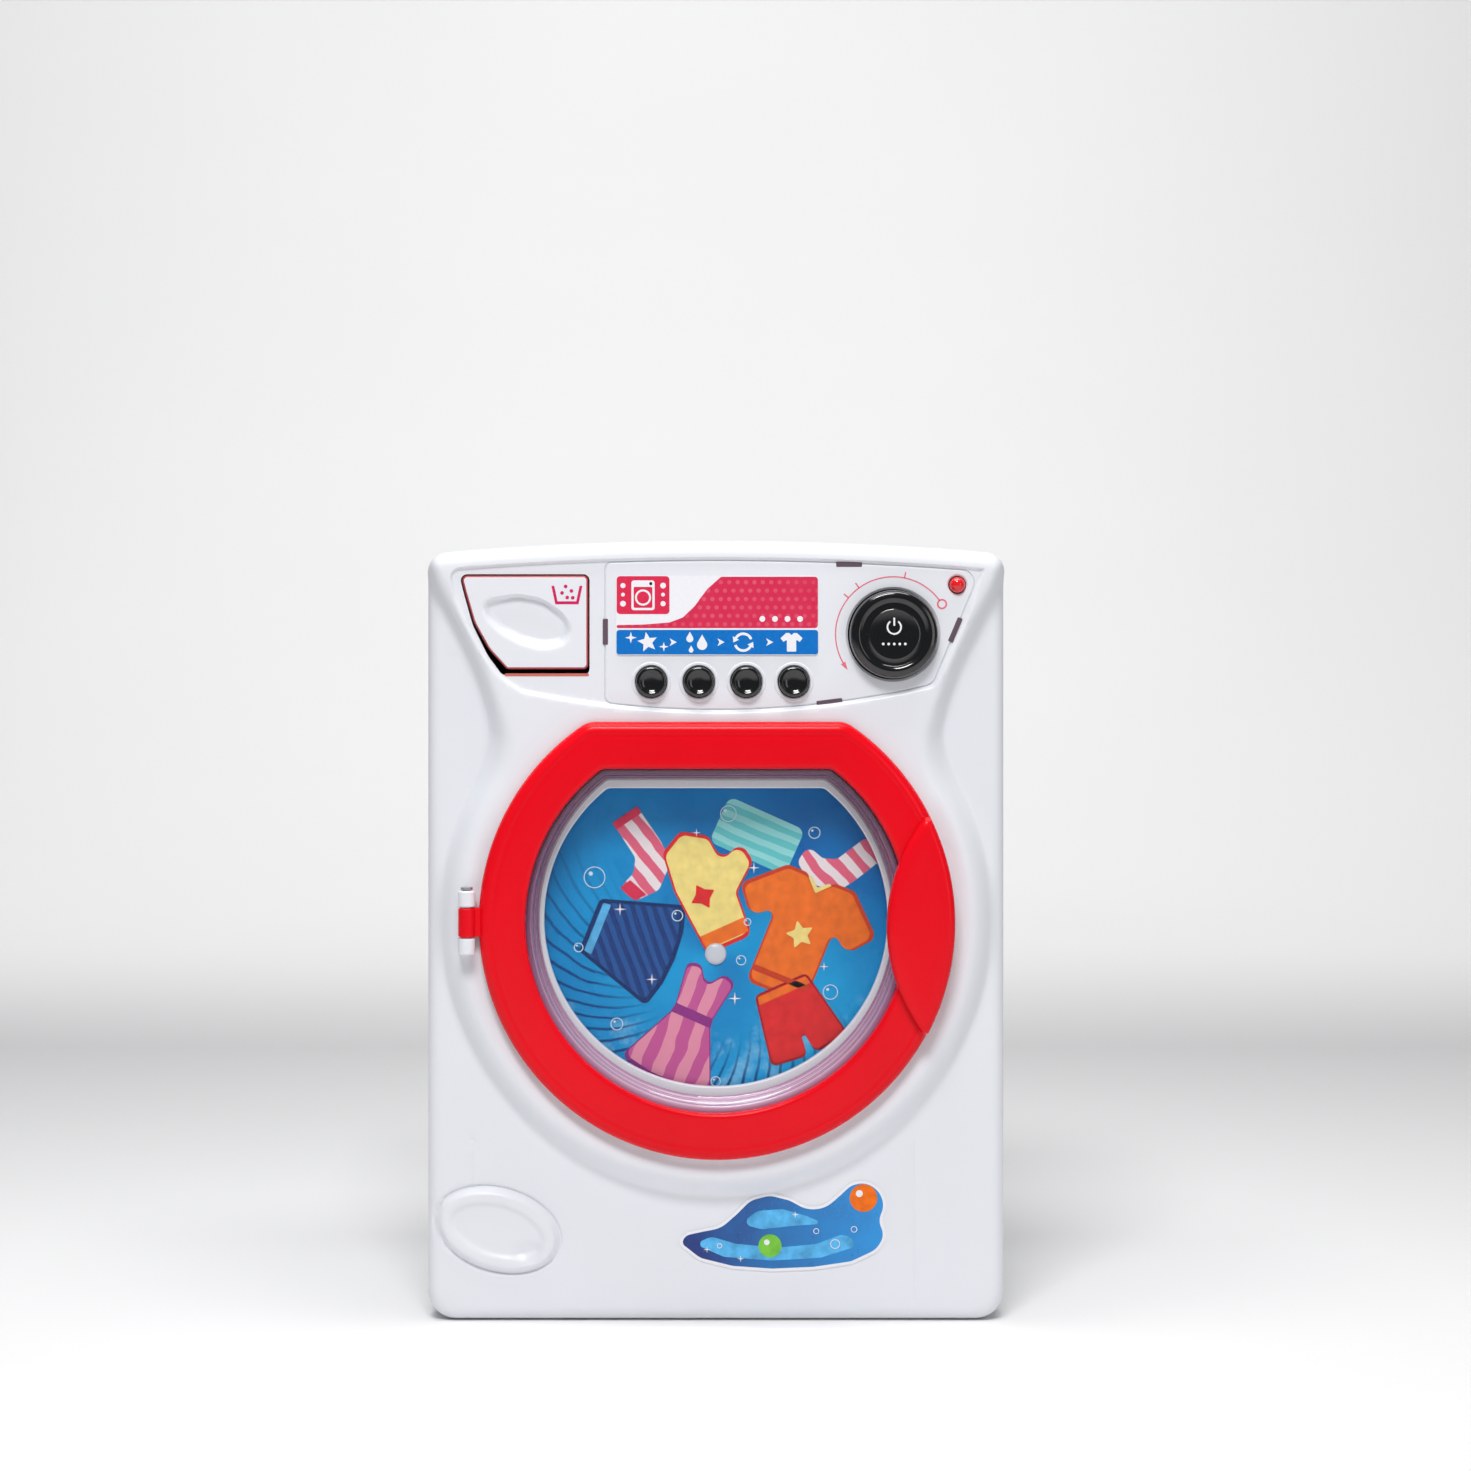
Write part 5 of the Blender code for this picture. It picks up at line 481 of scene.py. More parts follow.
class Look:
    """A Principled material on object coordinates, and short ways to add nodes to it."""

    def __init__(self, name, **constants):
        self.made = bpy.data.materials.new(name)
        self.made.use_nodes = True
        self.tree = self.made.node_tree
        self.shader = self.tree.nodes["Principled BSDF"]
        self.coords = self.node("ShaderNodeTexCoord").outputs["Object"]
        for key, value in constants.items():
            self.shader.inputs[key.replace("_", " ")].default_value = value

    def put(self, socket, value):
        if isinstance(value, bpy.types.NodeSocket):
            self.tree.links.new(value, socket)
        else:
            socket.default_value = (*value, 1) if socket.type == "RGBA" else value

    def node(self, kind, **inputs):
        made = self.tree.nodes.new(kind)
        for key, value in inputs.items():
            self.put(made.inputs[key], value)
        return made

    def calc(self, operation, *values):
        made = self.node("ShaderNodeMath")
        made.operation = operation
        for socket, value in zip(made.inputs, values):
            self.put(socket, value)
        return made.outputs[0]

    def plus(self, first, second):
        return self.calc("ADD", first, second)

    def times(self, first, second):
        return self.calc("MULTIPLY", first, second)

    def mixed(self, share, first, second):
        made = self.node("ShaderNodeMix")
        made.data_type = "RGBA"
        for socket, value in ((0, share), (6, first), (7, second)):
            self.put(made.inputs[socket], value)
        return made.outputs[2]

    def noise(self, scale, detail, roughness=0.5, stretch=None):
        source = self.coords
        if stretch:
            source = self.node("ShaderNodeMapping", Scale=stretch, Vector=source).outputs[0]
        inputs = {"Scale": scale, "Detail": detail, "Roughness": roughness, "Vector": source}
        return self.node("ShaderNodeTexNoise", **inputs).outputs[0]

    def ranged(self, value, low, high, to_low, to_high):
        made = self.node("ShaderNodeMapRange")
        for socket, number in zip(made.inputs, (value, low, high, to_low, to_high)):
            self.put(socket, number)
        return made.outputs[0]

    def axes(self):
        return self.node("ShaderNodeSeparateXYZ", Vector=self.coords).outputs

    def colour(self, value):
        self.put(self.shader.inputs["Base Color"], value)

    def mottled(self, source, colour, less, more):
        """The colour, darker by less and lighter by more in clouds."""
        darker = [c * (1 - less) for c in colour]
        lighter = [min(1, c * (1 + more)) for c in colour]
        self.colour(self.mixed(self.ranged(source, 0.3, 0.7, 0, 1), darker, lighter))

    def gloss(self, source, low, high, start=0.3, end=0.7):
        self.put(self.shader.inputs["Roughness"], self.ranged(source, start, end, low, high))

    def bump(self, height, strength, depth):
        made = self.node("ShaderNodeBump", Strength=strength, Distance=depth, Height=height)
        self.put(self.shader.inputs["Normal"], made.outputs[0])


def moulded(name, colour, rough, vary=0.06, grain=0.000004, coat=0.0, specular=0.5, subsurface=0.0):
    """Moulded plastic: slow colour drift, faint flow streaks, fine skin and handling marks in its gloss."""
    look = Look(name, Coat_Weight=coat, Coat_Roughness=0.06, Specular_IOR_Level=specular,
                Subsurface_Weight=subsurface, Subsurface_Scale=0.002)
    look.mottled(look.noise(28, 4, 0.55, (1, 1, 0.45)), colour, vary, vary * 0.5)
    look.gloss(look.noise(260, 5, 0.62), rough * 0.9, rough * 1.12, 0.3, 0.75)
    look.bump(look.plus(look.noise(1500, 2), look.times(look.noise(24, 1, 0.3), 4.0)), 0.3, grain)
    return look.made


def clear_plastic():
    """A thin clear sheet: mostly see-through, with a wet gloss and faint handling marks."""
    look = Look("clear_plastic", Alpha=0.02, Coat_Weight=1)
    look.gloss(look.noise(180, 5, 0.6), 0.02, 0.08, 0.35, 0.8)
    look.colour(look.mixed(look.noise(20, 2), (0.30, 0.42, 0.55), (0.42, 0.52, 0.62)))
    return look.made


def wall_with_painted_light():
    """The dish's wall seen edge on, coloured with painted light: fine lines of painted reflection, painted
    plum shade from the door above and a painted pale pink highlight from below.
    """
    look = Look("dish_wall_painted_light", Alpha=0.6, Coat_Weight=1)
    _, y, z = look.axes()
    # Painted light: low runs from 1 below to 0 near the door above; line makes the painted reflection
    # lines.
    low = look.ranged(z, DOOR_Z - 0.055, DOOR_Z + 0.045, 1, 0)
    line = look.calc("SINE", look.times(y, 4200.0))
    share = look.plus(look.times(line, 0.42), look.times(low, 0.66))
    # Painted plum shade near the door and painted pale pink highlight below.
    dark = look.mixed(low, (0.10, 0.012, 0.06), (0.34, 0.06, 0.26))
    pale = look.mixed(low, (0.34, 0.14, 0.40), (0.95, 0.74, 0.90))
    look.colour(look.mixed(share, dark, pale))
    look.gloss(look.noise(300, 3), 0.05, 0.14)
    return look.made


def print_ink(name, colour, vary=0.08, fine=900, rough=0.32):
    """Printed film: ink with fine mottling under a thin clear skin."""
    look = Look(name, Specular_IOR_Level=PRINT_SPECULAR)
    look.mottled(look.noise(fine, 3, 0.6), colour, vary, vary)
    smear = look.noise(120, 4, 0.6)
    look.gloss(smear, rough * 0.8, rough * 1.2)
    look.bump(smear, 0.3, FILM_WAVE)
    return look.made


def dotted_ink(name, ground, dot):
    """Ink with rows of small soft dots."""
    pitch, size = 0.0026, 0.30
    look = Look(name)
    x, _, z = look.axes()
    x, z = look.calc("DIVIDE", x, pitch), look.calc("DIVIDE", z, pitch)
    shift = look.times(look.calc("MODULO", look.calc("FLOOR", z), 2.0), 0.5)
    across = look.calc("SUBTRACT", look.calc("FRACT", look.plus(x, shift)), 0.5)
    along = look.calc("SUBTRACT", look.calc("FRACT", z), 0.5)
    squares = [look.calc("POWER", look.calc("ABSOLUTE", side), 2.0) for side in (across, along)]
    share = look.ranged(look.calc("SQRT", look.plus(*squares)), size * 0.7, size, 1, 0)
    look.colour(look.mixed(look.times(share, look.noise(60, 2)), ground, dot))
    smear = look.noise(140, 4, 0.6)
    look.gloss(smear, 0.26, 0.40)
    look.bump(smear, 0.3, FILM_WAVE)
    return look.made


def striped_ink(name, first, second, width, turn):
    """Ink in two colours in even stripes."""
    look = Look(name, Specular_IOR_Level=PRINT_SPECULAR)
    x, _, z = look.axes()
    c, s = math.cos(math.radians(turn)), math.sin(math.radians(turn))
    along = look.plus(look.times(x, c / width), look.times(z, s / width))
    wobble = look.times(look.noise(90, 2), 0.5)
    share = look.calc("GREATER_THAN", look.calc("FRACT", look.plus(along, wobble)), 0.5)
    look.colour(look.mixed(share, first, second))
    smear = look.noise(140, 4, 0.6)
    look.gloss(smear, 0.28, 0.42)
    look.bump(smear, 0.3, FILM_WAVE)
    return look.made


def sweep_ink(name, left_colour, right_colour, left, right):
    """Ink that turns from one colour to another along X, in soft clouds."""
    look = Look(name)
    cloud = look.noise(110, 4, 0.6)
    along = look.ranged(look.axes()[0], left, right, -0.25, 0.75)
    look.colour(look.mixed(look.plus(along, look.times(cloud, 0.5)), left_colour, right_colour))
    look.gloss(cloud, 0.24, 0.36)
    look.bump(cloud, 0.25, FILM_WAVE)
    return look.made


def water_ink(name, middle):
    """Blue swirling water about the drum's axis: lighter low down, fine dark curved rays low and left."""
    look = Look(name, Specular_IOR_Level=PRINT_SPECULAR)
    x, _, z = look.axes()
    x, z = look.calc("SUBTRACT", x, middle[0]), look.calc("SUBTRACT", z, middle[1])
    radius = look.calc("SQRT", look.plus(look.times(x, x), look.times(z, z)))
    angle = look.calc("ARCTAN2", z, x)
    swirl = look.plus(look.times(angle, 2.0), look.times(radius, 70.0))
    cloud = look.noise(42, 4, 0.6)
    broad = look.plus(look.calc("SINE", swirl), look.times(cloud, 2.2))
    depth = look.ranged(z, -0.055, 0.050, 1.0, 0.0)
    light = look.plus(look.times(look.ranged(broad, -0.4, 2.6, 0, 1), 0.45), look.times(depth, 0.62))
    blue = look.mixed(look.ranged(light, 0.1, 0.95, 0, 1), (0.002, 0.105, 0.40), (0.010, 0.46, 0.86))
    foam = look.ranged(look.times(look.noise(95, 5, 0.7), depth), 0.36, 0.60, 0, 0.75)
    blue = look.mixed(foam, blue, (0.36, 0.72, 0.93))
    rays = look.plus(look.times(angle, 60.0), look.times(radius, 900.0))
    rays = look.calc("SINE", look.plus(rays, look.times(cloud, 6.0)))
    slanted = look.plus(z, look.times(x, 0.6))
    place = look.times(look.ranged(slanted, -0.030, 0.012, 1, 0), look.ranged(radius, 0.024, 0.040, 0, 0.9))
    rays = look.times(look.ranged(rays, 0.55, 0.95, 0, 1), place)
    look.colour(look.mixed(rays, blue, (0.004, 0.04, 0.20)))
    look.gloss(cloud, 0.22, 0.36)
    look.bump(cloud, 0.25, FILM_WAVE)
    return look.made


def lamp_plastic(name, colour):
    look = Look(name, Subsurface_Weight=0.4, Subsurface_Scale=0.002, Coat_Weight=0.6)
    haze = look.noise(300, 3)
    look.colour(look.mixed(haze, [c * 0.8 for c in colour], colour))
    look.gloss(haze, 0.05, 0.14)
    look.bump(haze, 0.2, 0.00001)
    return look.made


def metal(name, colour, rough):
    look = Look(name, Metallic=1)
    brushed = look.noise(500, 4, 0.6, (1, 1, 12))
    look.colour(look.mixed(brushed, [c * 0.85 for c in colour], colour))
    look.gloss(brushed, rough * 0.7, rough * 1.3)
    look.bump(brushed, 0.4, 0.00001)
    return look.made


WHITE = moulded("white_plastic", (0.80, 0.815, 0.86), 0.34, 0.012)
RED = moulded("red_plastic", (0.80, 0.0035, 0.012), 0.24, 0.05, coat=0.05, specular=0.14)
BLACK = moulded("black_plastic", (0.004, 0.0045, 0.005), 0.14, 0.2, coat=0.6)
CLEAR = clear_plastic()
DISH_WALL_PAINTED_LIGHT = wall_with_painted_light()
# Painted shade: the dark mauve of the shaded clip slots.
SLOT_SHADE = moulded("slot_painted_shade", (0.11, 0.07, 0.10), 0.55, 0.15)
PAPER_WHITE = print_ink("white_ink", (0.86, 0.86, 0.90), 0.02, rough=0.30)
CRIMSON = print_ink("crimson_ink", (0.72, 0.030, 0.085))
CRIMSON_DOTS = dotted_ink("crimson_dots", (0.68, 0.022, 0.080), (0.80, 0.12, 0.19))
BAND_BLUE = print_ink("band_blue_ink", (0.008, 0.17, 0.56))
PINK = print_ink("pink_ink", (0.80, 0.16, 0.22))
MAGENTA = print_ink("magenta_ink", (0.64, 0.018, 0.12))
# Painted shade: red-brown for the shaded gap round the flap, on its rounded edge.
FLAP_GAP_SHADE = moulded("flap_gap_painted_shade", (0.46, 0.05, 0.06), 0.35, 0.1)
# Painted shade: red-brown for the shaded wide gap below the flap.
SILL_SHADE = moulded("sill_painted_shade", (0.62, 0.16, 0.13), 0.40, 0.1)
LAMP = lamp_plastic("lamp_red", (0.80, 0.008, 0.012))
WATER = water_ink("water_print", DRUM_AT)
ORANGE = print_ink("orange_ink", (0.88, 0.17, 0.012), vary=0.15, fine=300)
DARK_ORANGE = print_ink("dark_orange_ink", (0.60, 0.05, 0.008))
PALE_YELLOW = print_ink("pale_yellow_ink", (0.90, 0.74, 0.24), vary=0.1, fine=300)
RED_INK = print_ink("red_ink", (0.74, 0.020, 0.018), vary=0.15, fine=300)
DARK_RED = print_ink("dark_red_ink", (0.36, 0.008, 0.012))
NAVY = print_ink("navy_ink", (0.008, 0.030, 0.14))
PURPLE = print_ink("purple_ink", (0.28, 0.03, 0.24))
NAVY_STRIPES = striped_ink("navy_stripes", (0.012, 0.045, 0.20), (0.020, 0.09, 0.32), 0.0032, 20)
TEAL_STRIPES = striped_ink("teal_stripes", (0.13, 0.58, 0.60), (0.30, 0.72, 0.72), 0.0040, 66)
PINK_STRIPES = striped_ink("pink_stripes", (0.86, 0.78, 0.80), (0.78, 0.13, 0.22), 0.0056, 40)
PINK_CHECK = striped_ink("pink_check", (0.80, 0.30, 0.42), (0.58, 0.10, 0.32), 0.0072, -20)
BUBBLE = print_ink("bubble_ink", (0.62, 0.82, 0.95))
CAP_GREY = moulded("cap_grey", (0.62, 0.66, 0.72), 0.30)
WAVE_BLUE = sweep_ink("wave_blue_ink", (0.004, 0.030, 0.20), (0.015, 0.28, 0.70), -0.008, 0.050)
PALE_BLUE = print_ink("pale_blue_ink", (0.10, 0.44, 0.82), vary=0.3, fine=200)
GREEN = print_ink("green_ink", (0.20, 0.58, 0.06), vary=0.2, fine=200)
DRUM_BLUE = moulded("drum_blue", (0.02, 0.17, 0.50), 0.35)
GREY = moulded("grey_plastic", (0.30, 0.32, 0.34), 0.45)
RUBBER = moulded("grey_rubber", (0.06, 0.06, 0.065), 0.75, grain=0.00004)
NYLON = moulded("natural_nylon", (0.72, 0.70, 0.62), 0.42, subsurface=0.1)
BOARD = moulded("circuit_board", (0.012, 0.13, 0.045), 0.45, 0.15)
CONE = moulded("paper_cone", (0.02, 0.02, 0.02), 0.85, 0.3, grain=0.0001)
JACKET = metal("cell_jacket", (0.70, 0.26, 0.05), 0.35)
STEEL = metal("steel", (0.62, 0.63, 0.66), 0.3)


# Casing


def casing_rings():
    return [0.00010, 0.00035, 0.0008, 0.0014, 0.0022, 0.0033, FRONT_EDGE]


def hood_offsets():
    """Loose points along the raised form's slope, so that its mesh follows its outline."""
    made = []
    side = even_line(hood_side(240), 0.9 * MM)
    for t in (-1.6, -0.8, -0.3, 0.1, 0.5, 1.0, 1.6, 2.4, 3.4, 4.6, 6.0, 8.0, 10.0):
        t *= MM
        angles = np.arange(0, math.tau, 0.9 * MM / SURROUND_RADIUS)
        found = [polar(0, DOOR_Z, SURROUND_RADIUS - t, angles)]
        if t < 6 * MM:
            way = np.gradient(side, axis=0)
            normal = np.stack([way[:, 1], -way[:, 0]], 1) / np.linalg.norm(way, axis=1)[:, None]
            right = side + normal * t
            found += [right, right * (-1, 1)]
        for points in found:
            made.append(points[np.abs(keyhole(points) - t) < 0.25 * MM])
    return np.concatenate(made)


def even_line(points, spacing):
    points = np.array(points)
    run = np.concatenate([[0], np.cumsum(np.linalg.norm(np.diff(points, axis=0), axis=1))])
    wanted = np.linspace(0, run[-1], round(run[-1] / spacing) + 1)
    return np.stack([np.interp(wanted, run, points[:, k]) for k in (0, 1)], 1)


def grid(spacing):
    xs = np.arange(-WIDTH / 2, WIDTH / 2, spacing)
    zs = np.arange(0, HEIGHT + CROWN, spacing * math.sqrt(3) / 2)
    rows = [np.stack([xs + (k % 2) * spacing / 2, np.full(len(xs), z)], 1) for k, z in enumerate(zs)]
    return np.concatenate(rows)


def clear_of(points, taken, gap):
    tree = kdtree.KDTree(len(taken))
    for i, (x, z) in enumerate(taken):
        tree.insert((x, z, 0), i)
    tree.balance()
    return points[[tree.find((x, z, 0))[2] > gap for x, z in points]]


def upright(x, low, high, count):
    return np.stack([np.full(count, x), np.linspace(low, high, count)], 1)


def front_loose(outer, loops):
    """Grid and slope points: fine where the form bends, coarse where it is flat."""
    slope = hood_offsets()
    slope = slope[distance(slope, outer) > 0.5 * MM]
    insets = (-1.6, -1.1, -0.6, -0.1, 0.4, 0.9, 1.4, 1.9, 2.6, 3.4, 4.2, 4.8, 5.4, 6.0, 7.0)
    cover = np.concatenate([filter_outline(k * MM, 120) for k in insets])
    beside = [k * MM for k in (-0.7, -0.3, 0, 0.3, 0.7)]
    lines = [upright(SEAM_X + k, 0.0052, 0.0590, 60) for k in beside]
    rib = [upright(RIB_X + k, 0.0405, 0.0545, 24) for k in beside]
    dimple = [circle(*DIMPLE_AT, r * MM, 14) for r in (0.3, 0.7, 1.2)]
    special = np.concatenate([cover, *lines, *rib, *dimple])
    special = special[keyhole(special) < -2 * MM]
    fine, coarse = grid(1.25 * MM), grid(5.0 * MM)
    t = keyhole(fine)
    busy = (t > -3 * MM) & (t < ramp_width(fine[:, 1]) + 1.5 * MM)
    busy |= np.abs(distance(fine, ZONE)) < 2.5 * MM
    near_filter = np.hypot(fine[:, 0] - FILTER_AT[0], (fine[:, 1] - FILTER_AT[1]) * 1.3) < 26 * MM
    fine = fine[busy | near_filter]
    taken = np.concatenate([*loops, slope, special])
    fine = clear_of(fine, taken, 0.62 * MM)
    coarse = clear_of(coarse, np.concatenate([taken, fine]), 2.0 * MM)
    loose = np.concatenate([slope, special, fine, coarse])
    loose = loose[distance(loose, outer) > 0.4 * MM]
    return clear_of(loose, np.concatenate(loops), 0.3 * MM)


def catch_slot():
    right = DOOR_RADIUS - RECESS_INSET - 0.0016
    return even(np.array([(right - 0.0030, DOOR_Z - 0.0048), (right + 0.0008, DOOR_Z - 0.0048),
                          (right + 0.0008, DOOR_Z + 0.0048), (right - 0.0030, DOOR_Z + 0.0048)]), 1.5 * MM)


def front_level(edge):
    return lambda points: FACE_Y - front_height(points, edge)


def front_shell():
    solid = Solid()
    rings = [(edge, casing(edge)) for edge in casing_rings()]
    outer = casing()
    outer_y = front_level(0)(outer)
    solid.chain((outer, outer_y), *((ring, front_level(edge)(ring)) for edge, ring in rings))
    seam = SEAM_Y
    inner = casing(WALL)
    chamfer = 0.00035
    solid.chain((outer, outer_y), (outer, seam - chamfer), (casing(chamfer), seam), (inner, seam))
    face = rings[-1][1]
    recess_edge = 0.0005
    recess = d_outline(RECESS_INSET - recess_edge)
    panel, flap = even(panel_outline(FIT), 1.4 * MM), even(flap_opening(), 1.4 * MM)
    holes = [recess, panel, flap]
    steps = [even(zone_outline(k * MM), 1.4 * MM) for k in (-0.8, -0.4, 0, 0.4, 0.8)]
    loose = front_loose(face, [face, *holes, *steps])
    solid.fill(face, holes, front_level(FRONT_EDGE), steps, loose)
    cup = d_outline(RECESS_INSET)
    narrow_sides = (1.022, 1)
    opening = d_outline(OPENING_INSET) * narrow_sides
    cup_back = d_outline(RECESS_INSET - WALL)
    slot = catch_slot()
    solid.chain((recess, front_level(FRONT_EDGE)(recess)), (cup, HOOD_Y + recess_edge), (cup, LIP_Y))
    solid.fill(cup, [opening, slot], flat_at(LIP_Y))
    lip_edge = 0.0004
    wide = d_outline(OPENING_INSET + lip_edge) * narrow_sides
    solid.chain((opening, LIP_Y), (wide, LIP_Y + lip_edge), (wide, LIP_BACK_Y))
    solid.chain((slot, LIP_Y), (slot, LIP_BACK_Y))
    solid.fill(cup_back, [wide, slot], flat_at(LIP_BACK_Y))
    back = front_level(FRONT_EDGE)
    inner_y = back(inner) + WALL
    solid.chain((inner, seam), (inner, inner_y))
    solid.chain((cup_back, LIP_BACK_Y), (cup_back, back(cup_back) + WALL))
    for hole in (panel, flap):
        solid.chain((hole, back(hole)), (hole, back(hole) + WALL))
    coarse = clear_of(grid(3.0 * MM), np.concatenate([inner, cup_back, panel, flap]), 1.2 * MM)
    coarse = coarse[distance(coarse, inner) > 0]
    solid.fill(inner, [cup_back, panel, flap], lambda p: back(p) + WALL, (), coarse)
    return solid.finish("shell_front", WHITE, "body", ["front_shell"], "white_shell")


def back_level(edge):
    drop = BACK_EDGE - math.sqrt(max(BACK_EDGE**2 - (BACK_EDGE - min(edge, BACK_EDGE)) ** 2, 0))
    return BACK_Y - drop


WELLS = [(side * x, z) for x, z in ((0.078, 0.014), (0.081, 0.104), (0.081, 0.190)) for side in (-1, 1)]
COVER_LOW_Z, COVER_TOP_Z, COVER_TAB_Z = 0.0146, 0.0630, 0.0715
SLOT_ZS = [0.1760 + 0.0055 * (k - 2) for k in range(5)]
SLOT_HALF_WIDTH, SLOT_HALF_HEIGHT = 0.0120, 0.0011
WELL_RADIUS = 0.0034


def cover_outline(growth=0):
    half, corner, tab = 0.0304, 0.0020, 0.0060
    corners = [(-half, COVER_LOW_Z, corner), (half, COVER_LOW_Z, corner), (half, COVER_TOP_Z, corner),
               (tab + 0.002, COVER_TOP_Z, 0.001), (tab, COVER_TAB_Z, corner), (-tab, COVER_TAB_Z, corner),
               (-tab - 0.002, COVER_TOP_Z, 0.001), (-half, COVER_TOP_Z, corner)]
    return filleted(grown(corners, growth), 6)


def slot_hole(z, growth=0):
    """A grille slot with round ends."""
    radius, reach = SLOT_HALF_HEIGHT + growth, SLOT_HALF_WIDTH - SLOT_HALF_HEIGHT
    ends = []
    for side in (1, -1):
        for k in range(13):
            angle = math.pi * k / 12 - side * math.pi / 2
            ends.append((side * reach + radius * math.cos(angle), z + radius * math.sin(angle)))
    return np.array(ends)


def rear_shell():
    solid = Solid()
    outer = casing()
    seam, chamfer = SEAM_Y + FIT, 0.00035
    insets = (0.00004, 0.00025, 0.0007, 0.0014, 0.0024, 0.0036, 0.0050)
    rounded = [(casing(inset), back_level(inset)) for inset in insets]
    inner = casing(WALL)
    solid.chain((inner, seam), (casing(chamfer), seam), (outer, seam + chamfer), (outer, back_level(0)),
                *rounded)
    face = rounded[-1][0]
    cover = even(cover_outline(FIT), 2 * MM)
    wells = [circle(x, z, WELL_RADIUS, 32) for x, z in WELLS]
    well_rims = [circle(x, z, WELL_RADIUS + 0.0004, 32) for x, z in WELLS]
    slots = [slot_hole(z) for z in SLOT_ZS]
    slot_rims = [slot_hole(z, 0.0003) for z in SLOT_ZS]
    cover_rim = split(cover_outline(FIT + 0.0003), split_counts(cover_outline(FIT), 2 * MM))
    loose = clear_of(grid(6 * MM), np.concatenate([face, cover_rim, *well_rims, *slot_rims]), 2.5 * MM)
    loose = loose[distance(loose, face) > 0]

    def level(points):
        inset = np.clip(distance(points, outer), 0, BACK_EDGE)
        return BACK_Y - BACK_EDGE + np.sqrt(BACK_EDGE**2 - (BACK_EDGE - inset) ** 2)

    solid.fill(face, [cover_rim, *well_rims, *slot_rims], lambda p: np.where(np.isin(p[:, 0], face[:, 0])
               & np.isin(p[:, 1], face[:, 1]), back_level(0.0050), level(p)), (), loose)
    shelf = BACK_Y - 0.0023
    solid.chain((cover_rim, level(cover_rim)), (cover, BACK_Y - 0.0003), (cover, shelf))
    solid.cap(cover, shelf)
    inside_y = BACK_Y - WALL
    ledge = SEAM_Y + FIT + 0.0025
    tips = [circle(x, z, 0.0044, 32) for x, z in WELLS]
    for rim, well, tip, (x, z) in zip(well_rims, wells, tips, WELLS):
        hole = circle(x, z, 0.0017, 32)
        solid.chain((rim, level(rim)), (well, BACK_Y - 0.0004), (well, ledge), (hole, ledge), (hole, seam),
                    (tip, seam), (tip, inside_y))
    for rim, slot in zip(slot_rims, slots):
        solid.chain((rim, level(rim)), (slot, BACK_Y - 0.0003), (slot, inside_y))
    bay = even(cover_outline(0.0030), 3 * MM)
    solid.chain((inner, seam), (inner, inside_y))
    solid.fill(inner, [bay, *tips, *slots], flat_at(inside_y))
    solid.chain((bay, inside_y), (bay, inside_y - 0.0023))
    solid.cap(bay, inside_y - 0.0023)
    return solid.finish("shell_rear", WHITE, "body", ["rear_shell"], "white_shell")


def turned(profile, x, z, steps):
    """A (radius, y) profile turned about a Y axis; a radius of nothing closes it."""
    solid = Solid()
    solid.chain(*((circle(x, z, max(radius, 1e-7), steps), y) for radius, y in profile))
    return solid


def arc(start, end, count, bulge):
    """Points of a quarter of an ellipse from start to end; bulge says which leg it leaves along first."""
    made = []
    for k in range(count + 1):
        angle = math.pi / 2 * k / count
        a, b = (math.sin(angle), 1 - math.cos(angle)) if bulge else (1 - math.cos(angle), math.sin(angle))
        made.append((start[0] + (end[0] - start[0]) * a, start[1] + (end[1] - start[1]) * b))
    return made


# Door


def tube(solid, x, y, low, high, radius):
    """A round bar along Z with eased ends."""
    steps, rounded = 24, 0.0004
    tight = radius - rounded
    rings = [(tight, low), (radius, low + rounded), (radius, high - rounded), (tight, high)]
    loops = []
    for size, z in rings:
        loops.append([solid.bm.verts.new((*point, z)) for point in circle(x, y, size, steps)])
    for near, far in zip(loops, loops[1:]):
        for i in range(steps):
            j = (i + 1) % steps
            solid.bm.faces.new((near[i], near[j], far[j], far[i]))
    solid.bm.faces.new(loops[0])
    solid.bm.faces.new(loops[-1])


def cuboid(solid, low, high):
    size = [b - a for a, b in zip(low, high)]
    middle = [(a + b) / 2 for a, b in zip(low, high)]
    bmesh.ops.create_cube(solid.bm, size=1, matrix=Matrix.Translation(middle) @ Matrix.Diagonal((*size, 1)))


HINGE_X, HINGE_Y, KNUCKLE_RADIUS = -0.0771, -0.0599, 0.0026


def door_frame():
    solid = Solid()
    outer = arc((0, DOOR_Y + 0.0030), (0.0034, DOOR_Y), 7, False)
    bead = [(0.0042, DOOR_Y + 0.00022), (0.0048, DOOR_Y + 0.00005)]
    inner = arc((DOOR_BAND - 0.0011, DOOR_Y), (DOOR_BAND, DOOR_Y + 0.0011), 5, True)
    profile = [*outer, *bead, (0.0060, DOOR_Y), (0.0100, DOOR_Y), (0.0124, DOOR_Y), *inner,
               (DOOR_BAND, DOOR_BACK_Y), (0.0004, DOOR_BACK_Y), (0, DOOR_BACK_Y - 0.0004)]
    solid.chain(*((d_outline(inset), y) for inset, y in [*profile, profile[0]]))
    half = 0.0045
    tube(solid, HINGE_X, HINGE_Y, DOOR_Z - half, DOOR_Z + half, KNUCKLE_RADIUS)
    cuboid(solid, (HINGE_X, DOOR_BACK_Y - 0.0022, DOOR_Z - half), (-0.0700, DOOR_BACK_Y, DOOR_Z + half))
    return solid.finish("door_ring", RED, "door", ["door_frame"], "red_gloss")


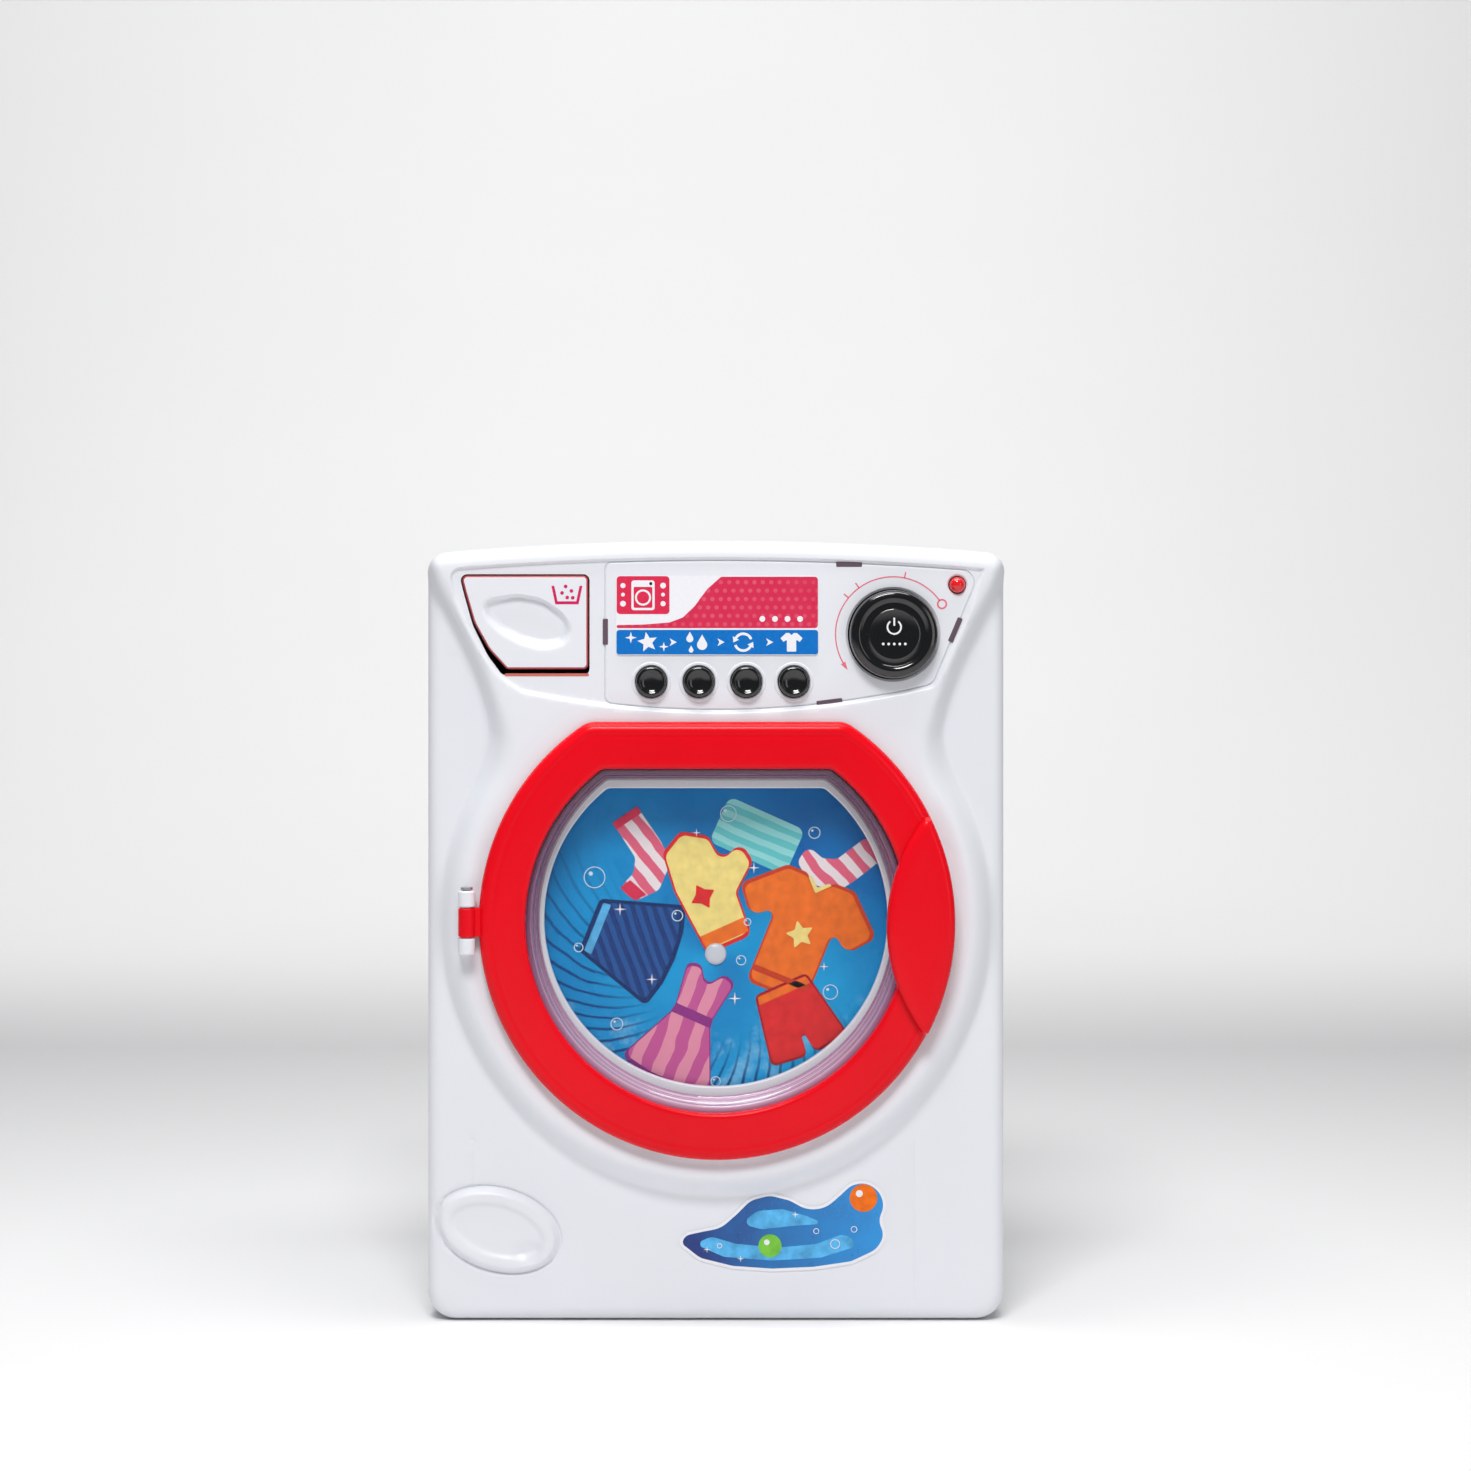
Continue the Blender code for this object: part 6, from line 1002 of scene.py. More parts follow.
def hinge_ears():
    solid = Solid()
    for sign in (-1, 1):
        near = DOOR_Z + sign * (0.0045 + FIT)
        low, high = sorted((near, near + sign * 0.0050))
        tube(solid, HINGE_X, HINGE_Y, low, high, KNUCKLE_RADIUS)
        cuboid(solid, (HINGE_X - KNUCKLE_RADIUS, HINGE_Y, low + 0.0002),
               (HINGE_X + KNUCKLE_RADIUS * 0.6, FACE_Y + 0.0010, high - 0.0002))
    return solid.finish("hinge_ears", WHITE, "body", (), "white_shell")


def lens_outline(inset, steps=60):
    """The handle pad: the door's circle on the right and a second arc on the left."""
    outer, second = DOOR_RADIUS - FIT - inset, 0.0544 - inset
    centre = Vector((0.0522 + 0.0544, -0.0012))
    span = centre.length
    along = (outer**2 - second**2 + span**2) / (2 * span)
    rise = math.sqrt(outer**2 - along**2)
    tilt = math.atan2(centre.y, centre.x)
    half, far_half = math.atan2(rise, along), math.atan2(rise, span - along)
    tip, far_tip = 0.0016 / outer, 0.0016 / second
    made = []
    for k in range(steps + 1):
        angle = tilt - half + tip + (2 * half - 2 * tip) * k / steps
        made.append((outer * math.cos(angle), DOOR_Z + outer * math.sin(angle)))
    for k in range(steps + 1):
        angle = tilt + math.pi - far_half + far_tip + (2 * far_half - 2 * far_tip) * k / steps
        made.append((centre.x + second * math.cos(angle), DOOR_Z + centre.y + second * math.sin(angle)))
    return np.array(made)


HANDLE_BACK_Y, HANDLE_Y = DOOR_Y - FIT, DOOR_Y - FIT - 0.0037


def door_handle():
    solid = Solid()
    edge = arc((0, HANDLE_Y + 0.0024), (0.0022, HANDLE_Y + 0.0002), 6, False)
    profile = [(0, HANDLE_BACK_Y), *edge, (0.0034, HANDLE_Y), (0.0050, HANDLE_Y)]
    solid.slab(*((lens_outline(inset), y) for inset, y in profile))
    return solid.finish("door_handle_pad", RED, "door", ["door_handle"], "red_gloss")


def door_window():
    """A clear dish: flange, wall with two fine steps, flat floor."""
    solid = Solid()
    flange, wall = DOOR_BACK_Y + FIT, 0.0014
    floor_back = LIP_Y - FIT
    floor = floor_back - wall
    front = [
        (0.0126, flange), (0.0150, flange), *arc((0.0152, flange), (0.0164, flange + 0.0007), 3, True),
        (0.0164, flange + 0.0007), (0.0166, flange + 0.0030), (0.0170, flange + 0.0034),
        (0.0172, flange + 0.0050), *arc((0.0174, floor - 0.0012), (0.0190, floor), 5, False),
    ]
    solid_front = [(d_outline(i), y) for i, y in front]
    back = [(0.0180, floor_back), (0.0168, floor_back - 0.0004), (0.0154, floor_back - 0.0014),
            (0.0150, flange + wall), (0.0126, flange + wall)]
    solid_back = [(d_outline(i), y) for i, y in back]
    solid.chain(*solid_front)
    solid.cap(*solid_front[-1])
    solid.chain(*solid_back, solid_front[0])
    solid.cap(*solid_back[0])
    dish = solid.finish("door_window_dish", CLEAR, "door", ["door_window"], "clear_window")
    dish.data.materials.append(DISH_WALL_PAINTED_LIGHT)
    centres = np.array([tuple(face.center) for face in dish.data.polygons])
    # Faces of the dish's wall take the material with painted shade, painted highlight and painted
    # reflection lines.
    depth = distance(centres[:, [0, 2]], d_outline(0))
    for face, inset in zip(dish.data.polygons, depth):
        face.material_index = int(inset < 0.0186)
    return dish


# Flat prints


FILM = 0.03 * MM


def printed(name, shapes, y, look, body="body", thick=FILM, slot="printed_film"):
    """Thin flat shapes; each is an outline, or a pair of an outline and its holes."""
    solid = Solid()
    for shape in shapes:
        outer, holes = shape if isinstance(shape, tuple) else (shape, ())
        for level in (y - thick, y):
            if len(holes):
                solid.fill(outer, holes, flat_at(level))
            else:
                solid.cap(outer, level)
        for loop in (outer, *holes):
            solid.chain((loop, y - thick), (loop, y))
    return solid.finish(name, look, body, (), slot)


def arc_band(x, z, radius, width, start, end, steps=40):
    """A band along an arc; angles in degrees."""
    angles = np.radians(np.linspace(start, end, steps + 1))
    far, near = (polar(x, z, radius + side * width / 2, angles) for side in (1, -1))
    return np.concatenate([far, near[::-1]])


def placed(points, x, z, scale=1, turn=0):
    c, s = math.cos(math.radians(turn)), math.sin(math.radians(turn))
    return np.array(points) * scale @ np.array([[c, s], [-s, c]]) + (x, z)


def soft_shape(points, rounding, steps=5):
    return filleted([(x, z, rounding) for x, z in points], steps)


def star(points, inner=0.45):
    reach = np.array([1, inner] * points)[::-1]
    angles = math.pi / 2 - math.pi / points * np.arange(2 * points)[::-1]
    return np.stack([reach * np.cos(angles), reach * np.sin(angles)], 1)


def drop_shape():
    return np.concatenate([[(0.0, 1.35)], polar(0, -0.1, 0.72, np.radians(np.linspace(150, 390, 21)))])


def percent(*values):
    """Points (x, z) from coordinates in hundredths."""
    return np.array(values).reshape(-1, 2) / 100


def box(half_width, half_height):
    wide, high = half_width, half_height
    return [(-wide, -high), (wide, -high), (wide, high), (-wide, high)]


TEE = percent(-50, -100, 50, -100, 50, 30, 85, 2, 118, 42, 58, 98, 24, 98, 0, 74, -24, 98, -58, 98,
              -118, 42, -85, 2, -50, 30)
SOCK = percent(-95, -95, -30, -105, 36, -62, 42, -5, 42, 100, -32, 100, -34, -5, -60, -35, -112, -45)
SKIRT = percent(-100, -72, -50, -86, 0, -90, 50, -86, 100, -72, 52, 80, -52, 80)
SHORTS = percent(-92, -78, -10, -88, 0, -10, 10, -88, 92, -78, 62, 80, -62, 80)
MITTEN = percent(-42, -100, 40, -100, 46, -25, 92, 12, 86, 50, 44, 34, 40, 82, 0, 108, -42, 86, -50, 20)
DRESS = percent(-86, -105, -30, -115, 30, -115, 86, -105, 34, 10, 46, 92, 22, 98, 0, 66, -22, 98, -46, 92,
                -34, 10)


# Control panel


LABEL_BOX = (-0.0311, 0.0315, 0.2076, 0.2322)
LABEL_THICK, STICKER_THICK = 0.00026, 0.00024
BUTTON_PITCH = 0.0147
BUTTON_XS = [-0.0202 + BUTTON_PITCH * k for k in range(4)]
BUTTON_Z, BUTTON_RADIUS, BUTTON_PROUD = 0.1993, 0.0047, 0.0026
POWER_AT, POWER_RADIUS, POWER_PROUD = (0.0546, 0.2140), 0.0136, 0.0052
LED_AT, LED_RADIUS, LED_PROUD = (0.0745, 0.2293), 0.0025, 0.0022
PANEL_THICK, PROUD = 0.0032, 0.00001
FLANGE_Y, FLANGE_BACK_Y = PANEL_Y + 0.0035, PANEL_Y + 0.0045


def rounded_front(outline_at, front, edge, steps=5):
    """Loops that round a plate's front edge: outline_at takes an inset."""
    return [(outline_at(inset), y) for inset, y in arc((0, front + edge), (edge, front), steps, False)]


def control_panel():
    solid = Solid()
    counts = split_counts(panel_outline(), 1.6 * MM)
    edge = 0.0004
    loops = rounded_front(lambda inset: panel_split(counts, -inset), PANEL_Y, edge)
    back = PANEL_Y + PANEL_THICK
    face = loops[-1][0]
    collars = [circle(x, BUTTON_Z, BUTTON_RADIUS + 0.0015, 48) for x in BUTTON_XS]
    bores = [circle(x, BUTTON_Z, BUTTON_RADIUS + 0.0003, 48) for x in BUTTON_XS]
    power_rim, power = (circle(*POWER_AT, POWER_RADIUS + gap, 96) for gap in (0.0011, 0.0004))
    lamp_rim, lamp = (circle(*LED_AT, LED_RADIUS + gap, 40) for gap in (0.0008, 0.0003))
    solid.fill(face, [*collars, power_rim, lamp_rim], flat_at(PANEL_Y))
    sides, rim = panel_split(counts), panel_split(counts, 0.0020)
    rim_y = HOOD_INSIDE_Y + FIT
    wide = panel_split(counts, 0.00027)
    solid.chain(*loops[::-1], (sides, PANEL_Y + 0.00042), (wide, PANEL_Y + 0.0005), (wide, rim_y),
                (rim, rim_y), (rim, back))
    proud = PANEL_Y - 0.0004
    for collar, bore, x in zip(collars, bores, BUTTON_XS):
        top = circle(x, BUTTON_Z, BUTTON_RADIUS + 0.0012, 48)
        lip = circle(x, BUTTON_Z, BUTTON_RADIUS + 0.0006, 48)
        solid.chain((collar, PANEL_Y), (top, proud + 0.00006), (lip, proud), (bore, proud + 0.0003),
                    (bore, back))
    solid.chain((power_rim, PANEL_Y), (power, PANEL_Y + 0.0006), (power, back))
    solid.chain((lamp_rim, PANEL_Y), (lamp, PANEL_Y + 0.0004), (lamp, back))
    solid.fill(rim, [*bores, power, lamp], flat_at(back))
    return solid.finish("panel_insert", WHITE, "body", ["control_panel"], "white_shell")


def panel_split(counts, growth=0):
    return split(panel_outline(growth), counts)


def clip_slot_shades():
    """Painted shade of the slots over the clips that hold the panel, let into its edges: thin dark mauve
    sheets on its face.
    """
    low_x = BUTTON_XS[-1] + BUTTON_PITCH * 0.75
    high_x = (LABEL_BOX[1] + LED_AT[0]) / 2 - 0.012
    low_z, run = smile_z(PANEL_RIGHT_LOW), PANEL_RIGHT_TOP - PANEL_RIGHT_LOW
    rise, share = crown_z(PANEL_RIGHT_TOP, TOP_LIP) - low_z, 0.48
    places = (
        (PANEL_LEFT, 0.2148, 90),
        (low_x, smile_z(low_x), math.degrees(low_x / SMILE_RADIUS)),
        (PANEL_RIGHT_LOW + run * share, low_z + rise * share, math.degrees(math.atan2(rise, run))),
        (high_x, crown_z(high_x, TOP_LIP) - 0.0002, 0),
    )
    shape = soft_shape(box(0.0040, 0.0008), 0.0003, 3)
    shapes = [placed(shape, x, z, 1, turn) for x, z, turn in places]
    printed("clip_slot_shadows", shapes, PANEL_Y - PROUD, SLOT_SHADE, thick=0.00006, slot="white_shell")


def label():
    """The label's film, its colour fields and its pictograms: machine, stars, drops, cycle and shirt."""
    left, right, low, top = LABEL_BOX
    base = soft_shape([(left, low), (right, low), (right, top), (left, top)], 0.0013, 8)
    y = PANEL_Y - 0.0001
    solid = Solid()
    solid.slab((base, y), (base, y - LABEL_THICK))
    solid.finish("label_film", PAPER_WHITE, "body", ["display_label"], "printed_film")
    y -= LABEL_THICK

    def at(x, down):
        """A place in millimetres from the label's top left corner."""
        return left + x * MM, top - down * MM

    field = ((0.187, 16.276), (62.427, 16.276), (62.427, 0.405), (32.489, 0.405), (28.132, 4.263),
             (24.242, 9.554), (20.664, 12.977), (16.525, 14.533), (8.838, 15.155), (0.187, 15.342))
    square = ((0.187, 11.950), (16.525, 11.950), (16.525, 0.218), (0.187, 0.218))
    band = ((0.124, 24.429), (62.489, 24.429), (62.489, 16.836), (0.124, 16.836))
    for name, corners, rounding, look in (
        ("label_field", field, 0.0010, CRIMSON_DOTS),
        ("label_square", square, 0.0011, CRIMSON),
        ("label_band", band, 0.0009, BAND_BLUE),
    ):
        printed(name, [soft_shape([at(*corner) for corner in corners], rounding)], y, look)
    x, z = at(8.340, 6.131)
    door = [(-0.0029, -0.0039), (0.0029, -0.0039), (0.0029, 0.0026), (-0.0029, 0.0026)]
    marks = [
        (placed(soft_shape(box(0.0036, 0.0046), 0.0008), x, z), [placed(soft_shape(door, 0.0004), x, z)]),
        (circle(x, z - 0.0007, 0.0025, 32), [circle(x, z - 0.0007, 0.0019, 32)]),
        circle(x + 0.0024, z + 0.0036, 0.0005, 12),
    ]
    for k, size in enumerate((0.0009, 0.0006, 0.0008)):
        marks.append(circle(x - 0.0062, z - 0.0026 + 0.0028 * k, size, 16))
        marks.append(circle(x + 0.0062, z + 0.0030 - 0.0028 * k, size, 16))
    marks += [circle(*at(45.248 + 3.890 * k, 13.444), 0.0009, 20) for k in range(4)]
    row = 20.633
    for shape, across, rise, size, turn in (
        (star(5), 9.772, 0, 3.2, 10), (star(4, 0.3), 4.572, 1.4, 1.8, 0),
        (star(4, 0.3), 14.772, -1.4, 1.5, 0), (drop_shape(), 26.621, -0.6, 2.2, 0),
        (drop_shape(), 22.821, 1.2, 1.5, 0), (drop_shape(), 23.221, -2.4, 1.0, 0),
        (soft_shape(TEE, 0.08), 54.273, 0, 2.9, 0),
    ):
        marks.append(placed(shape, *at(across, row - rise), size * MM, turn))
    x, z = at(39.336, row)
    tip = [(-0.0011, 0.0), (0.0011, 0.0), (0.0, 0.0016)]
    for turn in (0, 180):
        marks.append(arc_band(x, z, 0.0026, 0.0008, 20 + turn, 150 + turn, 16))
        marks.append(placed(tip, *polar_point(x, z, 0.0026, 150 + turn), 1, 150 + turn))
    arrow = [(-0.0010, -0.0012), (0.0012, 0), (-0.0010, 0.0012), (-0.0004, 0)]
    marks += [placed(arrow, *at(across, row)) for across in (17.552, 32.365, 47.427)]
    printed("label_marks", marks, y - FILM, PAPER_WHITE)


def scale_print():
    """The pink scale round the power button: an arc with an arrowhead, ticks and a small ring."""
    radius = 0.0178
    shapes = [arc_band(*POWER_AT, radius, 0.00038, 36, 210, 90)]
    head = [(-0.0008, 0.0010), (0.0, -0.0016), (0.0008, 0.0010)]
    shapes.append(placed(head, *polar_point(*POWER_AT, radius, 213), 1, 213 - 180))
    for degrees in (140.6, 126.2, 78.5):
        place = polar_point(*POWER_AT, radius + 0.0010, degrees)
        shapes.append(placed(box(0.0009, 0.0002), *place, 1, degrees))
    end = polar_point(*POWER_AT, radius, 31.7)
    shapes.append((circle(*end, 0.0016, 28), [circle(*end, 0.0011, 28)]))
    printed("power_scale", shapes, PANEL_Y - PROUD, PINK)


def cap_front(rows, radius, front):
    """A cap's profile from shares of its radius and depths in millimetres behind its front."""
    return [(radius * share, front + depth * MM) for share, depth in rows]


def program_buttons():
    rows = ((0, 0.90), (0.30, 0.86), (0.52, 0.70), (0.66, 0.36), (0.74, 0.10), (0.80, 0), (0.88, 0.06))
    front, r = PANEL_Y - BUTTON_PROUD, BUTTON_RADIUS
    stem, stem_end = 0.0026, PANEL_Y + 0.0078
    edge = arc((r - 0.0004, front + 0.00015), (r, front + 0.0009), 4, True)
    profile = [*cap_front(rows, r, front), *edge, (r, PANEL_Y + 0.0024), (r + 0.0011, FLANGE_Y),
               (r + 0.0011, FLANGE_BACK_Y), (stem, FLANGE_BACK_Y), (stem, stem_end), (0, stem_end)]
    for k, x in enumerate(BUTTON_XS, 1):
        cap = turned(profile, x, BUTTON_Z, 48)
        cap.finish(f"button_cap_{k}", BLACK, f"button_{k}", [f"program_button_{k}"], "black_gloss")


def power_button():
    """The large cap, hollow behind, with a groove that keeps clear of the spring when it is pressed."""
    front, r = PANEL_Y - POWER_PROUD, POWER_RADIUS
    rows = ((0, 1.0), (0.30, 0.94), (0.52, 0.72), (0.56, 0.60), (0.60, 0.85), (0.72, 0.75), (0.76, 0.3),
            (0.80, 0.05), (0.84, 0), (0.87, 0.1))
    edge = arc((r * 0.88, front + 0.00015), (r, front + 0.0022), 7, True)
    bore, inside, groove_end = 0.0112, front + 0.0034, front + 0.0012
    groove_far, groove_near = 0.0052, 0.0036
    profile = [*cap_front(rows, r, front), *edge, (r, FLANGE_Y), (r + 0.0013, FLANGE_Y),
               (r + 0.0013, FLANGE_BACK_Y), (bore, FLANGE_BACK_Y), (bore, inside), (groove_far, inside),
               (groove_far, groove_end), (groove_near, groove_end), (groove_near, inside), (0, inside)]
    cap = turned(profile, *POWER_AT, 128)
    cap.finish("power_cap", BLACK, "power_button", ["power_button"], "black_gloss")
    level = front + 0.00085
    symbol_z = POWER_AT[1] + 0.0022
    bar = [(-0.00027, 0.0004), (0.00027, 0.0004), (0.00027, 0.0029), (-0.00027, 0.0029)]
    shapes = [arc_band(POWER_AT[0], symbol_z, 0.0021, 0.00052, 125, 415, 40),
              placed(bar, POWER_AT[0], symbol_z)]
    printed("power_symbol", shapes, level, PAPER_WHITE, "power_button")
    dots = [circle(POWER_AT[0] + 0.0017 * k, POWER_AT[1] - 0.0030, 0.00042, 14) for k in (-2, -1, 0, 1, 2)]
    printed("power_dots", dots, level, PAPER_WHITE, "power_button")


def signal_lamp():
    front, r = PANEL_Y - LED_PROUD, LED_RADIUS
    dome = arc((0, front), (r, front + r), 10, True)
    flange = r + 0.0004
    profile = [*dome, (r, FLANGE_Y), (flange, FLANGE_Y), (flange, FLANGE_BACK_Y), (0, FLANGE_BACK_Y)]
    turned(profile, *LED_AT, 48).finish("signal_lamp", LAMP, "body", ["led"], "lamp_red")


# Detergent flap


FLAP_Y, FLAP_THICK = CONTROL_Y - 0.0006, 0.0026


def scoop_outline():
    wide, high = FLAP_RIGHT - FLAP_LEFT, FLAP_TOP_Z - FLAP_LOW_Z
    shares = percent(84, 70, 75, 77, 56, 81, 37, 77, 19, 60, 11, 42, 16, 25, 34, 17, 54, 24, 71, 37, 82, 54)
    return filleted([(FLAP_RIGHT - wide * a, FLAP_LOW_Z + high * b, 0.012) for a, b in shares], 6)


def detergent_flap():
    solid = Solid()
    counts = split_counts(flap_outline(), 0.8 * MM)
    back = FLAP_Y + FLAP_THICK
    loops = rounded_front(lambda inset: split(flap_outline(-inset), counts), FLAP_Y, 0.0008, 6)
    front_edge, scoop = loops[-1][0], even(scoop_outline(), 0.7 * MM)
    middle = scoop.mean(0)
    solid.chain((loops[0][0], back), *loops)
    solid.cap(loops[0][0], back)

    def level(points):
        away = distance(points, scoop)
        x, z = (points - middle).T
        high = np.clip((z + 0.25 * x) / 0.014 + 0.5, 0, 1)
        width = 0.0048 + (0.0011 - 0.0048) * high
        return FLAP_Y + 0.0021 * smooth_step(away, 0, width)

    inner = grid(0.75 * MM)
    inner = inner[((inner > (FLAP_LEFT, FLAP_LOW_Z)) & (inner < (FLAP_RIGHT, FLAP_TOP_Z))).all(1)]
    inner = clear_of(inner[distance(inner, front_edge) > 0.6 * MM], scoop, 0.4 * MM)
    solid.fill(front_edge, [], level, [scoop], inner)
    flap = solid.finish("flap_cover", WHITE, "flap", ["detergent_flap"], "white_shell")
    flap.data.materials.append(FLAP_GAP_SHADE)
    # Painted shade: faces on the flap's rounded front edge take the red-brown of the shaded gap round it.
    border = split(flap_outline(-0.00052), counts)
    centres = np.array([tuple(face.center) for face in flap.data.polygons])
    for face, away in zip(flap.data.polygons, distance(centres[:, [0, 2]], border)):
        face.material_index = int(away < 0 and face.center.y < back - 1e-5)
    return flap


def flap_sill_shade():
    """Painted shade: a red-brown line along the lower lip of the flap's opening, where the wide gap below
    the flap is shaded.
    """
    line = [(-0.0655, 0.2010), (-0.0395, 0.2010), (-0.0395, 0.2019), (-0.0655, 0.2019)]
    printed("flap_sill_shade", [soft_shape(line, 0.0003)], CONTROL_Y - PROUD, SILL_SHADE)


def flap_mark():
    """A pictogram of a dish with powder."""
    x, z = -0.0463, 0.2262
    dish = [(-0.0048, 0.0028), (-0.0039, 0.0028), (-0.0029, -0.0020), (0.0029, -0.0020), (0.0039, 0.0028),
            (0.0048, 0.0028), (0.0036, -0.0029), (-0.0036, -0.0029)]
    shapes = [placed(dish, x, z)]
    for dx, dz in ((-1.5, 0.6), (1.4, 1.2), (0.1, -0.8), (-0.4, 2.6), (1.8, -0.9)):
        shapes.append(circle(x + dx * MM, z + dz * MM, 0.00058, 12))
    printed("flap_pictogram", shapes, FLAP_Y - PROUD, MAGENTA, "flap")


# Drum picture

LAYER = 0.02 * MM


def drum_picture():
    radius = DRUM_RADIUS - 0.0020
    back = PICTURE_Y + 0.0003
    profile = [(0, PICTURE_Y), (radius * 0.5, PICTURE_Y), (radius - 0.0001, PICTURE_Y),
               (radius, PICTURE_Y + 0.0001), (radius, back), (0, back)]
    turned(profile, *DRUM_AT, 160).finish("water_print", WATER, "drum", ["drum_picture"], "printed_film")


def on_drum(x, z):
    """A place given in millimetres from the drum's axis."""
    return DRUM_AT[0] + x * MM, DRUM_AT[1] + z * MM


def motif(name, shape, place, look, level, rounding, border=None, grow=1.10):
    """A printed shape: place is x, z, size and turn on the drum; border is a wider shape's ink."""
    x, z, size, turn = place
    y = PICTURE_Y - LAYER * level
    flat = soft_shape(shape, rounding)
    if border:
        wide = placed(flat, *on_drum(x, z), size * grow * MM, turn)
        printed(f"{name}_outline", [wide], y, border, "drum", LAYER)
        y -= LAYER
    printed(name, [placed(flat, *on_drum(x, z), size * MM, turn)], y, look, "drum", LAYER)


def laundry():
    tee, mitten, skirt = (26, 6, 18.5, -22), (-3, 20, 17.5, 24), (-27, 4, 15.5, 68)
    dress, shorts, sock = (-8, -21, 17, -24), (25, -20, 13.5, 24), (-22, 33, 12.5, 34)
    motif("towel", box(1, 0.6), (13, 37, 13, -24), TEAL_STRIPES, 1, 0.2)
    motif("navy_skirt", SKIRT, skirt, NAVY_STRIPES, 1, 0.12, NAVY)
    motif("orange_tee", TEE, tee, ORANGE, 3, 0.14, DARK_ORANGE, 1.06)
    motif("yellow_mitten", MITTEN, mitten, PALE_YELLOW, 5, 0.16, RED_INK, 1.07)
    motif("sock_one", SOCK, sock, PINK_STRIPES, 2, 0.22)
    motif("sock_two", SOCK, (41, 27, 11.5, -52), PINK_STRIPES, 1, 0.22)
    motif("red_shorts", SHORTS, shorts, RED_INK, 7, 0.14, DARK_RED, 1.06)
    motif("pink_dress", DRESS, dress, PINK_CHECK, 7, 0.12, PURPLE, 1.06)
    motif("orange_star", star(5, 0.5), (26.5, 6, 4.6, 12), PALE_YELLOW, 11, 0.05)
    motif("yellow_flower", star(4, 0.55), (-4, 18, 4.2, 30), RED_INK, 11, 0.05)
    trims = (
        ("tee_hem", tee, DARK_ORANGE, (-50, -84, 50, -84, 50, -74, -50, -74)),
        ("tee_collar", tee, PALE_YELLOW, (-22, 98, 0, 76, 22, 98, 16, 100, 0, 86, -16, 100)),
        ("mitten_cuff", mitten, ORANGE, (-42, -98, 40, -98, 42, -72, -44, -72)),
        ("skirt_band", skirt, PALE_BLUE, (-54, 62, 54, 62, 52, 78, -52, 78)),
        ("dress_belt", dress, PURPLE, (-40, 2, 40, 2, 37, 20, -37, 20)),
        ("shorts_band", shorts, ORANGE, (-64, 60, 64, 60, 61, 78, -61, 78)),
        ("sock_cuff", sock, CRIMSON, (-34, 80, 42, 80, 42, 100, -32, 100)),
        ("sock_toe", sock, CRIMSON, (-95, -92, -62, -98, -76, -44, -108, -46)),
    )
    for name, place, look, corners in trims:
        motif(name, percent(*corners), place, look, 11, 0.02)
    bubbles = ((-38, 24, 3.4), (4, 44, 2.6), (-12, 12, 1.8), (36, -12, 2.4), (-31, -22, 2.0), (8, -2, 1.6),
               (-43, 2, 1.5), (10, 10, 1.2), (31, 38, 1.9), (0, -40, 1.6))
    for k, (x, z, r) in enumerate(bubbles):
        ring = (circle(*on_drum(x, z), r * MM, 32), [circle(*on_drum(x, z), (r - 0.28) * MM, 32)])
        glint = circle(*on_drum(x - r * 0.35, z + r * 0.35), r * 0.2 * MM, 12)
        printed(f"bubble_{k}", [ring, glint], PICTURE_Y - 13 * LAYER, BUBBLE, "drum", LAYER)
    sparks = ((-30, 14, 2.0), (12, 27, 1.8), (34, -4, 1.5), (-20, -8, 1.8), (6, -14, 2.1), (-6, 38, 1.4))
    shapes = [placed(star(4, 0.18), *on_drum(x, z), size * MM) for x, z, size in sparks]
    printed("sparkles", shapes, PICTURE_Y - 14.5 * LAYER, PAPER_WHITE, "drum", LAYER)


def drum_cap():
    back = PICTURE_Y - 0.0001
    dome = arc((0, back - 0.0014), (0.0034, back), 10, True)
    cap = turned([*dome, (0, back)], *DRUM_AT, 48)
    cap.finish("hub_cap", CAP_GREY, "drum", ["drum_cap"], "grey_plastic")


# Sticker


STICKER_BOX = (-0.0120, 0.0534, 0.0156, 0.0442)


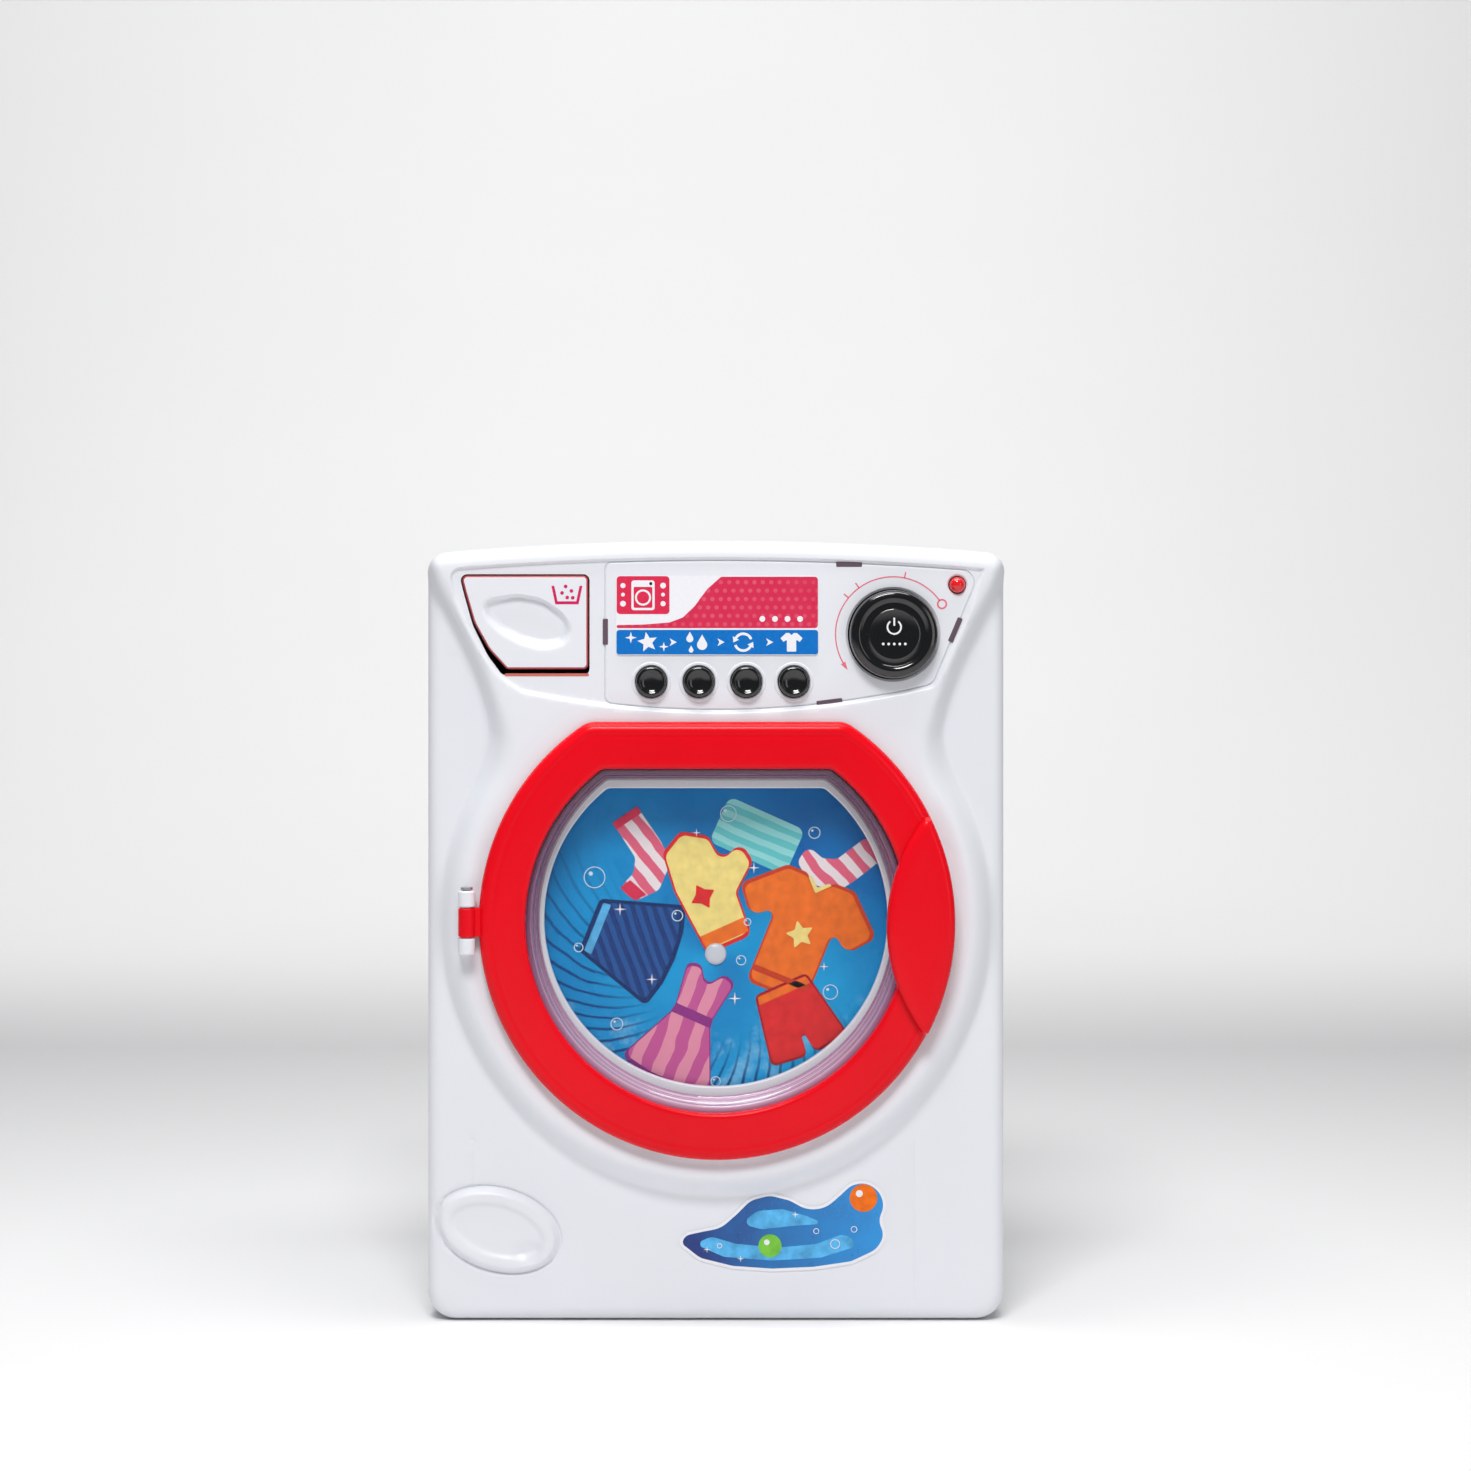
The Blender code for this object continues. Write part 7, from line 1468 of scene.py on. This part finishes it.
def sticker():
    left, right, low, top = STICKER_BOX

    def at(a, b):
        return left + (right - left) * a, low + (top - low) * b

    def shape(*values):
        return soft_shape([at(*share) for share in percent(*values)], 0.004)

    edge = percent(0, 30, 10, 12, 26, 3, 45, 0, 65, 2, 83, 8, 96, 22, 100, 40, 97, 55, 100, 72, 97, 90,
                   90, 100, 82, 97, 77, 86, 70, 72, 62, 70, 54, 80, 44, 86, 34, 80, 27, 64, 20, 50,
                   11, 46, 3, 42)
    corners = [(*at(*share), 0.008) for share in edge]
    y = FACE_Y - 0.0001
    base = filleted(corners, 6)
    solid = Solid()
    solid.slab((base, y), (base, y - STICKER_THICK))
    solid.finish("sticker_film", PAPER_WHITE, "body", ["front_sticker"], "printed_film")
    y -= STICKER_THICK
    printed("sticker_wave", [filleted(grown(corners, -0.0009), 6)], y, WAVE_BLUE)
    crest = shape(8, 30, 22, 16, 45, 12, 68, 15, 86, 28, 80, 42, 66, 30, 48, 26, 28, 30, 16, 38)
    second = shape(30, 52, 40, 46, 56, 50, 70, 52, 62, 60, 50, 68, 38, 66)
    printed("sticker_crests", [crest, second], y - FILM, PALE_BLUE)
    (x, z), (low_x, low_z) = at(0.885, 0.80), at(0.44, 0.28)
    printed("sticker_orange", [circle(x, z, 0.0043, 40)], y - FILM, ORANGE)
    printed("sticker_green", [circle(low_x, low_z, 0.0036, 40)], y - 2 * FILM, GREEN)
    shines = [circle(x - 0.0013, z + 0.0014, 0.0011, 16), circle(low_x - 0.001, low_z + 0.0011, 0.0009, 16)]
    for a, b, r in ((0.75, 0.30, 1.5), (0.66, 0.44, 0.9), (0.20, 0.28, 0.8), (0.84, 0.46, 1.0)):
        shines.append((circle(*at(a, b), r * MM, 20), [circle(*at(a, b), (r - 0.2) * MM, 20)]))
    for a, b in ((0.14, 0.24), (0.30, 0.14), (0.56, 0.62)):
        shines.append(placed(star(4, 0.2), *at(a, b), 0.0011))
    printed("sticker_shines", shines, y - 3 * FILM, PAPER_WHITE)


# Carried-over nodes


LOOKS = (
    ("screw", STEEL), ("pin", STEEL), ("spring", STEEL), ("contact", STEEL), ("axle", STEEL),
    ("shaft", STEEL), ("pinion", NYLON), ("gear", NYLON), ("motor", STEEL), ("board", BOARD),
    ("keypad", RUBBER), ("switch", BLACK), ("cone", CONE), ("speaker", GREY), ("drum", DRUM_BLUE),
    ("rear_ring", RED), ("battery_cover", WHITE), ("battery", JACKET), ("tub", GREY), ("tray", WHITE),
)


def look_of(name):
    if name.startswith("gearbox_plate"):
        return GREY
    return next((look for word, look in LOOKS if word in name), GREY)


def dress_frame():
    """Each CAD node takes a material by what it is, and a fine bevel on its edges."""
    for name, obj in frame["nodes"].items():
        obj.data.materials.clear()
        obj.data.materials.append(look_of(name))
        bevel = obj.modifiers.new("edges", "BEVEL")
        bevel.width, bevel.segments, bevel.limit_method = 0.00015, 2, "ANGLE"
        bevel.angle_limit = math.radians(40)


# Stage, camera and lights


def area_light(name, at, towards, size, power, colour=(1, 1, 1)):
    data = bpy.data.lights.new(name, "AREA")
    data.shape, data.energy, data.color = "RECTANGLE", power, colour
    data.size, data.size_y = size
    obj = bpy.data.objects.new(name, data)
    obj.location = at
    obj.rotation_euler = (Vector(towards) - Vector(at)).to_track_quat("-Z", "Y").to_euler()
    bpy.context.scene.collection.objects.link(obj)


def sweep_floor():
    """A pale floor that curves up into the backdrop."""
    look = Look("studio_paper", Roughness=0.9, Specular_IOR_Level=0.1)
    look.colour(look.mixed(look.noise(3, 2), (0.88, 0.88, 0.88), (0.91, 0.91, 0.91)))
    bm = bmesh.new()
    rows = [(-4.0, 0), (-1.0, 0), (1.2, 0)]
    rows += [(1.2 + 1.0 * math.sin(a), 1.0 - 1.0 * math.cos(a)) for a in np.linspace(0.1, math.pi / 2, 14)]
    rows.append((2.2, 4.0))
    loops = [[bm.verts.new((x, y, z - 0.0002)) for x in np.linspace(-5, 5, 21)] for y, z in rows]
    for near, far in zip(loops, loops[1:]):
        for i in range(20):
            bm.faces.new((near[i], near[i + 1], far[i + 1], far[i]))
    mesh = bpy.data.meshes.new("studio_sweep")
    bm.to_mesh(mesh)
    bm.free()
    mesh.shade_smooth()
    mesh.materials.append(look.made)
    obj = bpy.data.objects.new("studio_sweep", mesh)
    bpy.context.scene.collection.objects.link(obj)


def world():
    made = bpy.data.worlds.new("studio")
    made.use_nodes = True
    back = made.node_tree.nodes["Background"]
    back.inputs[0].default_value = (0.93, 0.95, 1.0, 1)
    back.inputs[1].default_value = 0.14
    bpy.context.scene.world = made


def camera():
    data = bpy.data.cameras.new("camera")
    data.sensor_width, data.lens = 36, 70.7
    data.shift_x, data.shift_y = 0.059, -0.060
    obj = bpy.data.objects.new("camera", data)
    obj.location, obj.rotation_euler = (-0.021, FACE_Y - 0.900, 0.210), (math.radians(90), 0, 0)
    bpy.context.scene.collection.objects.link(obj)
    bpy.context.scene.camera = obj
    bpy.context.scene.view_settings.view_transform = "Standard"


front_shell()
rear_shell()
door_frame()
hinge_ears()
door_handle()
door_window()
control_panel()
clip_slot_shades()
label()
scale_print()
program_buttons()
power_button()
signal_lamp()
detergent_flap()
flap_sill_shade()
flap_mark()
drum_picture()
laundry()
drum_cap()
sticker()
dress_frame()
sweep_floor()
world()
camera()
area_light("key", (-0.10, -0.85, 1.15), (0, 0, 0.12), (0.50, 0.30), 11)
area_light("fill", (0.9, -1.1, 0.35), (0, 0, 0.12), (0.35, 0.9), 1.5, (1, 0.96, 0.94))
area_light("top", (0, -0.15, 1.1), (0, -0.05, 0.15), (0.9, 0.3), 6)
area_light("backdrop", (0, 0.75, 1.0), (0, 2.4, 0.7), (2.4, 0.5), 18)
